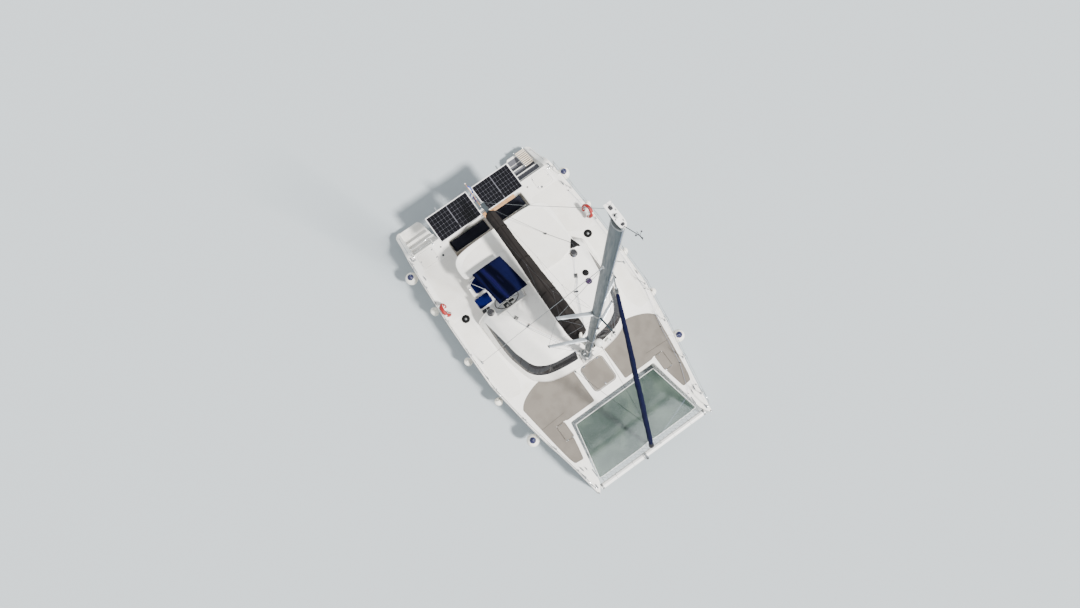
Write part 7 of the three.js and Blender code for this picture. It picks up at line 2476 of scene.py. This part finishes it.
for sg, cols_ in ((1, (CORDW, CORDB, CORDW)), (-1, (CORDR, CORDW, CORDB))):
    wx, wy, wz = WP[sg]
    b1 = (-0.42, sg * 1.245)
    b2 = (0.02, sg * (0.93 if sg > 0 else 1.06))
    for k, mt in enumerate(cols_):
        off = 0.042 * (k - 1)
        e1 = (b1[0] - 0.06, b1[1] + sg * off, roof_z(*b1) + 0.03)
        e2 = (b1[0] + 0.08, b1[1] + sg * off * 0.9, roof_z(*b1) + 0.03)
        e3 = (b2[0] + 0.02 * k, b2[1] + sg * off, roof_z(*b2) + 0.028)
        e4 = (1.46, sg * (0.27 + 0.028 * k), roof_z(1.40, 0.3) + 0.03)
        e5 = (1.74, sg * (0.20 + 0.022 * k), 2.40)
        if k == 1:
            led(R1, [(wx + 0.05, wy - sg * 0.03, wz + 0.10), e1], 0.0055, mt)
        led(R1, [e2, e3, e4], 0.0052, mt)
        R1.add(tube([e4, ((e4[0] + e5[0]) / 2, (e4[1] + e5[1]) / 2, (e4[2] + e5[2]) / 2 + 0.01), e5], 0.0052, 7), mt)
        turning_block(R1, (e3[0], e3[1], e3[2] - 0.004), (0, 0, 1), 0.9)
    # turns on the winch drum
    for j in range(3):
        R1.add(tube([(wx + 0.067 * math.cos(t), wy + 0.067 * math.sin(t), wz + 0.105 + 0.010 * j + 0.0016 * t) for t in np.linspace(0, 2 * PI, 28)], 0.0052, 6), cols_[1])
    R1.add(tube(crom([(wx - 0.05, wy + sg * 0.045, wz + 0.14), (wx - 0.12, wy + sg * 0.06, wz + 0.12), (wx - 0.20, wy + sg * 0.05, wz + 0.03)], 5), 0.0052, 7), cols_[1])
    if sg < 0:  # a lighter pair runs close along the console's front
        led(R1, [(-0.80, -1.36, roof_z(-0.80, -1.36) + 0.02), (-0.33, -1.30, 2.70), (0.30, -1.02, 2.74), (1.50, -0.36, 2.60)], 0.0045, CORDD)
# halyards down the mast's front and sides to the blocks at its foot
for x, y, xt, yt, mt in ((MX + 0.150, 0.035, MX + 0.145, 0.02, CORDW), (MX + 0.150, -0.035, MX + 0.145, -0.02, CORDB), (MX + 0.02, MB + 0.020, MX + 0.02, MB + 0.012, CORDR), (MX - 0.06, -MB - 0.016, MX - 0.05, -MB - 0.010, CORDW)):
    top_z = 18.56 if x > MX + 0.1 else (5.25 if y < 0 else 5.65)
    R1.add(rod((xt, yt, top_z), (x, y, 2.47), 0.0050, 7), mt)
# sheets from the rolled genoa's clew to the blocks by the mast's foot
clew = TK + sd * 0.203
for p, mt in (((2.15, -0.605, 1.70), CORDD), ((2.03, 0.60, 1.97), CORDD)):
    R1.add(tube([clew + (-0.07, 0.0, 0.0), (clew + np.array(p)) / 2, np.array(p)], 0.0062, 8), mt)
    turning_block(R1, p, (0, 1, 0.2), 1.1)
ceye(R1, (2.14, -0.605, 1.653))
R1.add(rod((2.145, -0.605, 1.66), (2.148, -0.605, 1.69), 0.006, 6), STEEL)
R1.add(rod((1.97, 0.60, 1.97), (2.02, 0.60, 1.97), 0.008, 8), STEEL)
R1.add(tube([clew + (-0.085, 0, -0.01), clew + (-0.055, 0, 0.03), clew + (-0.02, 0, 0.05)], np.array([0.012, 0.020, 0.030]), 10), GENOAC)
# furling line from the drum along the beam and the port hull's deck to the cockpit
fl = [(5.70, 0.055, 1.852), (5.40, 1.0, 1.78), (5.02, 2.09, 1.755), (4.0, 2.50, 1.70), (2.6, 2.72, 1.69), (1.2, 3.09, 1.69), (-0.6, 3.17, 1.69), (-2.2, 3.15, 1.69), (-3.3, 3.02, 1.70)]
R1.add(tube(along(np.array(fl), 0.25), 0.0042, 6), CORDB)
for q in fl[2:]:
    turning_block(R1, q, (0, 1, 0), 0.7)
    R1.add(rbox((q[0], q[1], (q[2] + deck_z(q[0])) / 2), (0.03, 0.012, q[2] - deck_z(q[0]) + 0.004), 0.003), STEEL)
R1.make("running_rigging", "hull", "netting", weighted=False)

# what swings with the boom: topping lift and lazyjacks, from the pin's own axis
R2 = Part()
R2.add(tube([(1.700, 0, 18.54), (-1.15, 0, 11.25), (-4.05, 0, 3.96)], 0.0048, 6), WIRE)
for sg in (1, -1):
    knot = np.array((0.30, sg * 0.16, 7.10))
    R2.add(rod((1.700, sg * 0.02, 10.30), knot, 0.0026, 6), CORDD)
    R2.add(ball(tuple(knot), 0.016, 10, 6), BLACK)
    k2 = np.array((-1.05, sg * 0.20, 5.85))
    R2.add(rod(knot, k2, 0.0026, 6), CORDD)
    R2.add(ball(tuple(k2), 0.014, 10, 6), BLACK)
    for a_, xx in ((knot, 0.95), (k2, -0.40), (k2, -2.85)):
        t_ = bag_top(xx)
        R2.add(rod(a_, (xx, sg * (abs(float(bw(xx))) - 0.012), float(t_[2]) - 0.10), 0.0026, 6), CORDD)
        R2.add(rbox((xx, sg * (abs(float(bw(xx))) - 0.010), float(t_[2]) - 0.11), (0.05, 0.016, 0.05), 0.004), BLACK)
R2.make("boom_lifts", "boom", "netting", weighted=False)
R3 = Part()
for sg in (1, -1):  # short strops on the mast that the lazyjacks pass through
    R3.add(rod((MX - MA + 0.01, sg * 0.05, 10.34), (1.735, sg * 0.03, 10.30), 0.005, 6), CORDW)
R3.add(rbox((1.70, 0, 18.575), (0.03, 0.03, 0.05), 0.006), STEEL)
R3.make("mast_strops", "hull", "stainless", weighted=False)

# mainsheet: a purchase under the boom to the hardtop's track and a second one to its port side
Bk = Part()
Bk.add(rbox((-2.60, 0.0, 2.872), (0.050, 0.62, 0.020), 0.005), ALLOY_W)
for y in (-0.30, 0.30):
    Bk.add(rbox((-2.60, y, 2.878), (0.06, 0.03, 0.034), 0.008), ALLOY_W)
Bk.add(rbox((-2.60, 0.0, 2.895), (0.10, 0.14, 0.026), 0.008), BLACK)
turning_block(Bk, (-2.60, 0.0, 2.945), (0, 1, 0), 1.3)
ceye(Bk, (-2.18, 1.25, 2.858))
turning_block(Bk, (-2.185, 1.245, 2.920), (1, -0.6, 0.2), 1.3)
wx, wy, wz = WP[1]
Bk.add(tube(crom([(-2.165, 1.262, 2.93), (-1.78, 1.52, 2.925), (-1.43, 1.75, 2.935), (-1.27, 1.77, 2.94), (wx - 0.06, wy + 0.075, wz + 0.12)], 6), 0.0062, 7), CORDD)
Bk.make("mainsheet_blocks", "hull", "black_grip")
Bu = Part()
turning_block(Bu, (-2.60, 0.0, 3.700), (0, 1, 0), 1.3)
turning_block(Bu, (-3.87, 0.078, 3.770), (1, -0.6, 0.2), 1.2)
Bu.add(rbox((-3.87, 0.060, 3.80), (0.05, 0.02, 0.05), 0.005), STEEL)
Bu.make("boom_blocks", "boom", "black_grip")
for i, (pa, pb) in enumerate((((-2.63, -0.010, 2.955), (-2.63, -0.010, 3.69)), ((-2.57, 0.010, 2.955), (-2.57, 0.010, 3.69)), ((-2.60, 0.0, 2.985), (-2.60, 0.0, 3.66)),
                              ((-2.20, 1.235, 2.945), (-3.88, 0.09, 3.75)), ((-2.17, 1.255, 2.945), (-3.855, 0.095, 3.76)))):
    Q = Part()
    pa, pb = np.array(pa), np.array(pb)
    Q.add(tube([pa + (pb - pa) * t for t in np.linspace(0, 1, 12)], 0.0052, 7), CORDW if i < 3 else CORDD)
    o = Q.make(f"mainsheet_fall_{i + 1}", None, "netting", weighted=False)
    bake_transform(o)

# ------------------------------------------------------------------ a roof hatch maker that is not called, beam fittings, gate and deck clutter
H = Part()


def roof_hatch(P, x, y, w, h, turn=0.0):
    """A flush acrylic hatch in its light frame, laid on the roof's slope."""
    e = 0.12
    zc = roof_z(x, y)
    nx = -(roof_z(x + e, y) - roof_z(x - e, y)) / (2 * e)
    ny = -(roof_z(x, y + e) - roof_z(x, y - e)) / (2 * e)
    M = facing((nx, ny, 1), (0, 1, 0), (x, y, zc))
    P.add(move(slab(rrect(w, h, 0.05, 5), 0.026, -0.03, 0.007, 2, holes=(rrect(w - 0.08, h - 0.08, 0.03, 5),)), M), ALLOY_W)
    P.add(move(slab(rrect(w - 0.07, h - 0.07, 0.03, 5), 0.020, 0.0, 0.002, 1), M), GLASS_D)
    for s_ in (-1, 1):
        P.add(move(rbox((s_ * w * 0.28, h / 2 - 0.015, 0.026), (0.05, 0.03, 0.012), 0.004), M), BLACK)


for sg in (1, -1):
    # beam end brackets, bow fairleads with their rollers, stem plates
    H.add(rbox((5.93, sg * 2.36, 1.772), (0.045, 0.040, 0.044), 0.008), STEEL)
    H.add(rbox((5.70, sg * 2.30, 1.742), (0.16, 0.05, 0.010), 0.004), STEEL)
    for dx in (-0.055, 0.055):
        H.add(rod((5.70 + dx, sg * 2.30, 1.745), (5.70 + dx, sg * 2.30, 1.790), 0.010, 10), STEEL)
    # chafe strip on the inner edge over the beam
    H.add(rbox((5.30, sg * (float(YT(5.30)) + 0.03), deck_z(5.30) + 0.004), (0.30, 0.035, 0.006), 0.002), STEEL)
    # gate fittings: posts' sockets and folded lines' hooks
    for x in (-0.30, 0.90):
        c = (x, sg * (edge_y(x) - 0.062), 2.27)
        H.add(tube([(c[0] - 0.035, c[1], c[2]), (c[0] + 0.035, c[1], c[2])], 0.010, 8), STEEL)
    # aft fairleads at the quarter
    H.add(rbox((-4.52, sg * 3.02, 1.662), (0.12, 0.05, 0.012), 0.004), STEEL)
    for dx in (-0.04, 0.04):
        H.add(rod((-4.52 + dx, sg * 3.02, 1.664), (-4.52 + dx, sg * 3.02, 1.705), 0.009, 10), STEEL)
    # aluminium toe rail along the sheer, a low rounded strip with drain gaps
    for x0, x1 in zip(np.linspace(-3.50, 4.0, 9)[:-1], np.linspace(-3.50, 4.0, 9)[1:]):
        X = np.linspace(x0 + 0.05, x1 - 0.05, 9)
        H.add(tube([(x, sg * (edge_y(x) - 0.022), deck_z(x) + 0.010) for x in X], 0.014, 8, flat=0.8), GEL)
# anchor roller and bridle plate amid the beam, chain cover
H.add(rbox((5.80, -0.34, 1.685), (0.30, 0.012, 0.08), 0.006), STEEL)
H.add(rbox((5.80, -0.41, 1.685), (0.30, 0.012, 0.08), 0.006), STEEL)
H.add(tube([(5.815, 0.30, 1.672), (5.815, 0.30, 1.71), (5.815, 0.36, 1.71), (5.815, 0.36, 1.672)], 0.008, 8), STEEL)
for y in (-1.55, -0.85, 0.85, 1.55):
    H.add(tube([(5.815 + 0.098 * math.cos(t), y, 1.575 + 0.098 * math.sin(t)) for t in np.linspace(0, 2 * PI, 28, endpoint=False)], 0.006, 6, closed=True), CAST)
H.make("bow_and_gate_fittings", "hull", "stainless")
